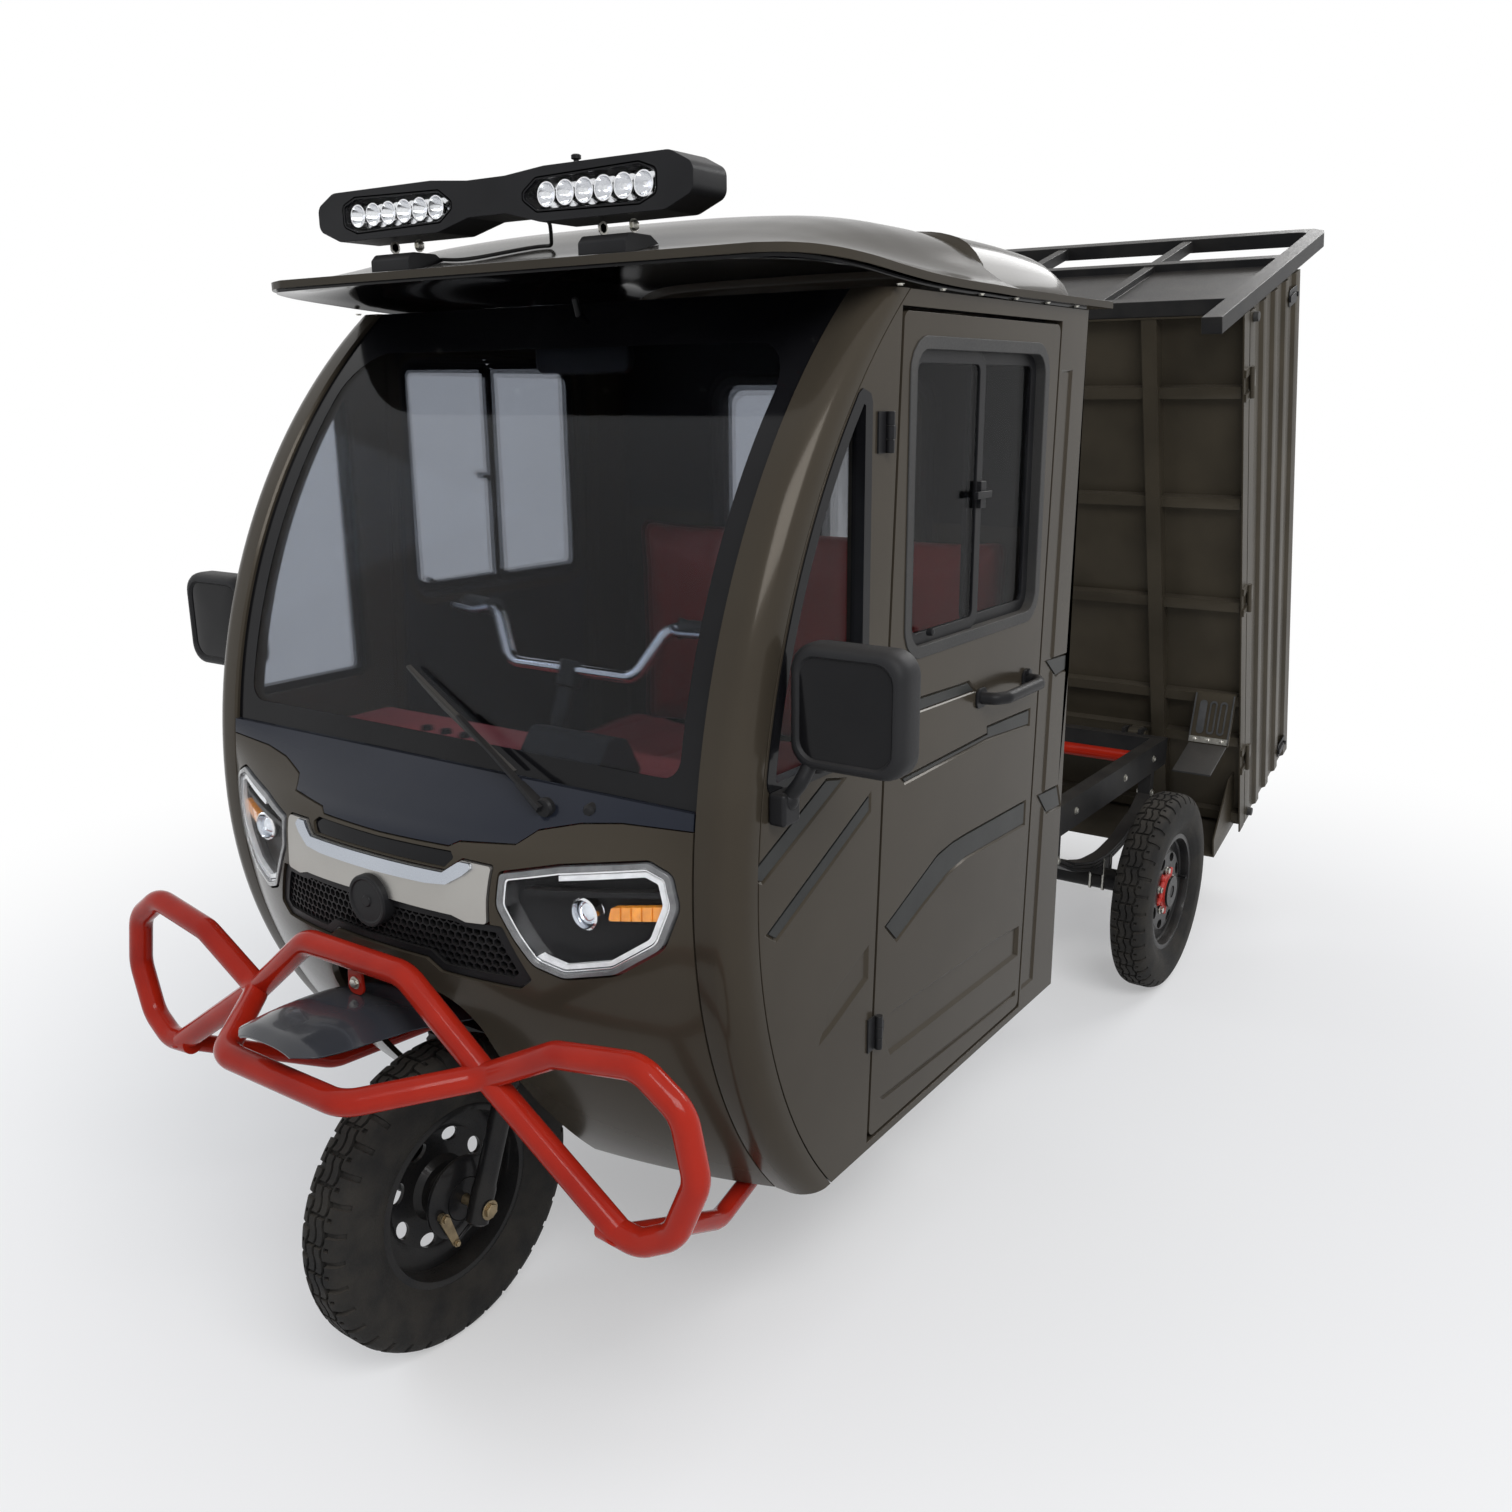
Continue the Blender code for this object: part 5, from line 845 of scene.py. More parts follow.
def side_outline(inset):
    return [(CAB_REAR, CAB_LOW)] + front_line(CAB_LOW, CAB_TOP, inset, FRONT_STEPS) + [(CAB_REAR, CAB_TOP)]


def side_plate(outline, inner, outer, side):
    """A plate on the cab's side; inner and outer are depths below the face of the side."""
    return across(prism(outline, "X", CAB_HALF - inner, CAB_HALF - outer), side)


def strip(outline, side):
    """A charcoal strip that lies in its pressed recess with a fine gap round it."""
    return side_plate(grown(outline, -STRIP_GAP), STRIP_INNER, STRIP_OUTER, side)


THROUGH = (CAB_HALF - CAB_WALL - 0.02, CAB_HALF + 0.02)
for label, side in SIDES:
    def openings():
        outlines = (door_outline(0.0), quarter_outline())
        return [across(prism(outline, "X", *THROUGH), side) for outline in outlines]

    add_piece(f"pillar_{label}", across(pillar(), side), cab_paint, CAB)
    add_piece(
        f"side_frame_{label}", side_plate(side_outline(PILLAR_DEPTH / 2), CAB_WALL, 0.0085, side),
        cab_paint, CAB, (f"side_panel_{label}",), soft=0.0015, cuts=openings())
    pockets = [pocket(outline, POCKET_DEEP) for outline in SIDE_STRIPS.values()]
    pockets += [pocket(SIDE_LEAF, 0.005, 0.006), pocket(REAR_CHANNEL, POCKET_DEEP, 0.005)]
    skin_outline = side_outline(PILLAR_DEPTH + SEAM_TO_PILLAR)
    add_piece(
        f"side_skin_{label}", side_plate(skin_outline, SKIN_DEEP, 0.0, side), cab_paint, CAB,
        soft=0.0020, cuts=openings() + [across(tool, side) for tool in pockets])
    for name, outline in SIDE_STRIPS.items():
        add_piece(
            f"strip_{name}_{label}", strip(outline, side), strip_black, CAB, soft=0.0008)
print("cab sides", piece_count)

# %% [markdown]
# ## The doors
# A door is the same kind of pressed skin as the side beside it, with a charcoal arc, two strips
# and two lower recesses. It opens about hinges on its front edge, so all its pieces ride on the
# door's body: skin, strips, glass, gasket, latch and handle.

# %% Door skins
DOOR_STRIPS = {
    "belt": [(-0.955, 1.085), (-0.672, 1.076), (-0.646, 1.057), (-0.955, 1.064)],
    "waist": [
        (-0.907, 0.9576), (-0.898, 0.9494), (-0.584, 0.9560), (-0.3965, 0.944), (-0.3965, 0.973),
        (-0.5856, 0.9777), (-0.584, 0.9640)],
    "arc": [
        (-0.9524, 0.715), (-0.9145, 0.6784), (-0.820, 0.712), (-0.7304, 0.7399), (-0.655, 0.7486),
        (-0.3965, 0.7417), (-0.3965, 0.7872), (-0.6585, 0.7925), (-0.715, 0.7920), (-0.7701, 0.7853)],
}
DOOR_BAND = [
    (-0.957, 0.532), (-0.926, 0.477), (-0.403, 0.467), (-0.403, 0.520), (-0.513, 0.530), (-0.921, 0.546)]
DOOR_SILL = [(-0.960, 0.405), (-0.950, 0.398), (-0.402, 0.376), (-0.402, 0.384)]
WINDOW = rectangle(back(0.519), back(1.030), 1.160, 1.640, 0.045)
DOOR_WALL, DOOR_GAP = 0.029, 0.0065

for label, side in SIDES:
    body = f"{label}_door"
    cuts = [across(prism(WINDOW, "X", *THROUGH), side)]
    cuts += [across(pocket(outline, POCKET_DEEP), side) for outline in DOOR_STRIPS.values()]
    cuts += [
        across(pocket(DOOR_BAND, 0.006, 0.006), side), across(pocket(DOOR_SILL, POCKET_DEEP, 0.002), side)]
    panel = side_plate(door_outline(DOOR_GAP, 0.014), DOOR_WALL, 0.0, side)
    add_piece(
        f"door_skin_{label}", panel, cab_paint, body, (f"door_{label}",), soft=0.0022,
        cuts=cuts)
    for name, outline in DOOR_STRIPS.items():
        add_piece(
            f"door_strip_{name}_{label}", strip(outline, side), strip_black, body,
            soft=0.0008)
print("doors", piece_count)

# %% [markdown]
# ## Windows
# A glass pane alone looks like nothing; what makes a window is its edge. Each one gets a rubber
# gasket that bridges skin and glass, and the door's window also has the two framed sliding panes,
# with their overlapping stiles, a latch and a finger knob. A ring is the band between an outline
# and a smaller one, so one small maker serves every window.

# %% Window frames
def ring(outer, inner, axis, low, high):
    """A flat frame between two outlines of as many points."""
    bm = bmesh.new()
    corners = ((outer, low), (outer, high), (inner, high), (inner, low))
    skin(bm, [loop_at(bm, outline, axis, level) for outline, level in corners], True)
    return bm


for label, side in SIDES:
    body = f"{label}_door"
    add_piece(
        f"door_gasket_{label}",
        across(
            ring(grown(WINDOW, 0.010), grown(WINDOW, -0.010), "X", CAB_HALF - 0.020, CAB_HALF + 0.0025),
            side), soft_rubber, body, soft=0.0015)
    pane_front = rectangle(back(0.527), back(0.790), 1.168, 1.632, 0.034)
    pane_rear = rectangle(back(0.752), back(1.022), 1.168, 1.632, 0.034)
    frames = []
    for outline, x in ((pane_front, CAB_HALF - 0.0115), (pane_rear, CAB_HALF - 0.0205)):
        frames.append(ring(outline, grown(outline, -0.022), "X", x - 0.0045, x + 0.0045))
    add_piece(
        f"door_pane_frames_{label}", across(joined(frames), side), satin_plastic, body,
        soft=0.0012)
    panes = joined([
        prism(grown(pane_front, -0.018), "X", CAB_HALF - 0.0135, CAB_HALF - 0.0100),
        prism(grown(pane_rear, -0.018), "X", CAB_HALF - 0.0225, CAB_HALF - 0.0190)])
    add_piece(
        f"door_panes_{label}", across(panes, side), window_glass, body, (f"door_glass_{label}",))
    latch = joined([
        box((CAB_HALF - 0.008, CAB_HALF + 0.001), (back(0.770), back(0.792)), (1.375, 1.420)),
        box((CAB_HALF + 0.001, CAB_HALF + 0.008), (back(0.745), back(0.800)), (1.392, 1.404)),
        turned(
            [(0.0, 0.0), (0.0, 0.007), (0.010, 0.006), (0.012, 0.0)], (CAB_HALF, back(0.590), 1.190), "X",
            18, closed=False)])
    add_piece(f"door_latch_{label}", across(latch, side), satin_plastic, body, soft=0.0012)
    outline = quarter_outline()
    add_piece(
        f"quarter_gasket_{label}",
        across(
            ring(grown(outline, 0.007), grown(outline, -0.013), "X", CAB_HALF - 0.020, CAB_HALF + 0.0022),
            side), gloss_black, CAB, soft=0.0012)
    add_piece(
        f"quarter_pane_{label}", side_plate(grown(outline, -0.010), 0.0175, 0.0130, side), window_glass,
        CAB, (f"quarter_glass_{label}",))

# %% [markdown]
# The rear wall has one rounded window with a wide rubber frame and a bar down its middle. The wall
# itself is stiffened by three pressed swages.

# %% Rear wall and its window
rear_window = rectangle(1.170, 1.590, -0.270, 0.270, 0.05)
wall_half = CAB_HALF - CAB_WALL - 0.0003
swages = [
    prism(rectangle(z, z + 0.030, -0.42, 0.42, 0.012), "Y", CAB_REAR - 0.004, CAB_REAR + 0.01)
    for z in (0.70, 0.90, 1.04)]
notches = [
    box((x, x + 0.0406), (CAB_REAR - 0.06, CAB_REAR + 0.03), (0.4897, 0.5703)) for x in (-0.4003, 0.3597)]
add_piece(
    "rear_wall_panel", box((-wall_half, wall_half), (CAB_REAR - 0.030, CAB_REAR), (CAB_LOW, CAB_TOP)),
    cab_paint, CAB, ("rear_wall",), soft=0.002,
    cuts=[prism(rear_window, "Y", CAB_REAR - 0.06, CAB_REAR + 0.03)] + swages + notches)
add_piece(
    "rear_window_gasket",
    ring(grown(rear_window, 0.012), grown(rear_window, -0.018), "Y", CAB_REAR - 0.034, CAB_REAR + 0.004),
    soft_rubber, CAB, soft=0.002)
add_piece(
    "rear_window_bar", box((-0.018, 0.018), (CAB_REAR - 0.026, CAB_REAR - 0.004), (1.186, 1.574)),
    satin_plastic, CAB, soft=0.002)
add_piece(
    "rear_window_pane", prism(grown(rear_window, -0.010), "Y", CAB_REAR - 0.0165, CAB_REAR - 0.0125),
    window_glass, CAB, ("rear_glass",))

# %% [markdown]
# The windshield is one sheet bent on the cab's front arc. Its edge is painted black on the inside,
# which hides the glue line; here that border is a thin curved frame on the glass, cut from a
# curved strip so that it has rounded inner corners.

# %% Windshield
def curved_sheet(low, high, half, inset, thick, rows, columns):
    """A sheet bent on the front line, with its face set back by the inset."""
    rings = []
    for i in range(rows + 1):
        z = low + (high - low) * i / rows
        y = front_y(z) + inset
        front = [(half * (2 * k / columns - 1), y, z) for k in range(columns + 1)]
        rear = [(x, y + thick, z) for x, y, z in reversed(front)]
        rings.append(front + rear)
    return loft(rings)


glass_half = GLASS_HALF - 0.0003
add_piece(
    "windshield_pane", curved_sheet(NOSE_TOP + 0.0003, CAB_TOP, glass_half, 0.010, 0.005, 48, 2),
    shield_glass, CAB, ("windshield",), sharp=30.0)
shield_opening = rounded(
    [(1.048, -0.478), (1.048, 0.478), (1.640, 0.478), (1.640, -0.478)], [0.030, 0.030, 0.075, 0.075], 8)
add_piece(
    "windshield_border",
    curved_sheet(NOSE_TOP + 0.0005, CAB_TOP - 0.0005, glass_half - 0.0005, 0.0088, 0.0010, 48, 2),
    gloss_black, CAB, sharp=30.0, cuts=[prism(shield_opening, "Y", back(-0.1), back(0.7))])
print("windows", piece_count)

# %% [markdown]
# ## The nose
# The nose is a moulded shell that bulges out under the windshield and runs back to the pillars.
# One formula gives its surface: the cab's front line, less a bulge that changes with the height and
# fades towards the sides. A fine grid of that formula gives clean highlights. The lamp openings,
# the grille's opening and the wheel arch are then cut right through it.

# %% The nose's surface
NOSE_BULGE = [
    (0.325, 0.088), (0.420, 0.100), (0.500, 0.112), (0.600, 0.130), (0.700, 0.140), (0.780, 0.138),
    (0.850, 0.132), (0.900, 0.124), (0.928, 0.106), (0.948, 0.078), (0.978, 0.038), (1.010, 0.0)]


def smooth_value(table, where):
    """A value between table rows, on a curve that runs through all of them without overshoot."""
    if where <= table[0][0]:
        return table[0][1]
    for i in range(len(table) - 1):
        (a, low), (b, high) = table[i], table[i + 1]
        if where <= b:
            slope = (high - low) / (b - a)
            slopes = []
            for k in (i, i + 1):
                if k in (0, len(table) - 1):
                    slopes.append(slope)
                    continue
                before = (table[k][1] - table[k - 1][1]) / (table[k][0] - table[k - 1][0])
                after = (table[k + 1][1] - table[k][1]) / (table[k + 1][0] - table[k][0])
                slopes.append(0.0 if before * after <= 0.0 else 2.0 * before * after / (before + after))
            t = (where - a) / (b - a)
            width = b - a
            return (
                (2 * t ** 3 - 3 * t ** 2 + 1) * low + (t ** 3 - 2 * t ** 2 + t) * width * slopes[0]
                + (3 * t ** 2 - 2 * t ** 3) * high + (t ** 3 - t ** 2) * width * slopes[1])
    return table[-1][1]


def nose_y(x, z, proud=0.0):
    share = min(1.0, abs(x) / 0.515)
    return front_y(z) - smooth_value(NOSE_BULGE, z) * (1.0 - share ** 2.2) - proud


def nose_sheet(low, high, half, outside, inside, rows, columns):
    """A curved slab that follows the nose between two depths, counted outward from its face."""
    rings = []
    for i in range(rows + 1):
        z = low + (high - low) * i / rows
        xs = [half * (2 * k / columns - 1) for k in range(columns + 1)]
        rings.append(
            [(x, nose_y(x, z, outside), z) for x in xs]
            + [(x, nose_y(x, z, inside), z) for x in reversed(xs)])
    return loft(rings)


def swapped(outline):
    """Outlines on the face are listed as (x, z); a body along Y wants (z, x)."""
    return [(z, x) for x, z in outline]


def mirrored(outline):
    return [(-x, z) for x, z in reversed(outline)]


NOSE_SPAN = (back(-0.30), back(0.25))


def through_nose(outline):
    """A tool of the outline's shape that goes right through the nose."""
    return prism(swapped(outline), "Y", *NOSE_SPAN)


def face_body(outline, outside, inside, step=0.006):
    """The part of the nose slab inside an outline, as an applied cut."""
    zs = [z for _, z in outline]
    xs = [abs(x) for x, _ in outline]
    rows = max(8, int((max(zs) - min(zs)) / step))
    slab = nose_sheet(min(zs) - 0.004, max(zs) + 0.004, max(xs) + 0.004, outside, inside, rows, 110)
    carrier = as_object("slab", slab)
    cut(carrier, through_nose(outline), "INTERSECT")
    bm = bmesh.new()
    bm.from_mesh(carrier.data)
    bpy.data.objects.remove(carrier, do_unlink=True)
    return bm


LAMP_POINTS = [
    (0.243, 0.903), (0.331, 0.922), (0.456, 0.938), (0.489, 0.922), (0.499, 0.875), (0.477, 0.811),
    (0.412, 0.766), (0.338, 0.752), (0.294, 0.768), (0.268, 0.806), (0.240, 0.854)]
LAMP_RADII = [0.006, 0.05, 0.02, 0.02, 0.04, 0.04, 0.04, 0.03, 0.03, 0.05, 0.03]


def lamp_outline(inset):
    """The head lamp's outline moved inward, with corners that stay rounded."""
    radii = [max(radius - inset, 0.006) for radius in LAMP_RADII]
    return rounded(grown(LAMP_POINTS, -inset), radii, 5)


def face_band(outer, inner, outside, inside, is_open=False, step=0.012):
    """A strip on the nose between two outlines with matching points; an open one gets two ends."""
    rows = []
    count = len(outer)
    for i in range(count - 1 if is_open else count):
        a, b, c, d = outer[i], outer[(i + 1) % count], inner[i], inner[(i + 1) % count]
        pieces = max(1, int((Vector(b) - Vector(a)).length / step))
        for k in range(pieces):
            t = k / pieces
            rows.append((
                (a[0] + (b[0] - a[0]) * t, a[1] + (b[1] - a[1]) * t),
                (c[0] + (d[0] - c[0]) * t, c[1] + (d[1] - c[1]) * t)))
    if is_open:
        rows.append((outer[-1], inner[-1]))
    bm = bmesh.new()
    rings = []
    for out, near in rows:
        corners = [(out, outside), (near, outside), (near, inside), (out, inside)]
        rings.append([bm.verts.new((x, nose_y(x, z, depth), z)) for (x, z), depth in corners])
    skin(bm, rings, not is_open)
    if is_open:
        bm.faces.new(reversed(rings[0]))
        bm.faces.new(rings[-1])
    bmesh.ops.recalc_face_normals(bm, faces=bm.faces)
    return bm


HEADLAMP = lamp_outline(0.0)
TRIM_HALF = [
    (0.0, 0.893), (0.150, 0.893), (0.176, 0.912), (0.230, 0.910), (0.226, 0.860), (0.226, 0.824),
    (0.190, 0.822), (0.165, 0.829), (0.0, 0.832)]
GRILLE_HALF = [
    (0.0, 0.8295), (0.164, 0.8265), (0.190, 0.8195), (0.227, 0.8215), (0.248, 0.8215), (0.286, 0.744),
    (0.265, 0.726), (0.130, 0.730), (0.104, 0.748), (0.0, 0.748)]
OPENING_HALF = TRIM_HALF[:5] + GRILLE_HALF[3:]
SEAM_HALF = [
    (0.0, 0.922), (0.142, 0.924), (0.156, 0.9315), (0.250, 0.938), (0.272, 0.957), (0.335, 0.972),
    (0.400, 0.980), (0.530, 0.984)]


def whole(half):
    """Both halves of an outline that is mirrored about the centre line."""
    return half + [(-x, z) for x, z in reversed(half) if x > 0.0]


def whole_rounded(half, radius):
    """The same with every corner rounded that doesn't lie on the centre line."""
    radii = [0.0] + [radius] * (len(half) - 2)
    return rounded(whole(half), radii + radii, 3)


def seam_body(gap, above):
    """The space above the hood's seam, or below it, short of the seam by gap."""
    line = [(x, z + (gap if above else -gap)) for x, z in SEAM_HALF]
    ends = 1.03 if above else 0.30
    return through_nose(whole(line + [(0.530, ends)]))


arch = rounded([(0.30, -0.200), (0.30, 0.200), (0.690, 0.170), (0.690, -0.170)], [0, 0, 0.08, 0.08], 8)
nose_half = GLASS_HALF - 0.0005
lamp_holes = [through_nose(grown(outline, 0.0025)) for outline in (HEADLAMP, mirrored(HEADLAMP))]
face_hole = through_nose(grown(rounded(whole(OPENING_HALF), 0.004, 3), 0.0022))
GAP_ABOVE_TRIM = rounded(
    whole([(0.0, 0.8965), (0.146, 0.8965), (0.160, 0.9120), (0.150, 0.9200), (0.0, 0.9185)]),
    [0.0] + [0.003] * 3 + [0.0, 0.0] + [0.003] * 3, 3)
add_piece(
    "nose_shell", nose_sheet(CAB_LOW, NOSE_TOP, nose_half, 0.0, -0.012, 96, 96), cab_paint, CAB,
    ("nose_panel",), sharp=32.0, soft=0.0018,
    cuts=[
        prism(arch, "Y", *NOSE_SPAN), face_hole, seam_body(0.0, True),
        face_body(GAP_ABOVE_TRIM, 0.010, -0.0070)] + lamp_holes)
# The black sheet on the floor of the gap above the trim is painted shade inside the gap.
add_piece(
    "shade_in_gap_above_trim", face_body(grown(GAP_ABOVE_TRIM, -0.0004), -0.0050, -0.0068), gloss_black, CAB,
    sharp=30.0)
# The hood's dark blue-grey paint is a painted reflection of a dark sky on the taupe panel.
add_piece(
    "hood", nose_sheet(0.90, NOSE_TOP, nose_half, 0.0, -0.0115, 40, 96), hood_paint_with_painted_reflection, CAB,
    sharp=32.0, soft=0.0022, cuts=[seam_body(-0.0022, False)])
print("nose", piece_count)

# %% [markdown]
# ## Head lamps
# A head lamp is a dark housing with a thin white light guide running round it, a projector lens,
# and an amber corner for the turn signal, all behind a clear cover. The depth between the cover and
# the housing is what makes it read as a lamp, so each of these is a piece of its own.

# %% Head lamps
GUIDE_RUN = [k for k, (x, z) in enumerate(HEADLAMP) if x > 0.290 or z < 0.790]
PROJECTOR = (0.364, 0.852)
for label, side in SIDES:
    def placed(outline):
        return outline if side > 0 else mirrored(outline)

    add_piece(
        f"headlamp_rim_{label}",
        face_band(placed(lamp_outline(0.0015)), placed(lamp_outline(0.0095)), 0.0026, -0.0300), lamp_edge,
        CAB, soft=0.0012)
    add_piece(
        f"headlamp_step_{label}",
        face_band(placed(lamp_outline(0.0097)), placed(lamp_outline(0.0125)), -0.0010, -0.0300),
        reflector_silver, CAB, soft=0.0006)
    add_piece(
        f"headlamp_cover_{label}", face_body(grown(placed(HEADLAMP), -0.0045), 0.0058, 0.0030), lamp_cover,
        CAB, (f"headlamp_{label}",), sharp=30.0)
    add_piece(
        f"headlamp_back_{label}", face_body(grown(placed(HEADLAMP), -0.004), -0.0310, -0.0350),
        satin_plastic, CAB, sharp=30.0)
    guide = [placed([lamp_outline(inset)[k] for k in GUIDE_RUN]) for inset in (0.0140, 0.0215)]
    add_piece(
        f"light_guide_{label}", face_band(*guide, -0.0030, -0.0110, True), light_guide, CAB,
        soft=0.001)
    x, z = PROJECTOR[0] * side, PROJECTOR[1]
    lamp_at = (x, nose_y(x, z) + 0.012, z)
    shelf = [(side * a, b) for a, b in ((0.275, 0.880), (0.470, 0.892), (0.470, 0.884), (0.275, 0.871))]
    add_piece(
        f"lamp_shelf_{label}", face_body(rounded(shelf, 0.002, 2), -0.012, -0.030), satin_plastic, CAB,
        soft=0.001)
    shroud = turned([(0.018, 0.0235), (0.002, 0.0245), (0.0, 0.0215), (0.018, 0.0200)], lamp_at, "Y", 40)
    add_piece(f"projector_ring_{label}", shroud, reflector_silver, CAB)
    dome = turned(
        [
            (0.020, 0.0), (0.020, 0.0195), (0.014, 0.0195), (0.009, 0.0172), (0.0055, 0.0125),
            (0.0035, 0.0065), (0.003, 0.0)], lamp_at, "Y", 40, closed=False)
    add_piece(f"projector_lens_{label}", dome, eye_silver, CAB)
    bulb = turned(
        [(0.0285, 0.0), (0.0285, 0.019), (0.0245, 0.017), (0.022, 0.011), (0.021, 0.0)], lamp_at, "Y", 32,
        closed=False)
    add_piece(f"projector_bulb_{label}", bulb, led_chip, CAB)
    amber = rounded(
        [(side * a, b) for a, b in ((0.400, 0.846), (0.474, 0.850), (0.478, 0.872), (0.404, 0.866))], 0.003,
        3)
    add_piece(
        f"turn_signal_{label}", face_body(amber, -0.010, -0.022), amber_lens, CAB, soft=0.001,
        cuts=[
            box(sorted((side * a, side * (a + 0.002))), (-1.7, -1.2), (0.83, 0.89))
            for a in (0.416, 0.430, 0.444, 0.458)])
print("head lamps", piece_count)

# %% [markdown]
# ## Grille and trim
# The silver trim is one smiling bar between the lamps, with a raised upper lip. Below it the grille
# is a frame round a honeycomb mesh, and a round blank plate sits on both. The honeycomb is one
# hexagon ring repeated on the nose's surface.

# %% Trim, grille and plate
trim_outline = whole_rounded(TRIM_HALF, 0.006)
add_piece(
    "trim_bar", face_body(grown(trim_outline, -0.0004), 0.0030, -0.0090), trim_silver, CAB,
    ("grille_trim",), soft=0.0022)
lip_half = [
    (0.0, 0.8925), (0.150, 0.8925), (0.176, 0.9110), (0.206, 0.9105), (0.186, 0.893), (0.158, 0.876),
    (0.120, 0.8725), (0.0, 0.8715)]
add_piece(
    "trim_lip", face_body(whole_rounded(lip_half, 0.005), 0.0080, 0.0024), satin_silver, CAB,
    soft=0.0016)
grille_frame = whole_rounded(GRILLE_HALF, 0.005)
inner_half = [
    (0.0, 0.8180), (0.164, 0.8170), (0.190, 0.8110), (0.236, 0.8110), (0.266, 0.7500), (0.256, 0.7410),
    (0.136, 0.7420), (0.111, 0.7600), (0.0, 0.7600)]
grille_inner = whole_rounded(inner_half, 0.004)
add_piece(
    "grille_frame", face_body(grown(grille_frame, -0.0006), -0.0045, -0.0190), satin_plastic, CAB,
    ("grille",), soft=0.0016, cuts=[through_nose(grille_inner)])
add_piece(
    "grille_back", face_body(grown(grille_inner, 0.004), -0.0172, -0.0188), gloss_black, CAB,
    sharp=30.0)


def inside(point, outline):
    hit = False
    for i in range(len(outline)):
        (x1, z1), (x2, z2) = outline[i - 1], outline[i]
        if (z1 > point[1]) != (z2 > point[1]):
            if point[0] < x1 + (point[1] - z1) * (x2 - x1) / (z2 - z1):
                hit = not hit
    return hit


def honeycomb(outline, pitch, wall, outside, deep):
    """Hexagon rings on the nose's surface, wherever their middles lie inside the outline."""
    bm = bmesh.new()
    limit = grown(outline, pitch * 0.38)
    rows = int(0.12 / (pitch * 0.866)) + 2
    for r in range(rows):
        z = 0.735 + r * pitch * 0.866
        for c in range(int(0.60 / pitch) + 2):
            x = -0.30 + (c + 0.5 * (r % 2)) * pitch
            if not inside((x, z), limit):
                continue
            rings = []
            out, near = pitch * 0.577 + wall / 2, pitch * 0.577 - wall / 2
            inner = outside - deep
            for radius, proud in ((out, outside), (near, outside), (near, inner), (out, inner)):
                ring = []
                for i in range(6):
                    turn_by = math.radians(30 + 60 * i)
                    a, b = x + radius * math.cos(turn_by), z + radius * math.sin(turn_by)
                    ring.append(bm.verts.new((a, nose_y(a, b, proud), b)))
                rings.append(ring)
            skin(bm, rings, True)
    return bm


add_piece(
    "grille_mesh", honeycomb(grille_inner, 0.0135, 0.0030, -0.0080, 0.0085), satin_plastic, CAB,
    sharp=30.0)
plate_y = nose_y(0.0, 0.822)
plate = turned(
    [
        (-0.0130, 0.0), (-0.0130, 0.0080), (-0.0105, 0.0095), (-0.0105, 0.0330), (-0.0128, 0.0350),
        (-0.0128, 0.0395), (-0.0105, 0.0415), (0.0160, 0.0415), (0.0160, 0.0)], (0.0, plate_y, 0.822), "Y",
    64, closed=False)
add_piece("front_plate", plate, satin_plastic, CAB, soft=0.0008)
print("grille", piece_count)

# %% [markdown]
# ## Roof
# The roof is one moulding: a wing-shaped visor in front, a dome that rises over the driver, a step
# down and a long ridge behind. Sections across it are tabulated at stations along it, and a smooth
# curve fills in between them. Its underside wears a dark lining that is held by small screws.

# %% Roof
ROOF_FRONT, ROOF_LENGTH, DOME_HEIGHT = back(0.218), 1.087, 0.120
# where the dome steps down, and over what length
STEP_AT, STEP_LONG = 0.640, 0.015
# behind the visor's tip, edge over the cab's top, half width, share of the dome's height
ROOF_STATIONS = [
    (0.0, 0.046, 0.500, 0.0), (0.015, 0.045, 0.545, 0.02), (0.045, 0.043, 0.575, 0.08),
    (0.100, 0.039, 0.594, 0.25), (0.170, 0.034, 0.600, 0.48), (0.250, 0.028, 0.600, 0.72),
    (0.340, 0.023, 0.600, 0.90), (0.450, 0.020, 0.600, 0.99), (0.570, 0.019, 0.600, 1.0),
    (0.640, 0.018, 0.600, 0.97), (0.655, 0.018, 0.600, 0.92), (0.820, 0.018, 0.600, 0.88),
    (0.960, 0.018, 0.600, 0.80), (1.020, 0.018, 0.600, 0.62), (1.045, 0.018, 0.600, 0.02),
    (ROOF_LENGTH, 0.018, 0.600, 0.0)]
# share of the half width, share of the dome's height ahead of the step and behind it
ROOF_ACROSS = [
    (0.0, 1.0, 1.0), (0.30, 0.985, 0.99), (0.55, 0.930, 0.97), (0.70, 0.820, 0.93), (0.80, 0.640, 0.80),
    (0.87, 0.400, 0.45), (0.90, 0.280, 0.02), (0.95, 0.110, 0.0), (1.0, 0.0, 0.0)]


def roof_height(behind, share):
    edge = smooth_value([(s[0], s[1]) for s in ROOF_STATIONS], behind)
    dome = smooth_value([(s[0], s[3]) for s in ROOF_STATIONS], behind)
    fore = smooth_value([(a[0], a[1]) for a in ROOF_ACROSS], share)
    aft = smooth_value([(a[0], a[2]) for a in ROOF_ACROSS], share)
    blend_by = min(1.0, max(0.0, (behind - STEP_AT) / STEP_LONG))
    return CAB_TOP + edge + DOME_HEIGHT * dome * (fore * (1.0 - blend_by) + aft * blend_by)


def roof_places():
    """Stations: close together where the roof turns sharply, wider apart elsewhere."""
    places = [0.0, 0.004, 0.009, 0.015, 0.024, 0.034]
    while places[-1] < ROOF_LENGTH - 0.0001:
        here = places[-1]
        step = 0.003 if 0.632 < here < 0.662 or 1.010 < here < 1.052 else 0.0125
        places.append(min(ROOF_LENGTH, here + step))
    return places


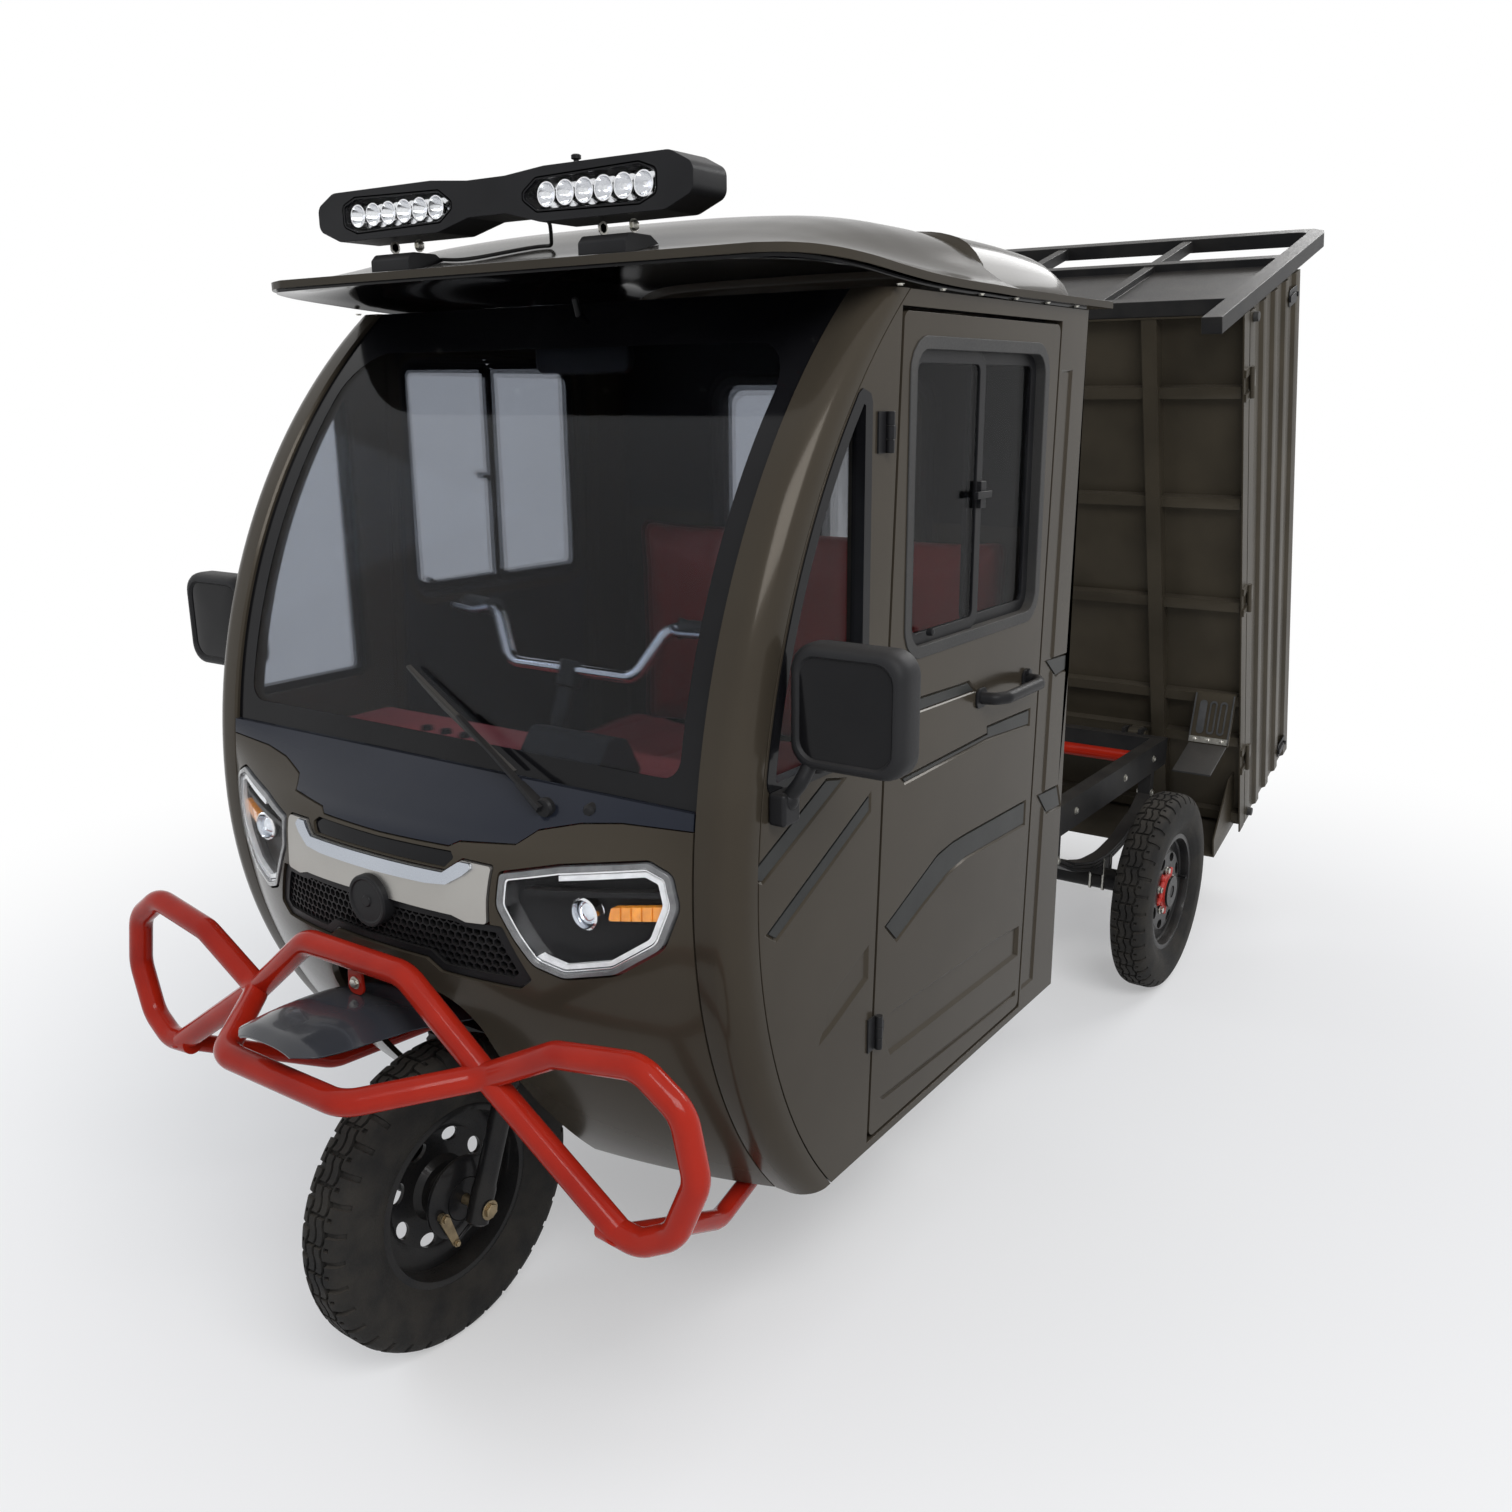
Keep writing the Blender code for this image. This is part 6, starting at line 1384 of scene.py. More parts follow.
def roof_skin(lift, drop, half_gap, floor):
    shares = [(1.0 - math.cos(math.pi * 0.5 * i / 34)) for i in range(35)]
    shares = [1.0 - s for s in reversed(shares)]
    rings = []
    for behind in roof_places():
        half = smooth_value([(s[0], s[2]) for s in ROOF_STATIONS], behind) - half_gap
        row = [(half * s, max(floor + 0.0004, roof_height(behind, s) + lift)) for s in shares]
        row = [(-x, z) for x, z in reversed(row[1:])] + row
        y = ROOF_FRONT + behind
        rings.append([(x, y, z) for x, z in row] + [(x, y, max(floor, z - drop)) for x, z in reversed(row)])
    return loft(rings)


# The roof's paint is the cab paint darkened, which paints shade on its top.
add_piece(
    "roof_shell", roof_skin(0.0, 0.0125, 0.0, CAB_TOP + 0.0003), roof_paint_shaded, CAB, ("roof",),
    sharp=40.0, soft=0.0015)
add_piece(
    "roof_lining", roof_skin(-0.0128, 0.0048, 0.012, CAB_TOP + 0.0003), gloss_black, CAB,
    sharp=40.0,
    cuts=[
        box((-0.7, 0.7), (ROOF_FRONT - 0.05, ROOF_FRONT + 0.010), (1.6, 2.0)),
        box((-0.7, 0.7), (CAB_REAR - 0.02, CAB_REAR + 0.3), (1.6, 2.0))])
screws = []
for x in (-0.42, -0.21, 0.0, 0.21, 0.42):
    behind = 0.060 + 0.10 * (abs(x) > 0.4)
    screws.append(
        bolt(
            (x, ROOF_FRONT + behind, roof_height(behind, abs(x) / 0.58) - 0.0172), (0, 0, -1), 0.005, 0.004)
    )
for i in range(6):
    y = back(0.46) + i * 0.135
    for x in (-0.592, 0.592):
        screws.append(bolt((x, y, CAB_TOP + 0.0035), (0, 0, -1), 0.0045, 0.003))
add_piece("roof_screws", joined(screws), zinc, CAB)
print("roof", piece_count)

# %% [markdown]
# ## The lamp bar
# The bar on the visor is a bow-tie shaped housing with two framed windows. Each window holds six
# bright reflectors with a light chip in the middle. It stands on two bolted feet, a knob sticks out
# on top, and a thin cable drops to the roof and wanders across it to the other foot.

# %% Lamp bar
BAR_Y, BAR_DEEP, BAR_LOW, BAR_HIGH, BAR_END = back(0.268), 0.040, 1.814, 1.891, 0.395
FOOT_X = 0.227
REFLECTORS, FIRST_REFLECTOR_X, REFLECTOR_PITCH = 6, 0.118, 0.037
waist = (BAR_HIGH - BAR_LOW) * 0.22
bar_outline = [
    (BAR_LOW + 0.020, -BAR_END), (BAR_LOW, -BAR_END + 0.050), (BAR_LOW, -0.110), (BAR_LOW + waist, -0.040),
    (BAR_LOW + waist, 0.040), (BAR_LOW, 0.110), (BAR_LOW, BAR_END - 0.050), (BAR_LOW + 0.020, BAR_END),
    (BAR_HIGH - 0.020, BAR_END), (BAR_HIGH, BAR_END - 0.040), (BAR_HIGH, 0.120),
    (BAR_HIGH - waist * 0.4, 0.040), (BAR_HIGH - waist * 0.4, -0.040), (BAR_HIGH, -0.120),
    (BAR_HIGH, -BAR_END + 0.040), (BAR_HIGH - 0.020, -BAR_END)]
bar_outline = rounded(bar_outline, [0.016, 0.03, 0.03, 0.03, 0.03, 0.03, 0.03, 0.016] * 2, 5)
window_half = [
    (1.852, 0.070), (1.874, 0.104), (1.8785, 0.300), (1.868, 0.330), (1.838, 0.330), (1.8265, 0.300),
    (1.830, 0.104)]
windows = [rounded([(z, x * side) for z, x in window_half][::side], 0.008, 3) for _, side in SIDES]
front_face = BAR_Y - BAR_DEEP
add_piece(
    "lamp_bar_housing", prism(bar_outline, "Y", front_face, BAR_Y + BAR_DEEP), satin_plastic, CAB,
    ("light_bar",), soft=0.007,
    cuts=[
        between(outline, grown(outline, -0.006), "Y", front_face - 0.001, front_face + 0.026)
        for outline in windows])
chips, bowls = [], []
for _, side in SIDES:
    for i in range(REFLECTORS):
        centre = (side * (FIRST_REFLECTOR_X + i * REFLECTOR_PITCH), front_face + 0.0225, 1.8525)
        bowls.append(
            turned(
                [
                    (-0.0160, 0.0178), (-0.0160, 0.0160), (-0.004, 0.0108), (0.001, 0.0048), (0.001, 0.0),
                    (0.003, 0.0), (0.003, 0.0178)], centre, "Y", 26, closed=False))
        chips.append(
            turned(
                [(-0.004, 0.0), (-0.0030, 0.0032), (0.0, 0.0040), (0.0, 0.0)], centre, "Y", 14,
                closed=False))
add_piece("lamp_bar_reflectors", joined(bowls), reflector_silver, CAB)
add_piece("lamp_bar_chips", joined(chips), led_chip, CAB)
add_piece(
    "lamp_bar_lenses",
    joined([
        prism(grown(outline, -0.0035), "Y", front_face + 0.0020, front_face + 0.0045)
        for outline in windows]), lamp_cover, CAB)
add_piece(
    "lamp_bar_frames",
    joined([
        ring(grown(outline, 0.004), grown(outline, -0.0015), "Y", front_face, front_face + 0.004)
        for outline in windows]), gloss_black, CAB, soft=0.001)
feet = []
for _, side in SIDES:
    x = FOOT_X * side
    feet.append(
        box((x - 0.028, x + 0.028), (BAR_Y - 0.022, BAR_Y + 0.022), (CAB_TOP + 0.055, BAR_LOW + 0.006)))
    base = [
        (BAR_Y - 0.040, CAB_TOP + 0.040), (BAR_Y + 0.045, CAB_TOP + 0.040), (BAR_Y + 0.045, 1.776),
        (BAR_Y + 0.020, 1.7905), (BAR_Y - 0.030, 1.7905), (BAR_Y - 0.040, 1.780)]
    feet.append(prism(rounded(base, [0, 0, 0.006, 0.01, 0.01, 0.006], 3), "X", x - 0.045, x + 0.045))
roof_space = roof_skin(0.0010, 0.30, 0.0, CAB_TOP - 0.05)
add_piece(
    "lamp_bar_feet", joined(feet), satin_plastic, CAB, soft=0.0018, cuts=[roof_space])
foot_bolts = [
    bolt((FOOT_X * side + 0.0285 * way, BAR_Y, 1.803), (way, 0, 0), 0.0075, 0.006) for _, side in SIDES
    for way in (1, -1)]
add_piece("lamp_bar_bolts", joined(foot_bolts), zinc, CAB)
knob = turned(
    [
        (0.0, 0.0), (0.0, 0.007), (0.004, 0.007), (0.005, 0.004), (0.010, 0.004), (0.0115, 0.0075),
        (0.0165, 0.0075), (0.018, 0.005), (0.018, 0.0)], (0.150, BAR_Y, BAR_HIGH - 0.0005), "Z", 20,
    closed=False)
add_piece("lamp_bar_knob", knob, satin_plastic, CAB)
cable_top = (0.055, BAR_Y + 0.034, 1.8300)
cable_points = [
    Vector(cable_top), Vector((0.050, BAR_Y + 0.046, 1.822)), Vector((0.042, BAR_Y + 0.056, 1.812))]
# after the drop it lies on the roof and wanders across to the other foot
for i in range(16):
    share = i / 15
    behind = BAR_Y - ROOF_FRONT + 0.060 + 0.016 * math.sin(math.pi * (0.2 + 2.1 * share)) - 0.034 * share
    x = 0.030 - 0.227 * share
    cable_points.append(Vector((x, ROOF_FRONT + behind, roof_height(behind, abs(x) / 0.6) + 0.0042)))
cable_route = bent(cable_points, 0.02, 4)
cable = add_piece("lamp_bar_cable", sweep(cable_route, circle(0, 0, 0.003, 12)), soft_rubber, CAB)

# %% [markdown]
# ## The red bar
# The front bar is two bent tubes that cross and form wings. A tube is a circle carried along a
# route whose corners are turned on a bend radius, the way a tube bender does it. Small weld beads
# sit where the tubes meet and where the wings end, and a tab with a bolt hangs from the middle.

# %% Bar tubes
BUMPER_Y = back(-0.132)
upper_route = [
    (-0.510, 0.0, 0.452), (-0.265, 0.0, 0.618), (-0.113, -0.006, 0.741), (0.113, -0.006, 0.741),
    (0.265, 0.0, 0.618), (0.510, 0.0, 0.452)]
wing = [
    (0.137, -0.155, 0.604), (0.265, 0.0, 0.618), (0.400, 0.004, 0.690), (0.545, 0.010, 0.712),
    (0.615, 0.012, 0.665), (0.636, 0.012, 0.570), (0.600, 0.006, 0.480), (0.545, 0.0, 0.450),
    (0.480, 0.0, 0.456)]
lower_route = [(-x, y, z) for x, y, z in reversed(wing)] + wing


def placed_route(route):
    return [(x, BUMPER_Y + y, z) for x, y, z in route]


bar_parts = [tube(placed_route(route), 0.020, 0.055, 24, 8) for route in (upper_route, lower_route)]
for _, side in SIDES:
    stay = [
        (0.515 * side, BUMPER_Y, 0.452), (0.470 * side, back(0.150), 0.300),
        (0.4163 * side, back(0.440), 0.305), (0.4163 * side, back(0.620), 0.305)]
    bar_parts.append(tube(stay, 0.016, 0.08, 20, 8))
add_piece("bar_tubes", joined(bar_parts), red_gloss, CAB, ("bumper",), sharp=50.0)
tab = rounded(
    [(0.6803, -0.018), (0.6803, 0.018), (0.741, 0.014), (0.741, -0.014)], [0.012, 0.012, 0.002, 0.002], 5)
add_piece(
    "bar_tab", prism(tab, "Y", BUMPER_Y - 0.009, BUMPER_Y - 0.004), red_gloss, CAB,
    soft=0.0008)
beads = []
for _, side in SIDES:
    for place, way in (
            ((0.265 * side, BUMPER_Y, 0.618), (0.135 * side, 0.004, 0.072)),
            ((0.508 * side, BUMPER_Y, 0.4525), (-0.02 * side, 0.02, -0.10))):
        way = Vector(way).normalized()
        helper = way.cross(Vector((0.0, 1.0, 0.0))).normalized()
        other = way.cross(helper).normalized()
        ring_route = [
            Vector(place) + (
                helper * math.cos(2 * math.pi * i / 28) + other * math.sin(2 * math.pi * i / 28)) * 0.0205
            for i in range(28)]
        beads.append(sweep(ring_route, circle(0, 0, 0.0022, 6), closed=True))
add_piece("bar_welds", joined(beads), red_gloss, CAB, sharp=60.0)
add_piece("bar_bolt", bolt((0.0, BUMPER_Y - 0.009, 0.700), (0, -1, 0), 0.0075, 0.006), zinc, CAB)

# %% [markdown]
# The front fender is a pressed shell, crowned across and rounded at its lip. Its sections are
# tabulated along its length, and the smooth curve used for the roof fills in between them.

# %% Fender
# behind the axle, height on the middle line, half width, how far the edge drops
FENDER_STATIONS = [
    (-0.309, 0.672, 0.060, 0.008), (-0.285, 0.682, 0.088, 0.020), (-0.215, 0.685, 0.102, 0.030),
    (-0.142, 0.680, 0.106, 0.034), (-0.067, 0.662, 0.106, 0.034), (0.020, 0.640, 0.106, 0.034)]


def fender_at(distance, share, sheet):
    height, half, drop = (smooth_value([(s[0], s[k]) for s in FENDER_STATIONS], distance) for k in (1, 2, 3))
    return ((half - sheet) * share, back(distance) + sheet * 0.4, height - drop * abs(share) ** 3 - sheet)


fender_rings = []
for i in range(45):
    distance = -0.309 + 0.329 * (i / 44) ** 1.25
    shares = [2 * k / 28 - 1 for k in range(29)]
    fender_rings.append(
        [fender_at(distance, s, 0.0) for s in shares]
        + [fender_at(distance, s, 0.0038) for s in reversed(shares)])
add_piece(
    "fender_shell", loft(fender_rings), fender_gloss, CAB, ("front_fender",), soft=0.001)

# %% [markdown]
# ## Tyres
# The tread is a set of wavy ribs in the middle and separate blocks at the shoulders. The trick is
# to let the mesh follow the pattern: its columns run along the wavy grooves and its rows run across
# the slots, so that every block has clean walls without a single cut. The carcass between the
# tread and the bead is the same mesh, only smooth.

# %% Tread
TREAD_PITCHES = 35
# share of a pitch, how deep the shoulder slot is there, whether it is a narrow slit
TREAD_ROWS = [
    (0.0, 0.0, 0.0), (0.020, 1.0, 0.0), (0.19, 1.0, 0.0), (0.215, 0.0, 0.0), (0.28, 0.0, 0.0),
    (0.36, 0.0, 0.0), (0.46, 0.0, 0.0), (0.54, 0.0, 0.0), (0.56, 0.0, 1.0), (0.67, 0.0, 1.0),
    (0.69, 0.0, 0.0), (0.76, 0.0, 0.0), (0.84, 0.0, 0.0), (0.92, 0.0, 0.0)]
# share of the half width, groove depth, part in the wave, part in the shoulder slot, part in the slit
TREAD_COLUMNS = [
    (0.0, 1.0, 1.0, 0, 0), (0.034, 1.0, 1.0, 0, 0), (0.050, 0.0, 1.0, 0, 1), (0.11, 0.0, 0.9, 0, 1),
    (0.20, 0.0, 0.9, 0, 1), (0.29, 0.0, 1.0, 0, 1), (0.306, 1.0, 1.0, 0, 0), (0.390, 1.0, 1.0, 0, 0),
    (0.407, 0.0, 1.0, 1, 0), (0.46, 0.0, 0.7, 1, 0), (0.468, 0.0, 0.7, 1, 1), (0.60, 0.0, 0.3, 1, 1),
    (0.608, 0.0, 0.3, 1, 0), (0.72, 0.0, 0.0, 1, 0), (0.795, 0.0, 0.0, 1, 0), (0.87, 0.0, 0.0, 1, 0),
    (0.905, 0.0, 0.0, 1, 0), (0.925, 0.0, 0.0, 0, 0), (0.965, 0.0, 0.0, 0, 0), (0.990, 0.0, 0.0, 0, 0)]
CROWN = [(0.0, 0.0), (0.35, 0.0), (0.72, 0.006), (0.92, 0.022), (0.975, 0.036), (1.0, 0.054)]
SIDEWALL = [
    (1.0, 0.2103), (0.992, 0.200), (0.960, 0.1895), (0.945, 0.1880), (0.90, 0.1783), (0.80, 0.1680),
    (0.70, 0.1590), (0.62, 0.1530), (0.56, 0.1503)]
GROOVE_DEPTH = 0.0075
# shares of the groove's depth, and the reach of the wave as a share of the half width
SLOT_DEPTH, SLIT_DEPTH, WAVE_REACH = 0.85, 0.80, 0.052
TYRE_HALF = 0.050


def wave(share):
    """A wave with flat tops, once per pitch."""
    turn_by = math.sin(2 * math.pi * share)
    return max(-1.0, min(1.0, turn_by * 1.7))


def tread_tyre(centre):
    columns = [(-s, d, w, a, b) for s, d, w, a, b in reversed(TREAD_COLUMNS[1:])] + TREAD_COLUMNS
    bm = bmesh.new()
    rings = []
    for pitch in range(TREAD_PITCHES):
        for share, slot, slit in TREAD_ROWS:
            turn_by = 2 * math.pi * (pitch + share) / TREAD_PITCHES
            ring = []
            for s, depth, part, in_slot, in_slit in columns:
                across_share = s + WAVE_REACH * part * wave(share)
                fall = smooth_value(CROWN, abs(across_share))
                sunk = max(depth, SLOT_DEPTH * slot * in_slot, SLIT_DEPTH * slit * in_slit) * GROOVE_DEPTH
                radius = WHEEL_HEIGHT - 0.0002 - fall - sunk
                ring.append((across_share * TYRE_HALF, radius))
            ring = (
                [(-s * TYRE_HALF, r) for s, r in reversed(SIDEWALL)] + ring
                + [(s * TYRE_HALF, r) for s, r in SIDEWALL])
            rings.append([
                bm.verts.new((
                    centre[0] + x, centre[1] + r * math.cos(turn_by), centre[2] + r * math.sin(turn_by)))
                for x, r in ring])
    skin(bm, rings, True)
    return bm


WHEELS = [
    ("front", (0.0, FRONT_AXLE_Y, WHEEL_HEIGHT), -1, "front_wheel", 0.0096, 0.036, 0.052, 0.052),
    (
        "rear_left", (REAR_WHEEL_X, REAR_AXLE_Y, WHEEL_HEIGHT), 1, "rear_wheel_left", 0.0166, 0.042, 0.040,
        0.036),
    (
        "rear_right", (-REAR_WHEEL_X, REAR_AXLE_Y, WHEEL_HEIGHT), -1, "rear_wheel_right", 0.0166, 0.042,
        0.040, 0.036)]
NODE_LABELS = {
    "front": ("front_tyre", "front_rim"), "rear_left": ("rear_tyre_left", "rear_rim_left"),
    "rear_right": ("rear_tyre_right", "rear_rim_right")}
for name, centre, side, body, bore, hub, hub_in, hub_out in WHEELS:
    tyre_node, rim_node = NODE_LABELS[name]
    add_piece(f"{name}_tread_tyre", tread_tyre(centre), tyre_rubber, body, (tyre_node,), sharp=28.0)

# %% [markdown]
# ## Rims
# A pressed steel rim has a rolled flange, a stepped well and a dished disc with oval holes. Here the
# whole section is turned at once and the holes are cut. Nuts, a hub cap and a valve stem make it
# look mounted. The rear hubs are red; the front one carries a brake plate with its arm.

# %% Rims, hubs and nuts
RIM_HOLES, HOLE_CIRCLE = 8, 0.092
NUTS, NUT_CIRCLE = 5, 0.056


def on_circle(centre, x, radius, turn_by):
    """A point at x on a circle round the wheel's axle."""
    return Vector((x, centre[1] + radius * math.cos(turn_by), centre[2] + radius * math.sin(turn_by)))


for name, centre, side, body, bore, hub, hub_in, hub_out in WHEELS:
    tyre_node, rim_node = NODE_LABELS[name]
    profile = [
        (-hub_in, bore), (-hub_in, hub), (0.000, hub), (0.001, hub + 0.012), (0.0105, hub + 0.022),
        (0.0115, 0.075), (0.0105, 0.104), (0.004, 0.114), (0.002, 0.124), (0.002, 0.1400), (-0.010, 0.1395),
        (-0.024, 0.1430), (-0.0345, 0.1455), (-0.0350, 0.1560), (-0.0335, 0.1590), (-0.0315, 0.1590),
        (-0.0302, 0.1520), (-0.0260, 0.1500), (0.0260, 0.1500), (0.0302, 0.1520), (0.0315, 0.1590),
        (0.0335, 0.1590), (0.0350, 0.1560), (0.0345, 0.1455), (0.026, 0.1430), (0.013, 0.1415),
        (0.0095, 0.1380), (0.0095, 0.124), (0.0105, 0.116), (0.0175, 0.106), (0.0185, 0.075),
        (0.0165, hub + 0.020), (0.0100, hub + 0.012), (0.0090, hub), (hub_out, hub), (hub_out, bore)]
    holes = []
    for i in range(RIM_HOLES):
        turn_by = 2.0 * math.pi * (i + 0.55) / RIM_HOLES
        outline = []
        for a, b in circle(0.0, 0.0, 1.0, 24):
            radius, step = HOLE_CIRCLE + b * 0.0125, a * 0.0185
            outline.append((
                centre[1] + radius * math.cos(turn_by) - step * math.sin(turn_by),
                centre[2] + radius * math.sin(turn_by) + step * math.cos(turn_by)))
        holes.append(prism(outline, "X", centre[0] - 0.03, centre[0] + 0.03))
    rim_mesh = turned([(a * side, r) for a, r in profile], centre, "X", 96)
    add_piece(
        f"{name}_rim_pressed", rim_mesh, rim_black, body, (rim_node,), sharp=30.0,
        soft=0.0008, cuts=holes)
    fittings = []
    nut_x = centre[0] + 0.0165 * side
    for i in range(NUTS):
        place = on_circle(centre, nut_x, NUT_CIRCLE, 2.0 * math.pi * (i + 0.25) / NUTS)
        fittings.append(bolt(place, (side, 0, 0), 0.0085, 0.010))
    add_piece(f"{name}_wheel_nuts", joined(fittings), zinc, body, soft=0.0005)
    if name != "front":
        cap_profile = [
            (0.0100, 0.0430), (0.0160, 0.0475), (0.0200, 0.0470), (0.0240, 0.0430), (0.0300, 0.0425),
            (0.0300, 0.0425)]
        cap = turned([(a * side, r) for a, r in cap_profile], centre, "X", 48)
        ribs = []
        for i in range(NUTS):
            turn_by = 2.0 * math.pi * (i + 0.75) / NUTS
            route = [on_circle(centre, centre[0] + 0.017 * side, r, turn_by) for r in (0.044, 0.066)]
            ribs.append(sweep(route, circle(0, 0, 0.0075, 12), scale=[1.0, 0.75]))
        add_piece(f"{name}_hub", joined([cap] + ribs), red_hub, body, soft=0.0006)
    valve = sweep(
        [
            Vector((centre[0] + 0.012 * side, centre[1] + 0.134, centre[2])),
            Vector((centre[0] + 0.034 * side, centre[1] + 0.127, centre[2]))], circle(0, 0, 0.0035, 12))
    add_piece(f"{name}_valve", valve, satin_plastic, body)
print("wheels", piece_count)

# %% [markdown]
# ## Fork and handlebar
# The front wheel hangs in a telescopic fork: two slim upper tubes slide in two thicker legs, with a
# rubber wiper at each mouth. A crown joins them under the steering head. The chrome bar inside the
# cab rises at both ends and carries grips and brake levers.

# %% Fork
CASTER = math.radians(22.0)
LEG_X = 0.088
AXIS_WAY = Vector((0.0, math.sin(CASTER), math.cos(CASTER)))
AXIS_FOOT = Vector((0.0, -1.3882, 0.265))


def on_axis(z):
    return AXIS_FOOT + AXIS_WAY * ((z - AXIS_FOOT.z) / AXIS_WAY.z)


def leg_point(side, along):
    return Vector((LEG_X * side, FRONT_AXLE_Y, WHEEL_HEIGHT)) + AXIS_WAY * along


reach = 0.355 / AXIS_WAY.z
legs, sliders, boots = [], [], []
for _, side in SIDES:
    route = [leg_point(side, a) for a in (-0.030, -0.026, 0.030, 0.040, 0.190, 0.200)]
    legs.append(sweep(route, circle(0, 0, 0.0205, 28), scale=[0.75, 0.95, 1.0, 0.90, 0.90, 0.98]))
    sliders.append(sweep([leg_point(side, 0.19), leg_point(side, reach + 0.02)], circle(0, 0, 0.0148, 24)))
    along = [0.196 + 0.006 * i for i in range(9)]
    boots.append(
        sweep(
            [leg_point(side, a) for a in along], circle(0, 0, 0.0200, 24),
            scale=[1.0 if i % 2 == 0 else 0.86 for i in range(9)]))
add_piece("fork_legs", joined(legs), rim_black, "steering", ("fork",), sharp=30.0)
add_piece("fork_sliders", joined(sliders), steel_black, "steering", sharp=30.0)
add_piece("fork_wipers", joined(boots), soft_rubber, "steering", sharp=60.0)
crown_at = on_axis(0.620)
lead = crown_at.y - (FRONT_AXLE_Y + reach * AXIS_WAY.y)
crown_outline = rounded(
    [
        (crown_at.y - lead - 0.024, 0.604), (crown_at.y + 0.024, 0.604), (crown_at.y + 0.034, 0.636),
        (crown_at.y - lead - 0.014, 0.636)], 0.007, 3)
add_piece(
    "fork_crown", prism(crown_outline, "X", -0.1085, 0.1085), steel_black, "steering",
    soft=0.003)
add_piece(
    "fork_stem", sweep([crown_at, on_axis(1.070)], circle(0, 0, 0.0149, 24)), steel_black, "steering")
axle_parts = [tube([(-0.117, FRONT_AXLE_Y, WHEEL_HEIGHT), (0.117, FRONT_AXLE_Y, WHEEL_HEIGHT)], 0.0088)]
for _, side in SIDES:
    axle_parts.append(bolt((0.1092 * side, FRONT_AXLE_Y, WHEEL_HEIGHT), (side, 0, 0), 0.0125, 0.0075))
add_piece("front_axle", joined(axle_parts), warm_brass, "steering", soft=0.0005)
plate_centre = (0.0, FRONT_AXLE_Y, WHEEL_HEIGHT)
brake_plate = turned(
    [
        (0.034, 0.0372), (0.034, 0.0690), (0.0375, 0.0715), (0.0425, 0.0715), (0.046, 0.064),
        (0.050, 0.050), (0.0515, 0.0372)], plate_centre, "X", 64)
add_piece("brake_plate", brake_plate, rim_black, "steering", soft=0.0006)
arm_start = Vector((0.0565, FRONT_AXLE_Y - 0.052, WHEEL_HEIGHT - 0.008))
arm_end = Vector((0.0565, FRONT_AXLE_Y - 0.030, WHEEL_HEIGHT - 0.066))
arm = [
    sweep(
        [arm_start, arm_end], [(-0.0022, -0.010), (0.0022, -0.010), (0.0022, 0.010), (-0.0022, 0.010)],
        scale=[1.0, 0.72]), bolt(arm_start + Vector((0.002, 0, 0)), (1, 0, 0), 0.0068, 0.0065),
    bolt(arm_end + Vector((0.002, 0, 0)), (1, 0, 0), 0.0048, 0.005),
    sweep(
        [Vector((0.0480, arm_start.y, arm_start.z)), Vector((0.0555, arm_start.y, arm_start.z))],
        circle(0, 0, 0.0075, 16))]
add_piece("brake_arm", joined(arm), warm_brass, "steering", soft=0.0006)
hose = [
    tuple(arm_end + Vector((0.0, 0.006, 0.004))), (0.0600, FRONT_AXLE_Y + 0.020, WHEEL_HEIGHT - 0.035),
    (0.0610, FRONT_AXLE_Y + 0.052, WHEEL_HEIGHT + 0.080),
    (0.0620, FRONT_AXLE_Y + 0.105, WHEEL_HEIGHT + 0.210),
    (0.0680, FRONT_AXLE_Y + 0.150, WHEEL_HEIGHT + 0.335)]
add_piece("brake_line", tube(hose, 0.0032, 0.05, 10, 5), satin_plastic, "steering")

# %% Handlebar
clamp = on_axis(1.100)
bar_arm = [(0.145, 0.0, 0.0), (0.200, 0.030, 0.088), (0.345, 0.090, 0.080)]
bar_route = [(-x, clamp.y + y, clamp.z + z) for x, y, z in reversed(bar_arm)]
bar_route += [(x, clamp.y + y, clamp.z + z) for x, y, z in bar_arm]
add_piece("bar_chrome", tube(bar_route, 0.0108, 0.04, 24, 8), chrome, "steering", ("handlebar",))
add_piece(
    "bar_clamp", sweep([on_axis(1.0705), on_axis(1.114)], circle(0, 0, 0.0215, 28)), steel_black,
    "steering", soft=0.003)
grips, levers = [], []
for _, side in SIDES:
    start = Vector((0.215 * side, clamp.y + 0.036, clamp.z + 0.0873))
    end = Vector((0.345 * side, clamp.y + 0.090, clamp.z + 0.080))
    way = (end - start).normalized()
    marks = [start + way * (0.008 * i) for i in range(17)]
    grips.append(sweep(marks, circle(0, 0, 0.0162, 22), scale=[1.15] + [1.0, 0.93] * 8))
    levers.append(
        tube(
            [
                tuple(start + Vector((0.0, -0.020, 0.004))),
                tuple(start + way * 0.02 + Vector((0, -0.045, 0))),
                tuple(start + way * 0.125 + Vector((0.0, -0.040, 0.0)))], 0.0052, 0.015, 12))
add_piece("grips", joined(grips), soft_rubber, "steering", sharp=50.0)
add_piece("levers", joined(levers), satin_silver, "steering")
print("steering", piece_count)

# %% [markdown]
# ## Chassis, axle and springs
# The frame's box sections are right as they are; they only need their edges rounded, so their own
# solids are taken over and bevelled. The axle tube with its brake drums and the ribbed motor are
# turned again with fine sections. Leaf springs, their clips and bolts finish the view from below.

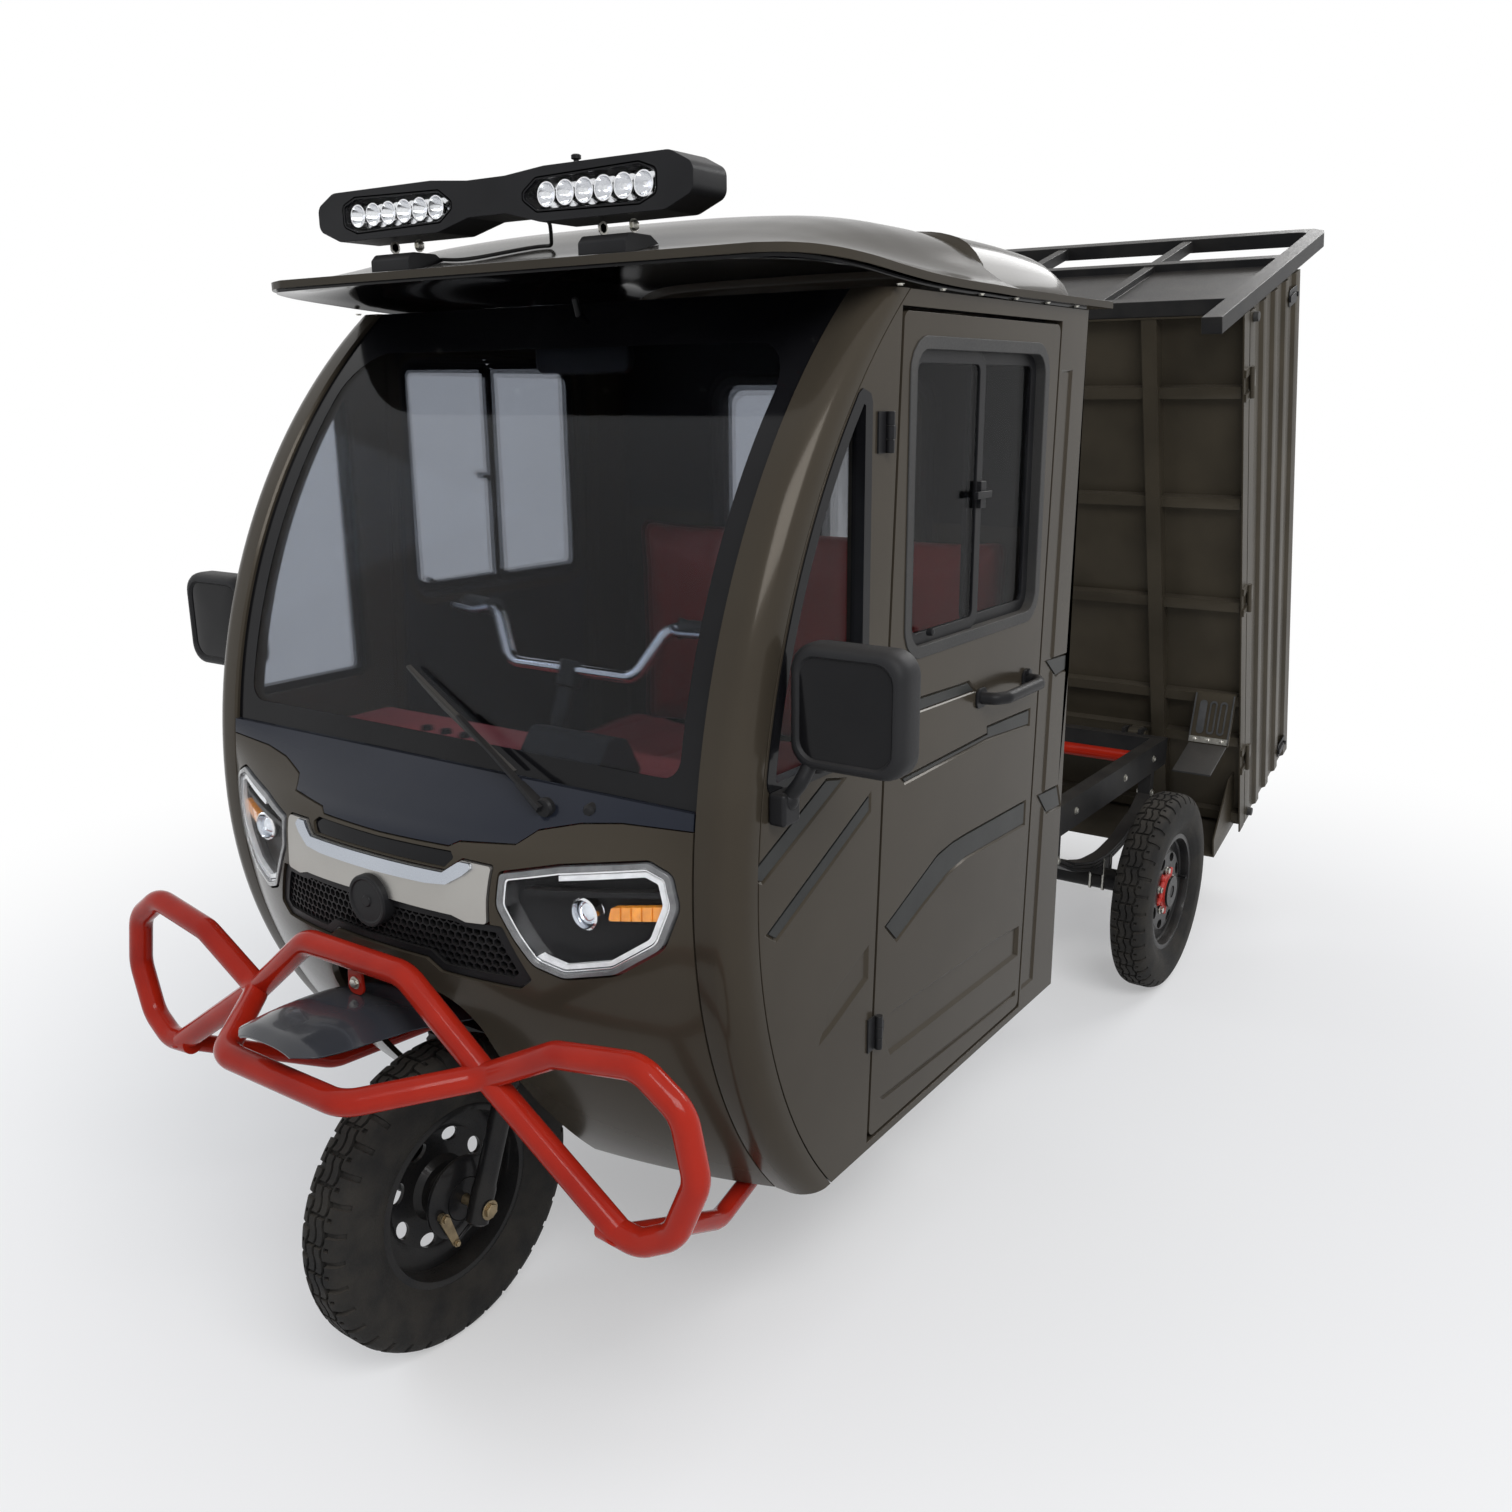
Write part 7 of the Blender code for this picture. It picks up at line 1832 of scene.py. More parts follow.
# %% Chassis
from_solid("chassis_frame", steel_black, 0.003)
from_solid("battery_box", battery_plastic, 0.008)
from_solid("cross_tube", red_gloss, 0.0012)
drum_in, drum_out, stub_end = REAR_WHEEL_X - 0.090, REAR_WHEEL_X - 0.044, REAR_WHEEL_X + 0.034
axle_half = [
    (0.020, 0.098), (0.060, 0.096), (0.075, 0.092), (0.092, 0.082), (0.110, 0.064), (0.118, 0.046),
    (0.125, 0.0298), (drum_in - 0.004, 0.0298), (drum_in, 0.040), (drum_in, 0.0740),
    (drum_in + 0.004, 0.0778), (drum_out - 0.003, 0.0778), (drum_out, 0.0750), (drum_out, 0.0160),
    (stub_end - 0.002, 0.0160), (stub_end, 0.0145), (stub_end, 0.0)]
axle_profile = [(-a, r) for a, r in reversed(axle_half)] + axle_half
add_piece(
    "axle_housing", turned(axle_profile, (0.0, REAR_AXLE_Y, WHEEL_HEIGHT), "X", 64, closed=False),
    steel_black, CAB, ("rear_axle",), sharp=30.0)
motor_at = (0.0, REAR_AXLE_Y - 0.180, WHEEL_HEIGHT + 0.02)
fin_profile = [(-0.100, 0.0), (-0.100, 0.060), (-0.094, 0.078)]
for i in range(14):
    fin_profile += [
        (-0.086 + i * 0.0155, 0.0845), (-0.081 + i * 0.0155, 0.0845), (-0.080 + i * 0.0155, 0.0790),
        (-0.072 + i * 0.0155, 0.0790)]
fin_profile += [(0.139, 0.074), (0.1395, 0.040), (0.1395, 0.0)]
add_piece(
    "motor", turned(fin_profile, motor_at, "X", 56, closed=False), steel_black, CAB,
    sharp=30.0)
case_outline = rounded(
    [
        (REAR_AXLE_Y - 0.232, 0.246), (REAR_AXLE_Y - 0.12, 0.222), (REAR_AXLE_Y + 0.02, 0.216),
        (REAR_AXLE_Y + 0.02, 0.330), (REAR_AXLE_Y - 0.13, 0.334), (REAR_AXLE_Y - 0.232, 0.330)], 0.03, 5)
add_piece(
    "gear_case", prism(case_outline, "X", -0.089, -0.031), steel_black, CAB, soft=0.003)
SPRING_X, SPRING_ENDS = 0.380, (-0.370, 0.340)
leaf_arc = [
    (-0.370, 0.425), (-0.250, 0.368), (-0.120, 0.332), (0.0, 0.320), (0.120, 0.332), (0.240, 0.368),
    (0.340, 0.425)]


def leaf(side, first, last, low, high):
    route = bent([Vector((SPRING_X * side, REAR_AXLE_Y + y, z)) for y, z in leaf_arc[first:last]], 0.35, 5)
    return sweep(route, [(-0.0185, low), (0.0185, low), (0.0185, high), (-0.0185, high)])


for label, side in SIDES:
    leaves = [
        leaf(side, 0, 7, 0.0015, 0.0085), leaf(side, 0, 7, -0.0080, -0.0005),
        leaf(side, 1, 6, -0.0175, -0.0095)]
    for y in SPRING_ENDS:
        leaves.append(
            box(
                sorted((0.362 * side, 0.398 * side)), (REAR_AXLE_Y + y - 0.015, REAR_AXLE_Y + y + 0.015),
                (0.412, 0.4895)))
    leaves.append(
        box(
            sorted((0.361 * side, 0.399 * side)), (REAR_AXLE_Y - 0.035, REAR_AXLE_Y + 0.035),
            (0.285, 0.326)))
    add_piece(f"leaf_spring_{label}", joined(leaves), steel_black, CAB, soft=0.001)
    clips = []
    for y in (-0.026, 0.026):
        hoop = [
            (0.362 * side, REAR_AXLE_Y + y, 0.240), (0.362 * side, REAR_AXLE_Y + y, 0.329),
            (0.398 * side, REAR_AXLE_Y + y, 0.329), (0.398 * side, REAR_AXLE_Y + y, 0.240)]
        clips.append(tube(hoop, 0.0045, 0.008, 12))
    for y in SPRING_ENDS:
        for way in (1, -1):
            clips.append(
                bolt((SPRING_X * side + 0.018 * way, REAR_AXLE_Y + y, 0.427), (way, 0, 0), 0.0085, 0.006))
    add_piece(f"spring_clips_{label}", joined(clips), zinc, CAB)
FRAME_BOLTS_BACK = (0.76, 0.92, 1.24, 1.52, 1.80, 2.16, 2.40)
frame_bolts = [
    bolt((0.400 * side, back(distance), 0.532), (side, 0, 0), 0.0075, 0.006) for _, side in SIDES
    for distance in FRAME_BOLTS_BACK]
add_piece("frame_bolts", joined(frame_bolts), zinc, CAB)
print("chassis", piece_count)

# %% [markdown]
# ## The lift cylinder
# The ram has three tubes that slide in one another. Each is its own piece on its own body, because
# they travel different distances. A gland nut closes the barrel, and the middle tube has a collar
# at its mouth, which is what one notices on a real ram.

# %% Ram
RAM_HOME = Matrix.Translation((0.0, -0.0552, 0.420)) @ Matrix.Rotation(math.radians(33.03), 4, "X")
origin = (0.0, 0.0, 0.0)
barrel = turned(
    [
        (0.046, 0.0), (0.046, 0.034), (0.050, 0.0378), (0.545, 0.0378), (0.545, 0.0365), (0.551, 0.0365),
        (0.551, 0.0379), (0.581, 0.0379), (0.585, 0.0355), (0.585, 0.0296), (0.058, 0.0296), (0.058, 0.0)],
    origin, "Y", 56, closed=False)
barrel_eye = turned(
    [
        (-0.020, 0.0104), (-0.020, 0.0245), (-0.018, 0.0260), (0.018, 0.0260), (0.020, 0.0245),
        (0.020, 0.0104)], origin, "X", 40)
barrel_neck = box((-0.017, 0.017), (0.0225, 0.050), (-0.017, 0.017))
port = sweep([Vector((0.0, 0.085, 0.036)), Vector((0.0, 0.085, 0.052))], circle(0, 0, 0.0085, 16))
add_piece(
    "ram_barrel", joined([barrel, barrel_eye, barrel_neck, port]), rim_black, "cylinder_barrel",
    ("lift_barrel",), sharp=30.0, home=RAM_HOME)
stage = turned(
    [
        (0.3567, 0.0), (0.3567, 0.0288), (0.870, 0.0288), (0.872, 0.0290), (0.885, 0.0290),
        (0.8877, 0.0270), (0.8877, 0.0206), (0.3667, 0.0206), (0.3667, 0.0)], origin, "Y", 48, closed=False)
add_piece("ram_stage", stage, chrome, "cylinder_stage", ("lift_stage",), sharp=30.0, home=RAM_HOME)
rod_parts = [
    turned(
        [(0.6613, 0.0), (0.6613, 0.0199), (1.2147, 0.0199), (1.2147, 0.0)], origin, "Y", 40, closed=False),
    turned(
        [
            (-0.018, 0.0), (-0.018, 0.0205), (-0.0165, 0.0219), (0.0165, 0.0219), (0.018, 0.0205),
            (0.018, 0.0)], (0.0, 1.2267, 0.0), "X", 40, closed=False)]
add_piece(
    "ram_rod", joined(rod_parts), chrome, "cylinder_rod", ("lift_rod",), sharp=30.0,
    home=RAM_HOME)
print("ram", piece_count)

# %% [markdown]
# ## Door hinges and handles
# The hinges are two black barrels on each door. The middle knuckle belongs to the door and the
# outer ones to the side, which is what lets it swing. The handle is a bent bar on two feet.

# %% Hinges and handles
HINGE_X, HINGE_Y, HINGE_HEIGHTS = 0.593, back(0.438), (0.540, 1.510)
HANDLE_HEIGHT = 1.040
for label, side in SIDES:
    body = f"{label}_door"
    on_door, on_side = [], []
    for z in HINGE_HEIGHTS:
        pin = (HINGE_X * side, HINGE_Y, z)
        on_door.append(
            turned(
                [
                    (-0.0098, 0.0), (-0.0098, 0.0060), (-0.0090, 0.0065), (0.0090, 0.0065),
                    (0.0098, 0.0060), (0.0098, 0.0)], pin, "Z", 24, closed=False))
        on_door.append(
            across(
                box(
                    (CAB_HALF + 0.0002, CAB_HALF + 0.0030), (HINGE_Y + 0.004, HINGE_Y + 0.026),
                    (z - 0.0098, z + 0.0098)), side))
        for low, high in ((-0.0300, -0.0102), (0.0102, 0.0300)):
            on_side.append(
                turned(
                    [
                        (low, 0.0), (low, 0.0060), (low + 0.0008, 0.0065), (high - 0.0008, 0.0065),
                        (high, 0.0060), (high, 0.0)], pin, "Z", 24, closed=False))
        on_side.append(
            across(
                box(
                    (CAB_HALF + 0.0002, CAB_HALF + 0.0030), (HINGE_Y - 0.026, HINGE_Y - 0.004),
                    (z - 0.0300, z + 0.0300)), side))
    add_piece(f"hinge_door_half_{label}", joined(on_door), satin_plastic, body, sharp=30.0)
    add_piece(f"hinge_side_half_{label}", joined(on_side), satin_plastic, CAB, sharp=30.0)
    y0, y1 = back(0.800), back(1.000)
    grip_line = (
        (0.5870, y0), (0.6120, y0 + 0.006), (0.6255, y0 + 0.030), (0.6255, y1 - 0.030),
        (0.6120, y1 - 0.006), (0.5870, y1))
    grip = bent([Vector((x, y, HANDLE_HEIGHT)) for x, y in grip_line], 0.016, 5)
    grip = [Vector((p.x * side, p.y, p.z)) for p in grip]
    pads = [
        across(
            prism(
                rectangle(y - 0.020, y + 0.020, 1.022, 1.058, 0.012), "X", CAB_HALF + 0.0003,
                CAB_HALF + 0.0045), side) for y in (y0, y1)]
    pads.append(
        across(
            turned(
                [(0.0, 0.0), (0.0, 0.0085), (0.0055, 0.0080), (0.0060, 0.0)],
                (CAB_HALF + 0.0044, y1 - 0.002, 1.052), "X", 20, closed=False), side))
    add_piece(
        f"handle_grip_{label}", joined([sweep(grip, circle(0, 0, 0.0112, 20))] + pads), satin_plastic, body,
        (f"door_handle_{label}",), sharp=32.0, soft=0.0008)
    liner = prism(
        door_outline(0.030, 0.03), "X", CAB_HALF - DOOR_WALL - 0.0030, CAB_HALF - DOOR_WALL + 0.0005)
    liner_cut = prism(grown(WINDOW, 0.016), "X", *THROUGH)
    add_piece(
        f"door_lining_{label}", across(liner, side), grained_plastic, body, soft=0.001,
        cuts=[across(liner_cut, side)])

# %% [markdown]
# ## Mirrors and wiper
# A mirror housing is a rounded slab that thins towards its front, lofted through a few rounded
# rectangles. The glass sits in its rear side and a glossy panel in its front. Its arm comes out of
# a foot on the side panel and has a ball knuckle at either end. The wiper is an arm that tapers
# towards a curved blade with its own bow and rubber lip.

# %% Mirrors
MIRROR_X, MIRROR_Y, MIRROR_Z = CAB_HALF + 0.107, back(0.172), 1.155


def scaled(outline, middle, factor):
    return [(middle[0] + (a - middle[0]) * factor, middle[1] + (b - middle[1]) * factor) for a, b in outline]


head_outline = rectangle(MIRROR_Z - 0.088, MIRROR_Z + 0.088, MIRROR_X - 0.090, MIRROR_X + 0.090, 0.035, 8)
middle = (MIRROR_Z, MIRROR_X)
for label, side in SIDES:
    rings = []
    for y, factor in (
            (0.022, 0.965), (0.0205, 0.99), (0.016, 1.0), (-0.006, 1.0), (-0.014, 0.990), (-0.020, 0.970),
            (-0.0248, 0.935), (-0.0275, 0.890), (-0.0280, 0.860)):
        rings.append([(x * side, MIRROR_Y + y, z) for z, x in scaled(head_outline, middle, factor)])
    recess = between(
        scaled(head_outline, middle, 0.80), scaled(head_outline, middle, 0.84), "Y", MIRROR_Y - 0.0235,
        MIRROR_Y - 0.0290)
    seat = between(
        scaled(head_outline, middle, 0.93), scaled(head_outline, middle, 0.92), "Y", MIRROR_Y + 0.0225,
        MIRROR_Y + 0.0185)
    add_piece(
        f"mirror_housing_{label}", loft(rings), grained_plastic, CAB, (f"mirror_{label}",),
        sharp=40.0, cuts=[across(recess, side), across(seat, side)])
    panel_rings = []
    for factor, y in ((0.79, -0.0232), (0.79, -0.0240), (0.70, -0.0252), (0.50, -0.0262), (0.25, -0.0268)):
        panel_rings.append([(x * side, MIRROR_Y + y, z) for z, x in scaled(head_outline, middle, factor)])
    add_piece(f"mirror_panel_{label}", loft(panel_rings), gloss_black, CAB, sharp=50.0)
    add_piece(
        f"mirror_face_{label}",
        across(prism(scaled(head_outline, middle, 0.905), "Y", MIRROR_Y + 0.0187, MIRROR_Y + 0.0210), side),
        mirror_glass, CAB)
    foot = across(
        box((CAB_HALF + 0.0005, CAB_HALF + 0.0290), (back(0.121), back(0.164)), (0.986, 1.034)), side)
    add_piece(f"mirror_foot_{label}", foot, satin_plastic, CAB, soft=0.006)
    arm_route = [
        ((CAB_HALF + 0.018) * side, back(0.142), 1.020), ((MIRROR_X - 0.065) * side, back(0.142), 1.050),
        ((MIRROR_X - 0.055) * side, MIRROR_Y, MIRROR_Z - 0.060)]
    arm_parts = [tube(arm_route, 0.0108, 0.02, 20, 6)]
    for place, radius in (((MIRROR_X - 0.058) * side, 0.0165), ((CAB_HALF + 0.022) * side, 0.0150)):
        z = MIRROR_Z - 0.082 if abs(place) > CAB_HALF + 0.03 else 1.022
        y = MIRROR_Y + 0.004 if abs(place) > CAB_HALF + 0.03 else back(0.142)
        profile = [
            (-radius * math.cos(math.pi * i / 10), radius * math.sin(math.pi * i / 10)) for i in range(11)]
        arm_parts.append(
            turned(
                [(a, max(0.0, r)) if 0 < i < 10 else (a, 0.0) for i, (a, r) in enumerate(profile)],
                (place, y, z), "Z", 20, closed=False))
    add_piece(f"mirror_arm_{label}", joined(arm_parts), satin_plastic, CAB, sharp=40.0)

# %% Wiper
pivot = Vector((0.266, nose_y(0.266, 0.985) - 0.012, 0.985))
tip = Vector((0.060, front_y(1.090) - 0.0120, 1.090))
elbow = pivot.lerp(tip, 0.26)
flat_bar = [(-0.0028, -0.0055), (0.0028, -0.0055), (0.0028, 0.0055), (-0.0028, 0.0055)]
arm_parts = [
    sweep([pivot, elbow], rectangle(-0.0055, 0.0055, -0.0105, 0.0105, 0.003, 2), scale=[1.0, 0.72]),
    sweep([elbow, tip], flat_bar, scale=[1.0, 0.8])]
cap = turned(
    [(0.012, 0.0), (0.012, 0.0150), (0.004, 0.0158), (-0.0005, 0.0135), (-0.0020, 0.0)], tuple(pivot), "Y",
    28, closed=False)
blade_line = []
for i in range(21):
    x, z = -0.070 + 0.250 * i / 20, 1.150 - 0.130 * i / 20
    blade_line.append(Vector((x, front_y(z) - 0.0045, z)))
lip = sweep(blade_line, rectangle(-0.0018, 0.0018, -0.0040, 0.0040, 0.001, 1))
bow_line = [
    p + Vector((0.0, -0.0055 - 0.0035 * math.sin(math.pi * i / 20), 0.0)) for i, p in enumerate(blade_line)]
bow = sweep(
    bow_line, rectangle(-0.0028, 0.0028, -0.0022, 0.0022, 0.001, 1),
    scale=[0.45 + 0.75 * math.sin(math.pi * i / 20) for i in range(21)])
add_piece(
    "wiper_arm", joined(arm_parts + [cap]), satin_plastic, CAB, ("wiper",), soft=0.0007)
add_piece("wiper_blade", joined([lip, bow]), soft_rubber, CAB, sharp=40.0)
nozzle = turned(
    [(0.010, 0.0), (0.010, 0.012), (0.0, 0.0105), (-0.004, 0.006), (-0.004, 0.0)],
    (0.338, nose_y(0.338, 0.988), 0.988), "Y", 20, closed=False)
add_piece("wiper_cap", nozzle, satin_plastic, CAB)
print("mirrors and wiper", piece_count)

# %% [markdown]
# ## Inside the cab
# Through the glass one sees a red seat, a red dash, the handlebar and a small mirror at the top.
# The floor, the seat box and the dash need nothing new, so their own solids are softened at the
# edges.

# %% Floor, seat box and dash
from_solid("floor_pan", steel_black, 0.001)
from_solid("seat_base", grained_plastic, 0.003)
from_solid("dashboard", dash_red, 0.007)
DASH_REAR, SEAT_FRONT = back(0.400), back(0.640)
mat_parts = [box((-0.50, 0.50), (DASH_REAR + 0.010, SEAT_FRONT - 0.012), (0.3556, 0.3596))]
for i in range(16):
    x = -0.47 + i * 0.0627
    mat_parts.append(box((x - 0.008, x + 0.008), (DASH_REAR + 0.025, SEAT_FRONT - 0.027), (0.3590, 0.3616)))
add_piece("floor_mat", joined(mat_parts), soft_rubber, CAB, soft=0.0008)
# height and radius of the boot's folds
BOOT_FOLDS = [
    (0.962, 0.0485), (0.969, 0.0480), (0.972, 0.040), (0.978, 0.040), (0.981, 0.031), (0.987, 0.031),
    (0.991, 0.0215), (1.000, 0.0215)]
boot = sweep([on_axis(z) for z, _ in BOOT_FOLDS], circle(0, 0, 1.0, 32), scale=[r for _, r in BOOT_FOLDS])
bore = sweep([on_axis(0.90), on_axis(1.06)], circle(0, 0, 0.0168, 32))
add_piece("column_boot", boot, soft_rubber, CAB, sharp=50.0, cuts=[bore])
pod_line = rounded(
    [
        (back(0.150), 0.966), (back(0.255), 0.966), (back(0.262), 0.985), (back(0.230), 1.040),
        (back(0.190), 1.050), (back(0.160), 1.010)], [0.004, 0.006, 0.01, 0.02, 0.02, 0.02], 4)
add_piece(
    "instrument_pod", prism(pod_line, "X", 0.075, 0.245), grained_plastic, CAB, soft=0.008)
face_low, face_high = Vector((0.0, back(0.2625), 0.990)), Vector((0.0, back(0.2335), 1.035))
normal_way = Vector((0.0, 0.84, 0.54))
glass_corners = ((0.095, face_low), (0.225, face_low), (0.225, face_high), (0.095, face_high))
display = [
    [Vector((x, at.y, at.z)) + normal_way * lift for x, at in glass_corners] for lift in (0.0012, 0.0024)]
add_piece("instrument_glass", loft(display), gloss_black, CAB, soft=0.0004)
switches = [
    turned(
        [(0.0, 0.0), (0.0, 0.011), (0.008, 0.010), (0.010, 0.0)], (x, back(0.300), 0.965), "Z", 20,
        closed=False) for x in (-0.30, -0.25, -0.20)]
add_piece("dash_knobs", joined(switches), satin_plastic, CAB)
glass_top = front_y(1.640)
mirror_line = rectangle(1.600, 1.652, -0.105, 0.105, 0.018, 6)
inner_mirror = [
    prism(mirror_line, "Y", glass_top + 0.070, glass_top + 0.084),
    tube(
        [(0.0, glass_top + 0.076, 1.648), (0.0, glass_top + 0.070, 1.690), (0.0, glass_top + 0.060, 1.722)],
        0.0055, 0.02, 14)]
add_piece("inner_mirror", joined(inner_mirror), satin_plastic, CAB, soft=0.003)
add_piece(
    "inner_mirror_face", prism(grown(mirror_line, -0.004), "Y", glass_top + 0.0842, glass_top + 0.0852),
    mirror_glass, CAB)
add_piece(
    "rear_lining", box((-0.546, 0.546), (CAB_REAR - 0.0330, CAB_REAR - 0.0303), (1.3030, 1.7100)),
    grained_plastic, CAB, soft=0.0008,
    cuts=[prism(grown(rear_window, 0.014), "Y", CAB_REAR - 0.06, CAB_REAR)])
print("cabin", piece_count)

# %% [markdown]
# ## The seat
# A cushion is foam under a tight cover: its top is crowned, its sides pull in between the corners,
# and sewn channels sink into it. Cloth simulation gives that swelling. A slightly smaller block is
# inflated for twenty steps and each point may move only a little way, so that the cushion stays
# inside the space that was measured for it. The channels and the piping along the edge are added
# afterwards, since a remesh would swallow them.

# %% Inflate a pad
CLOTH_STEPS = 20


def inflated(name, outline, half, pressure, limit, voxel=0.0105):
    pad = as_object(name, prism(outline, "X", -half, half))
    grid = pad.modifiers.new("grid", "REMESH")
    grid.mode = "VOXEL"
    grid.voxel_size = voxel
    bpy.context.view_layer.update()
    pad.data = as_shown(pad)
    pad.modifiers.clear()
    start = [v.co.copy() for v in pad.data.vertices]
    cover = pad.modifiers.new("cover", "CLOTH")
    cover.settings.use_pressure = True
    cover.settings.uniform_pressure_force = pressure
    cover.settings.effector_weights.gravity = 0.0
    cover.point_cache.frame_start, cover.point_cache.frame_end = 1, CLOTH_STEPS
    for frame_number in range(1, CLOTH_STEPS + 1):
        bpy.context.scene.frame_set(frame_number)
    swollen = as_shown(pad)
    pad.modifiers.clear()
    bpy.context.scene.frame_set(1)
    for vertex, end in zip(pad.data.vertices, swollen.vertices):
        step = end.co - start[vertex.index]
        vertex.co = start[vertex.index] + step * min(1.0, limit / max(step.length, 1e-6))
    return pad


def sewn(pad, low, high, top_axis, lines, depth):
    """Channels pressed into the pad's outer face, and every point kept inside the measured space."""
    for vertex in pad.data.vertices:
        point = vertex.co
        share = (point[top_axis[0]] - low[top_axis[0]]) / (high[top_axis[0]] - low[top_axis[0]])
        if top_axis[1] < 0:
            share = 1.0 - share
        if share > 0.5:
            for place in lines:
                near = math.exp(-((point.x - place) / 0.009) ** 2)
                point[top_axis[0]] -= top_axis[1] * depth * near * min(1.0, (share - 0.5) * 4.0)
        for k in range(3):
            point[k] = min(high[k] - 0.0008, max(low[k] + 0.0002, point[k]))
    smoother = pad.modifiers.new("finer", "SUBSURF")
    smoother.levels = smoother.render_levels = 1
    bpy.context.view_layer.update()
    pad.data = as_shown(pad)
    pad.modifiers.clear()
    for vertex in pad.data.vertices:
        for k in range(3):
            vertex.co[k] = min(high[k], max(low[k], vertex.co[k]))


def finish_pad(pad, node):
    pad.data.materials.clear()
    pad.data.materials.append(seat_red)
    pad.data.shade_smooth()
    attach(pad, CAB)
    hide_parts(node)
    piece_count["pieces"] += 1


SEAMS = [-0.36, -0.24, -0.12, 0.0, 0.12, 0.24, 0.36]
low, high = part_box("seat_cushion")
cushion = inflated(
    "cushion", rectangle(low[1] + 0.012, high[1] - 0.006, low[2] + 0.002, high[2] - 0.020, 0.030, 6),
    high[0] - 0.014, 4.0, 0.024)
sewn(cushion, low, high, (2, 1), SEAMS, 0.0075)
finish_pad(cushion, "seat_cushion")
low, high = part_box("seat_back")
backrest = inflated(
    "backrest", rectangle(low[1] + 0.020, high[1] - 0.002, low[2] + 0.010, high[2] - 0.012, 0.024, 6),
    high[0] - 0.014, 4.0, 0.022)
sewn(backrest, low, high, (1, -1), SEAMS, 0.0065)
finish_pad(backrest, "seat_back")


PIPING_CORNER = 0.06


def piping(pad, place_z, inset):
    """A cord along the pad's edge: rays from outside find the surface at one height."""
    tree = BVHTree.FromObject(pad, bpy.context.evaluated_depsgraph_get())
    low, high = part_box("seat_cushion")
    middle = Vector(((low[0] + high[0]) / 2, (low[1] + high[1]) / 2, place_z))
    points = rectangle(low[0], high[0], low[1], high[1], PIPING_CORNER, 6)
    dense = []
    for i in range(len(points)):
        a, b = Vector(points[i]), Vector(points[(i + 1) % len(points)])
        count = max(1, int((b - a).length / 0.02))
        dense += [a.lerp(b, k / count) for k in range(count)]
    route = []
    for flat in dense:
        inward = Vector((middle.x - flat.x, middle.y - flat.y))
        if abs(flat.x) < high[0] - PIPING_CORNER:
            inward.x = 0.0
        elif abs(flat.y - middle.y) < (high[1] - low[1]) / 2 - PIPING_CORNER:
            inward.y = 0.0
        way = Vector((inward.x, inward.y, 0.0)).normalized()
        hit = tree.ray_cast(Vector((flat.x, flat.y, place_z)) - way * 0.05, way)
        if hit[0] is not None:
            route.append(hit[0] + way * inset)
    return sweep(route, circle(0, 0, 0.0036, 10), closed=True)


bpy.context.view_layer.update()
add_piece("cushion_piping", piping(cushion, 0.8130, 0.0034), seat_red, CAB, sharp=60.0)
print("seat", piece_count)

# %% [markdown]
# ## The load bed
# The bed is a folded sheet on two beams and six ribs, and it is shown tipped up. Its pieces are
# measured with the bed level and then turned with it by one matrix, which keeps all the numbers
# simple. The drop boards are pressed with four shallow bands for stiffness; their solids already
# have them, so their edges are rounded and their fittings added.

# %% Floor, boards and guard frame
BED_HOME = Matrix.Translation((0.0, 1.1248, 0.560)) @ Matrix.Rotation(math.radians(-74.0), 4, "X")


def bed_box(x_span, u_span, w_span):
    """A box in the bed's own frame; u runs forward along the floor, w stands up from it."""
    return box(x_span, (-u_span[1], -u_span[0]), w_span)


from_solid("bed_floor", bed_paint, 0.0012)
from_solid("side_board_left", bed_paint, 0.0025)
from_solid("side_board_right", bed_paint, 0.0025)
from_solid("tailgate", bed_paint, 0.0025)
from_solid("headboard", steel_black, 0.0025)

# %% [markdown]
# Each side board has a latch near either end, a grab rail along its top and two black rubber
# stops. The tailgate has two latches of its own. A latch is a flat plate with a bar on it, and on
# the side boards the bar turns on a pin.

# %% Latches, stops and rails
# places along the bed, forward of the tipping hinge
LATCH_PLACES, STOP_PLACES = (1.170, -0.245), (1.205, -0.275)
for label, side in SIDES:
    board = f"{label}_board"
    pins = []
    for u in LATCH_PLACES:
        plate = prism(rectangle(-u - 0.022, -u + 0.022, 0.425, 0.505, 0.008), "X", 0.6002, 0.6032)
        handle = prism(
            rounded(
                [(-u - 0.008, 0.420), (-u + 0.008, 0.420), (-u + 0.010, 0.480), (-u - 0.010, 0.480)], 0.006,
                3), "X", 0.6030, 0.6085)
        pivot_pin = turned(
            [(0.6030, 0.0), (0.6030, 0.0070), (0.6105, 0.0065), (0.6110, 0.0)], (0.0, -u, 0.492), "X", 18,
            closed=False)
        pins += [across(plate, side), across(handle, side), across(pivot_pin, side)]
    add_piece(
        f"board_latches_{label}", joined(pins), satin_plastic, board, soft=0.0008,
        home=BED_HOME)
    stops = []
    for u in STOP_PLACES:
        stops.append(
            across(
                turned(
                    [(0.6004, 0.0), (0.6004, 0.0130), (0.6120, 0.0120), (0.6135, 0.0)], (0.0, -u, 0.100),
                    "X", 24, closed=False), side))
    add_piece(f"board_stops_{label}", joined(stops), soft_rubber, board, home=BED_HOME)
    rail_points = [(0.5900 * side, y, 0.5405) for y in (-1.215, 0.290)]
    add_piece(
        f"board_rail_{label}", tube(rail_points, 0.0058, 0.0, 14), bed_paint, board,
        home=BED_HOME)

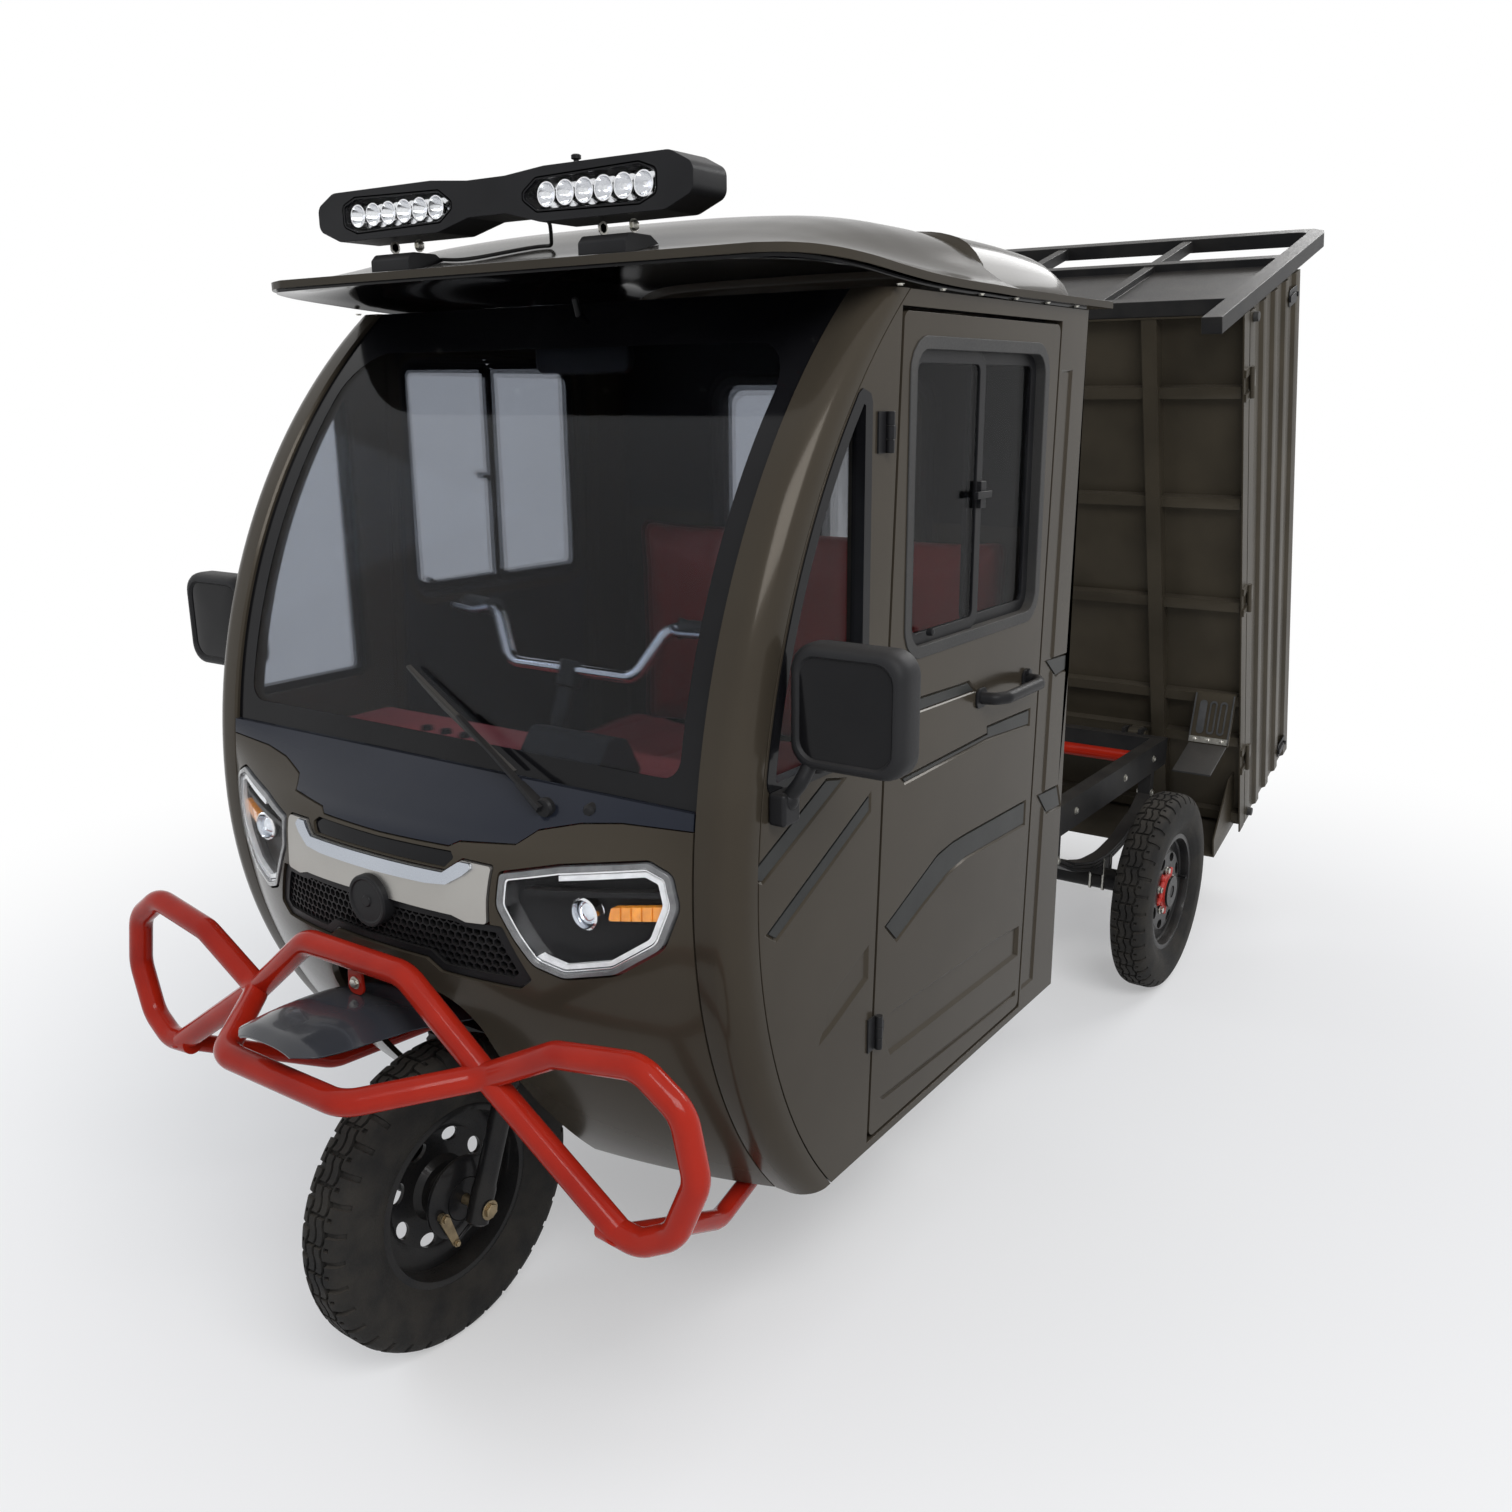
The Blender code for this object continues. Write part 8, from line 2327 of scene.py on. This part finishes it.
gate_parts = []
for x in (-0.500, 0.500):
    gate_parts.append(prism(rectangle(0.440, 0.500, x - 0.022, x + 0.022, 0.006), "Y", 0.3002, 0.3032))
    gate_parts.append(prism(rectangle(0.446, 0.494, x - 0.009, x + 0.009, 0.005), "Y", 0.3030, 0.3080))
add_piece(
    "tailgate_latches", joined(gate_parts), satin_plastic, "tail_board", soft=0.0008,
    home=BED_HOME)

# %% [markdown]
# Behind each rear wheel a grey pressed plate carries a rubber flap. The plate has three long
# raised slots with rounded ends, and three bolts hold a strip over the flap's edge.

# %% Mudguard plates, flaps and tail lamps
lower_edge, upper_edge = Vector((0.0, -0.032, -0.059)), Vector((0.0, -0.158, 0.026))
up_slope = (upper_edge - lower_edge).normalized()
facing = Vector((0.0, -up_slope.z, up_slope.y))
guard_turn = Matrix(((1.0, 0.0, 0.0), (0.0, up_slope.y, facing.y), (0.0, up_slope.z, facing.z))).to_4x4()
guard_home = BED_HOME @ Matrix.Translation(lower_edge) @ guard_turn
SLOTS_X = (0.4985, 0.5275, 0.5565)
LENS_SPANS = ((-0.3215, -0.3098), (-0.1125, -0.0525))


def slot_shapes(side, half, low, high, deep):
    return [
        prism(rectangle(x * side - half, x * side + half, low, high, half - 0.0002, 6), "Z", *deep)
        for x in SLOTS_X]


for label, side in SIDES:
    plate = box(sorted((0.4715 * side, 0.5835 * side)), (0.004, 0.148), (0.0004, 0.0022))
    crease = [
        box(sorted((x * side, (x + 0.004) * side)), (0.004, 0.148), (0.0020, 0.0050))
        for x in (0.4715, 0.5795)]
    raised = slot_shapes(side, 0.0105, 0.030, 0.128, (0.0019, 0.0036))
    add_piece(
        f"mudguard_plate_{label}", joined([plate] + crease + raised), zinc_grey, "bed",
        soft=0.0006, cuts=slot_shapes(side, 0.0060, 0.036, 0.122, (0.0012, 0.0040)), home=guard_home)
    clamp_strip = box(sorted((0.4730 * side, 0.5820 * side)), (0.004, 0.021), (0.0023, 0.0053))
    heads = [bolt((x * side, 0.0125, 0.0052), (0, 0, 1), 0.0050, 0.0040) for x in (0.490, 0.5275, 0.565)]
    add_piece(f"flap_strip_{label}", joined([clamp_strip] + heads), zinc, "bed", home=guard_home)
    from_solid(f"mud_flap_{label}", soft_rubber, 0.001)
    lamp_back = bed_box(sorted((0.3905 * side, 0.5195 * side)), (-0.3100, -0.3004), (-0.1145, -0.0505))
    red_part = bed_box(sorted((0.3925 * side, 0.4780 * side)), *LENS_SPANS)
    amber_part = bed_box(sorted((0.4785 * side, 0.5180 * side)), *LENS_SPANS)
    add_piece(
        f"tail_lamp_body_{label}", lamp_back, satin_plastic, "bed",
        (f"tail_lamp_{label}",), soft=0.002, home=BED_HOME)
    add_piece(f"tail_lamp_lens_{label}", red_part, red_lens, "bed", soft=0.004, home=BED_HOME)
    add_piece(
        f"tail_lamp_amber_{label}", amber_part, amber_lens, "bed", soft=0.004, home=BED_HOME)
print("bed", piece_count)
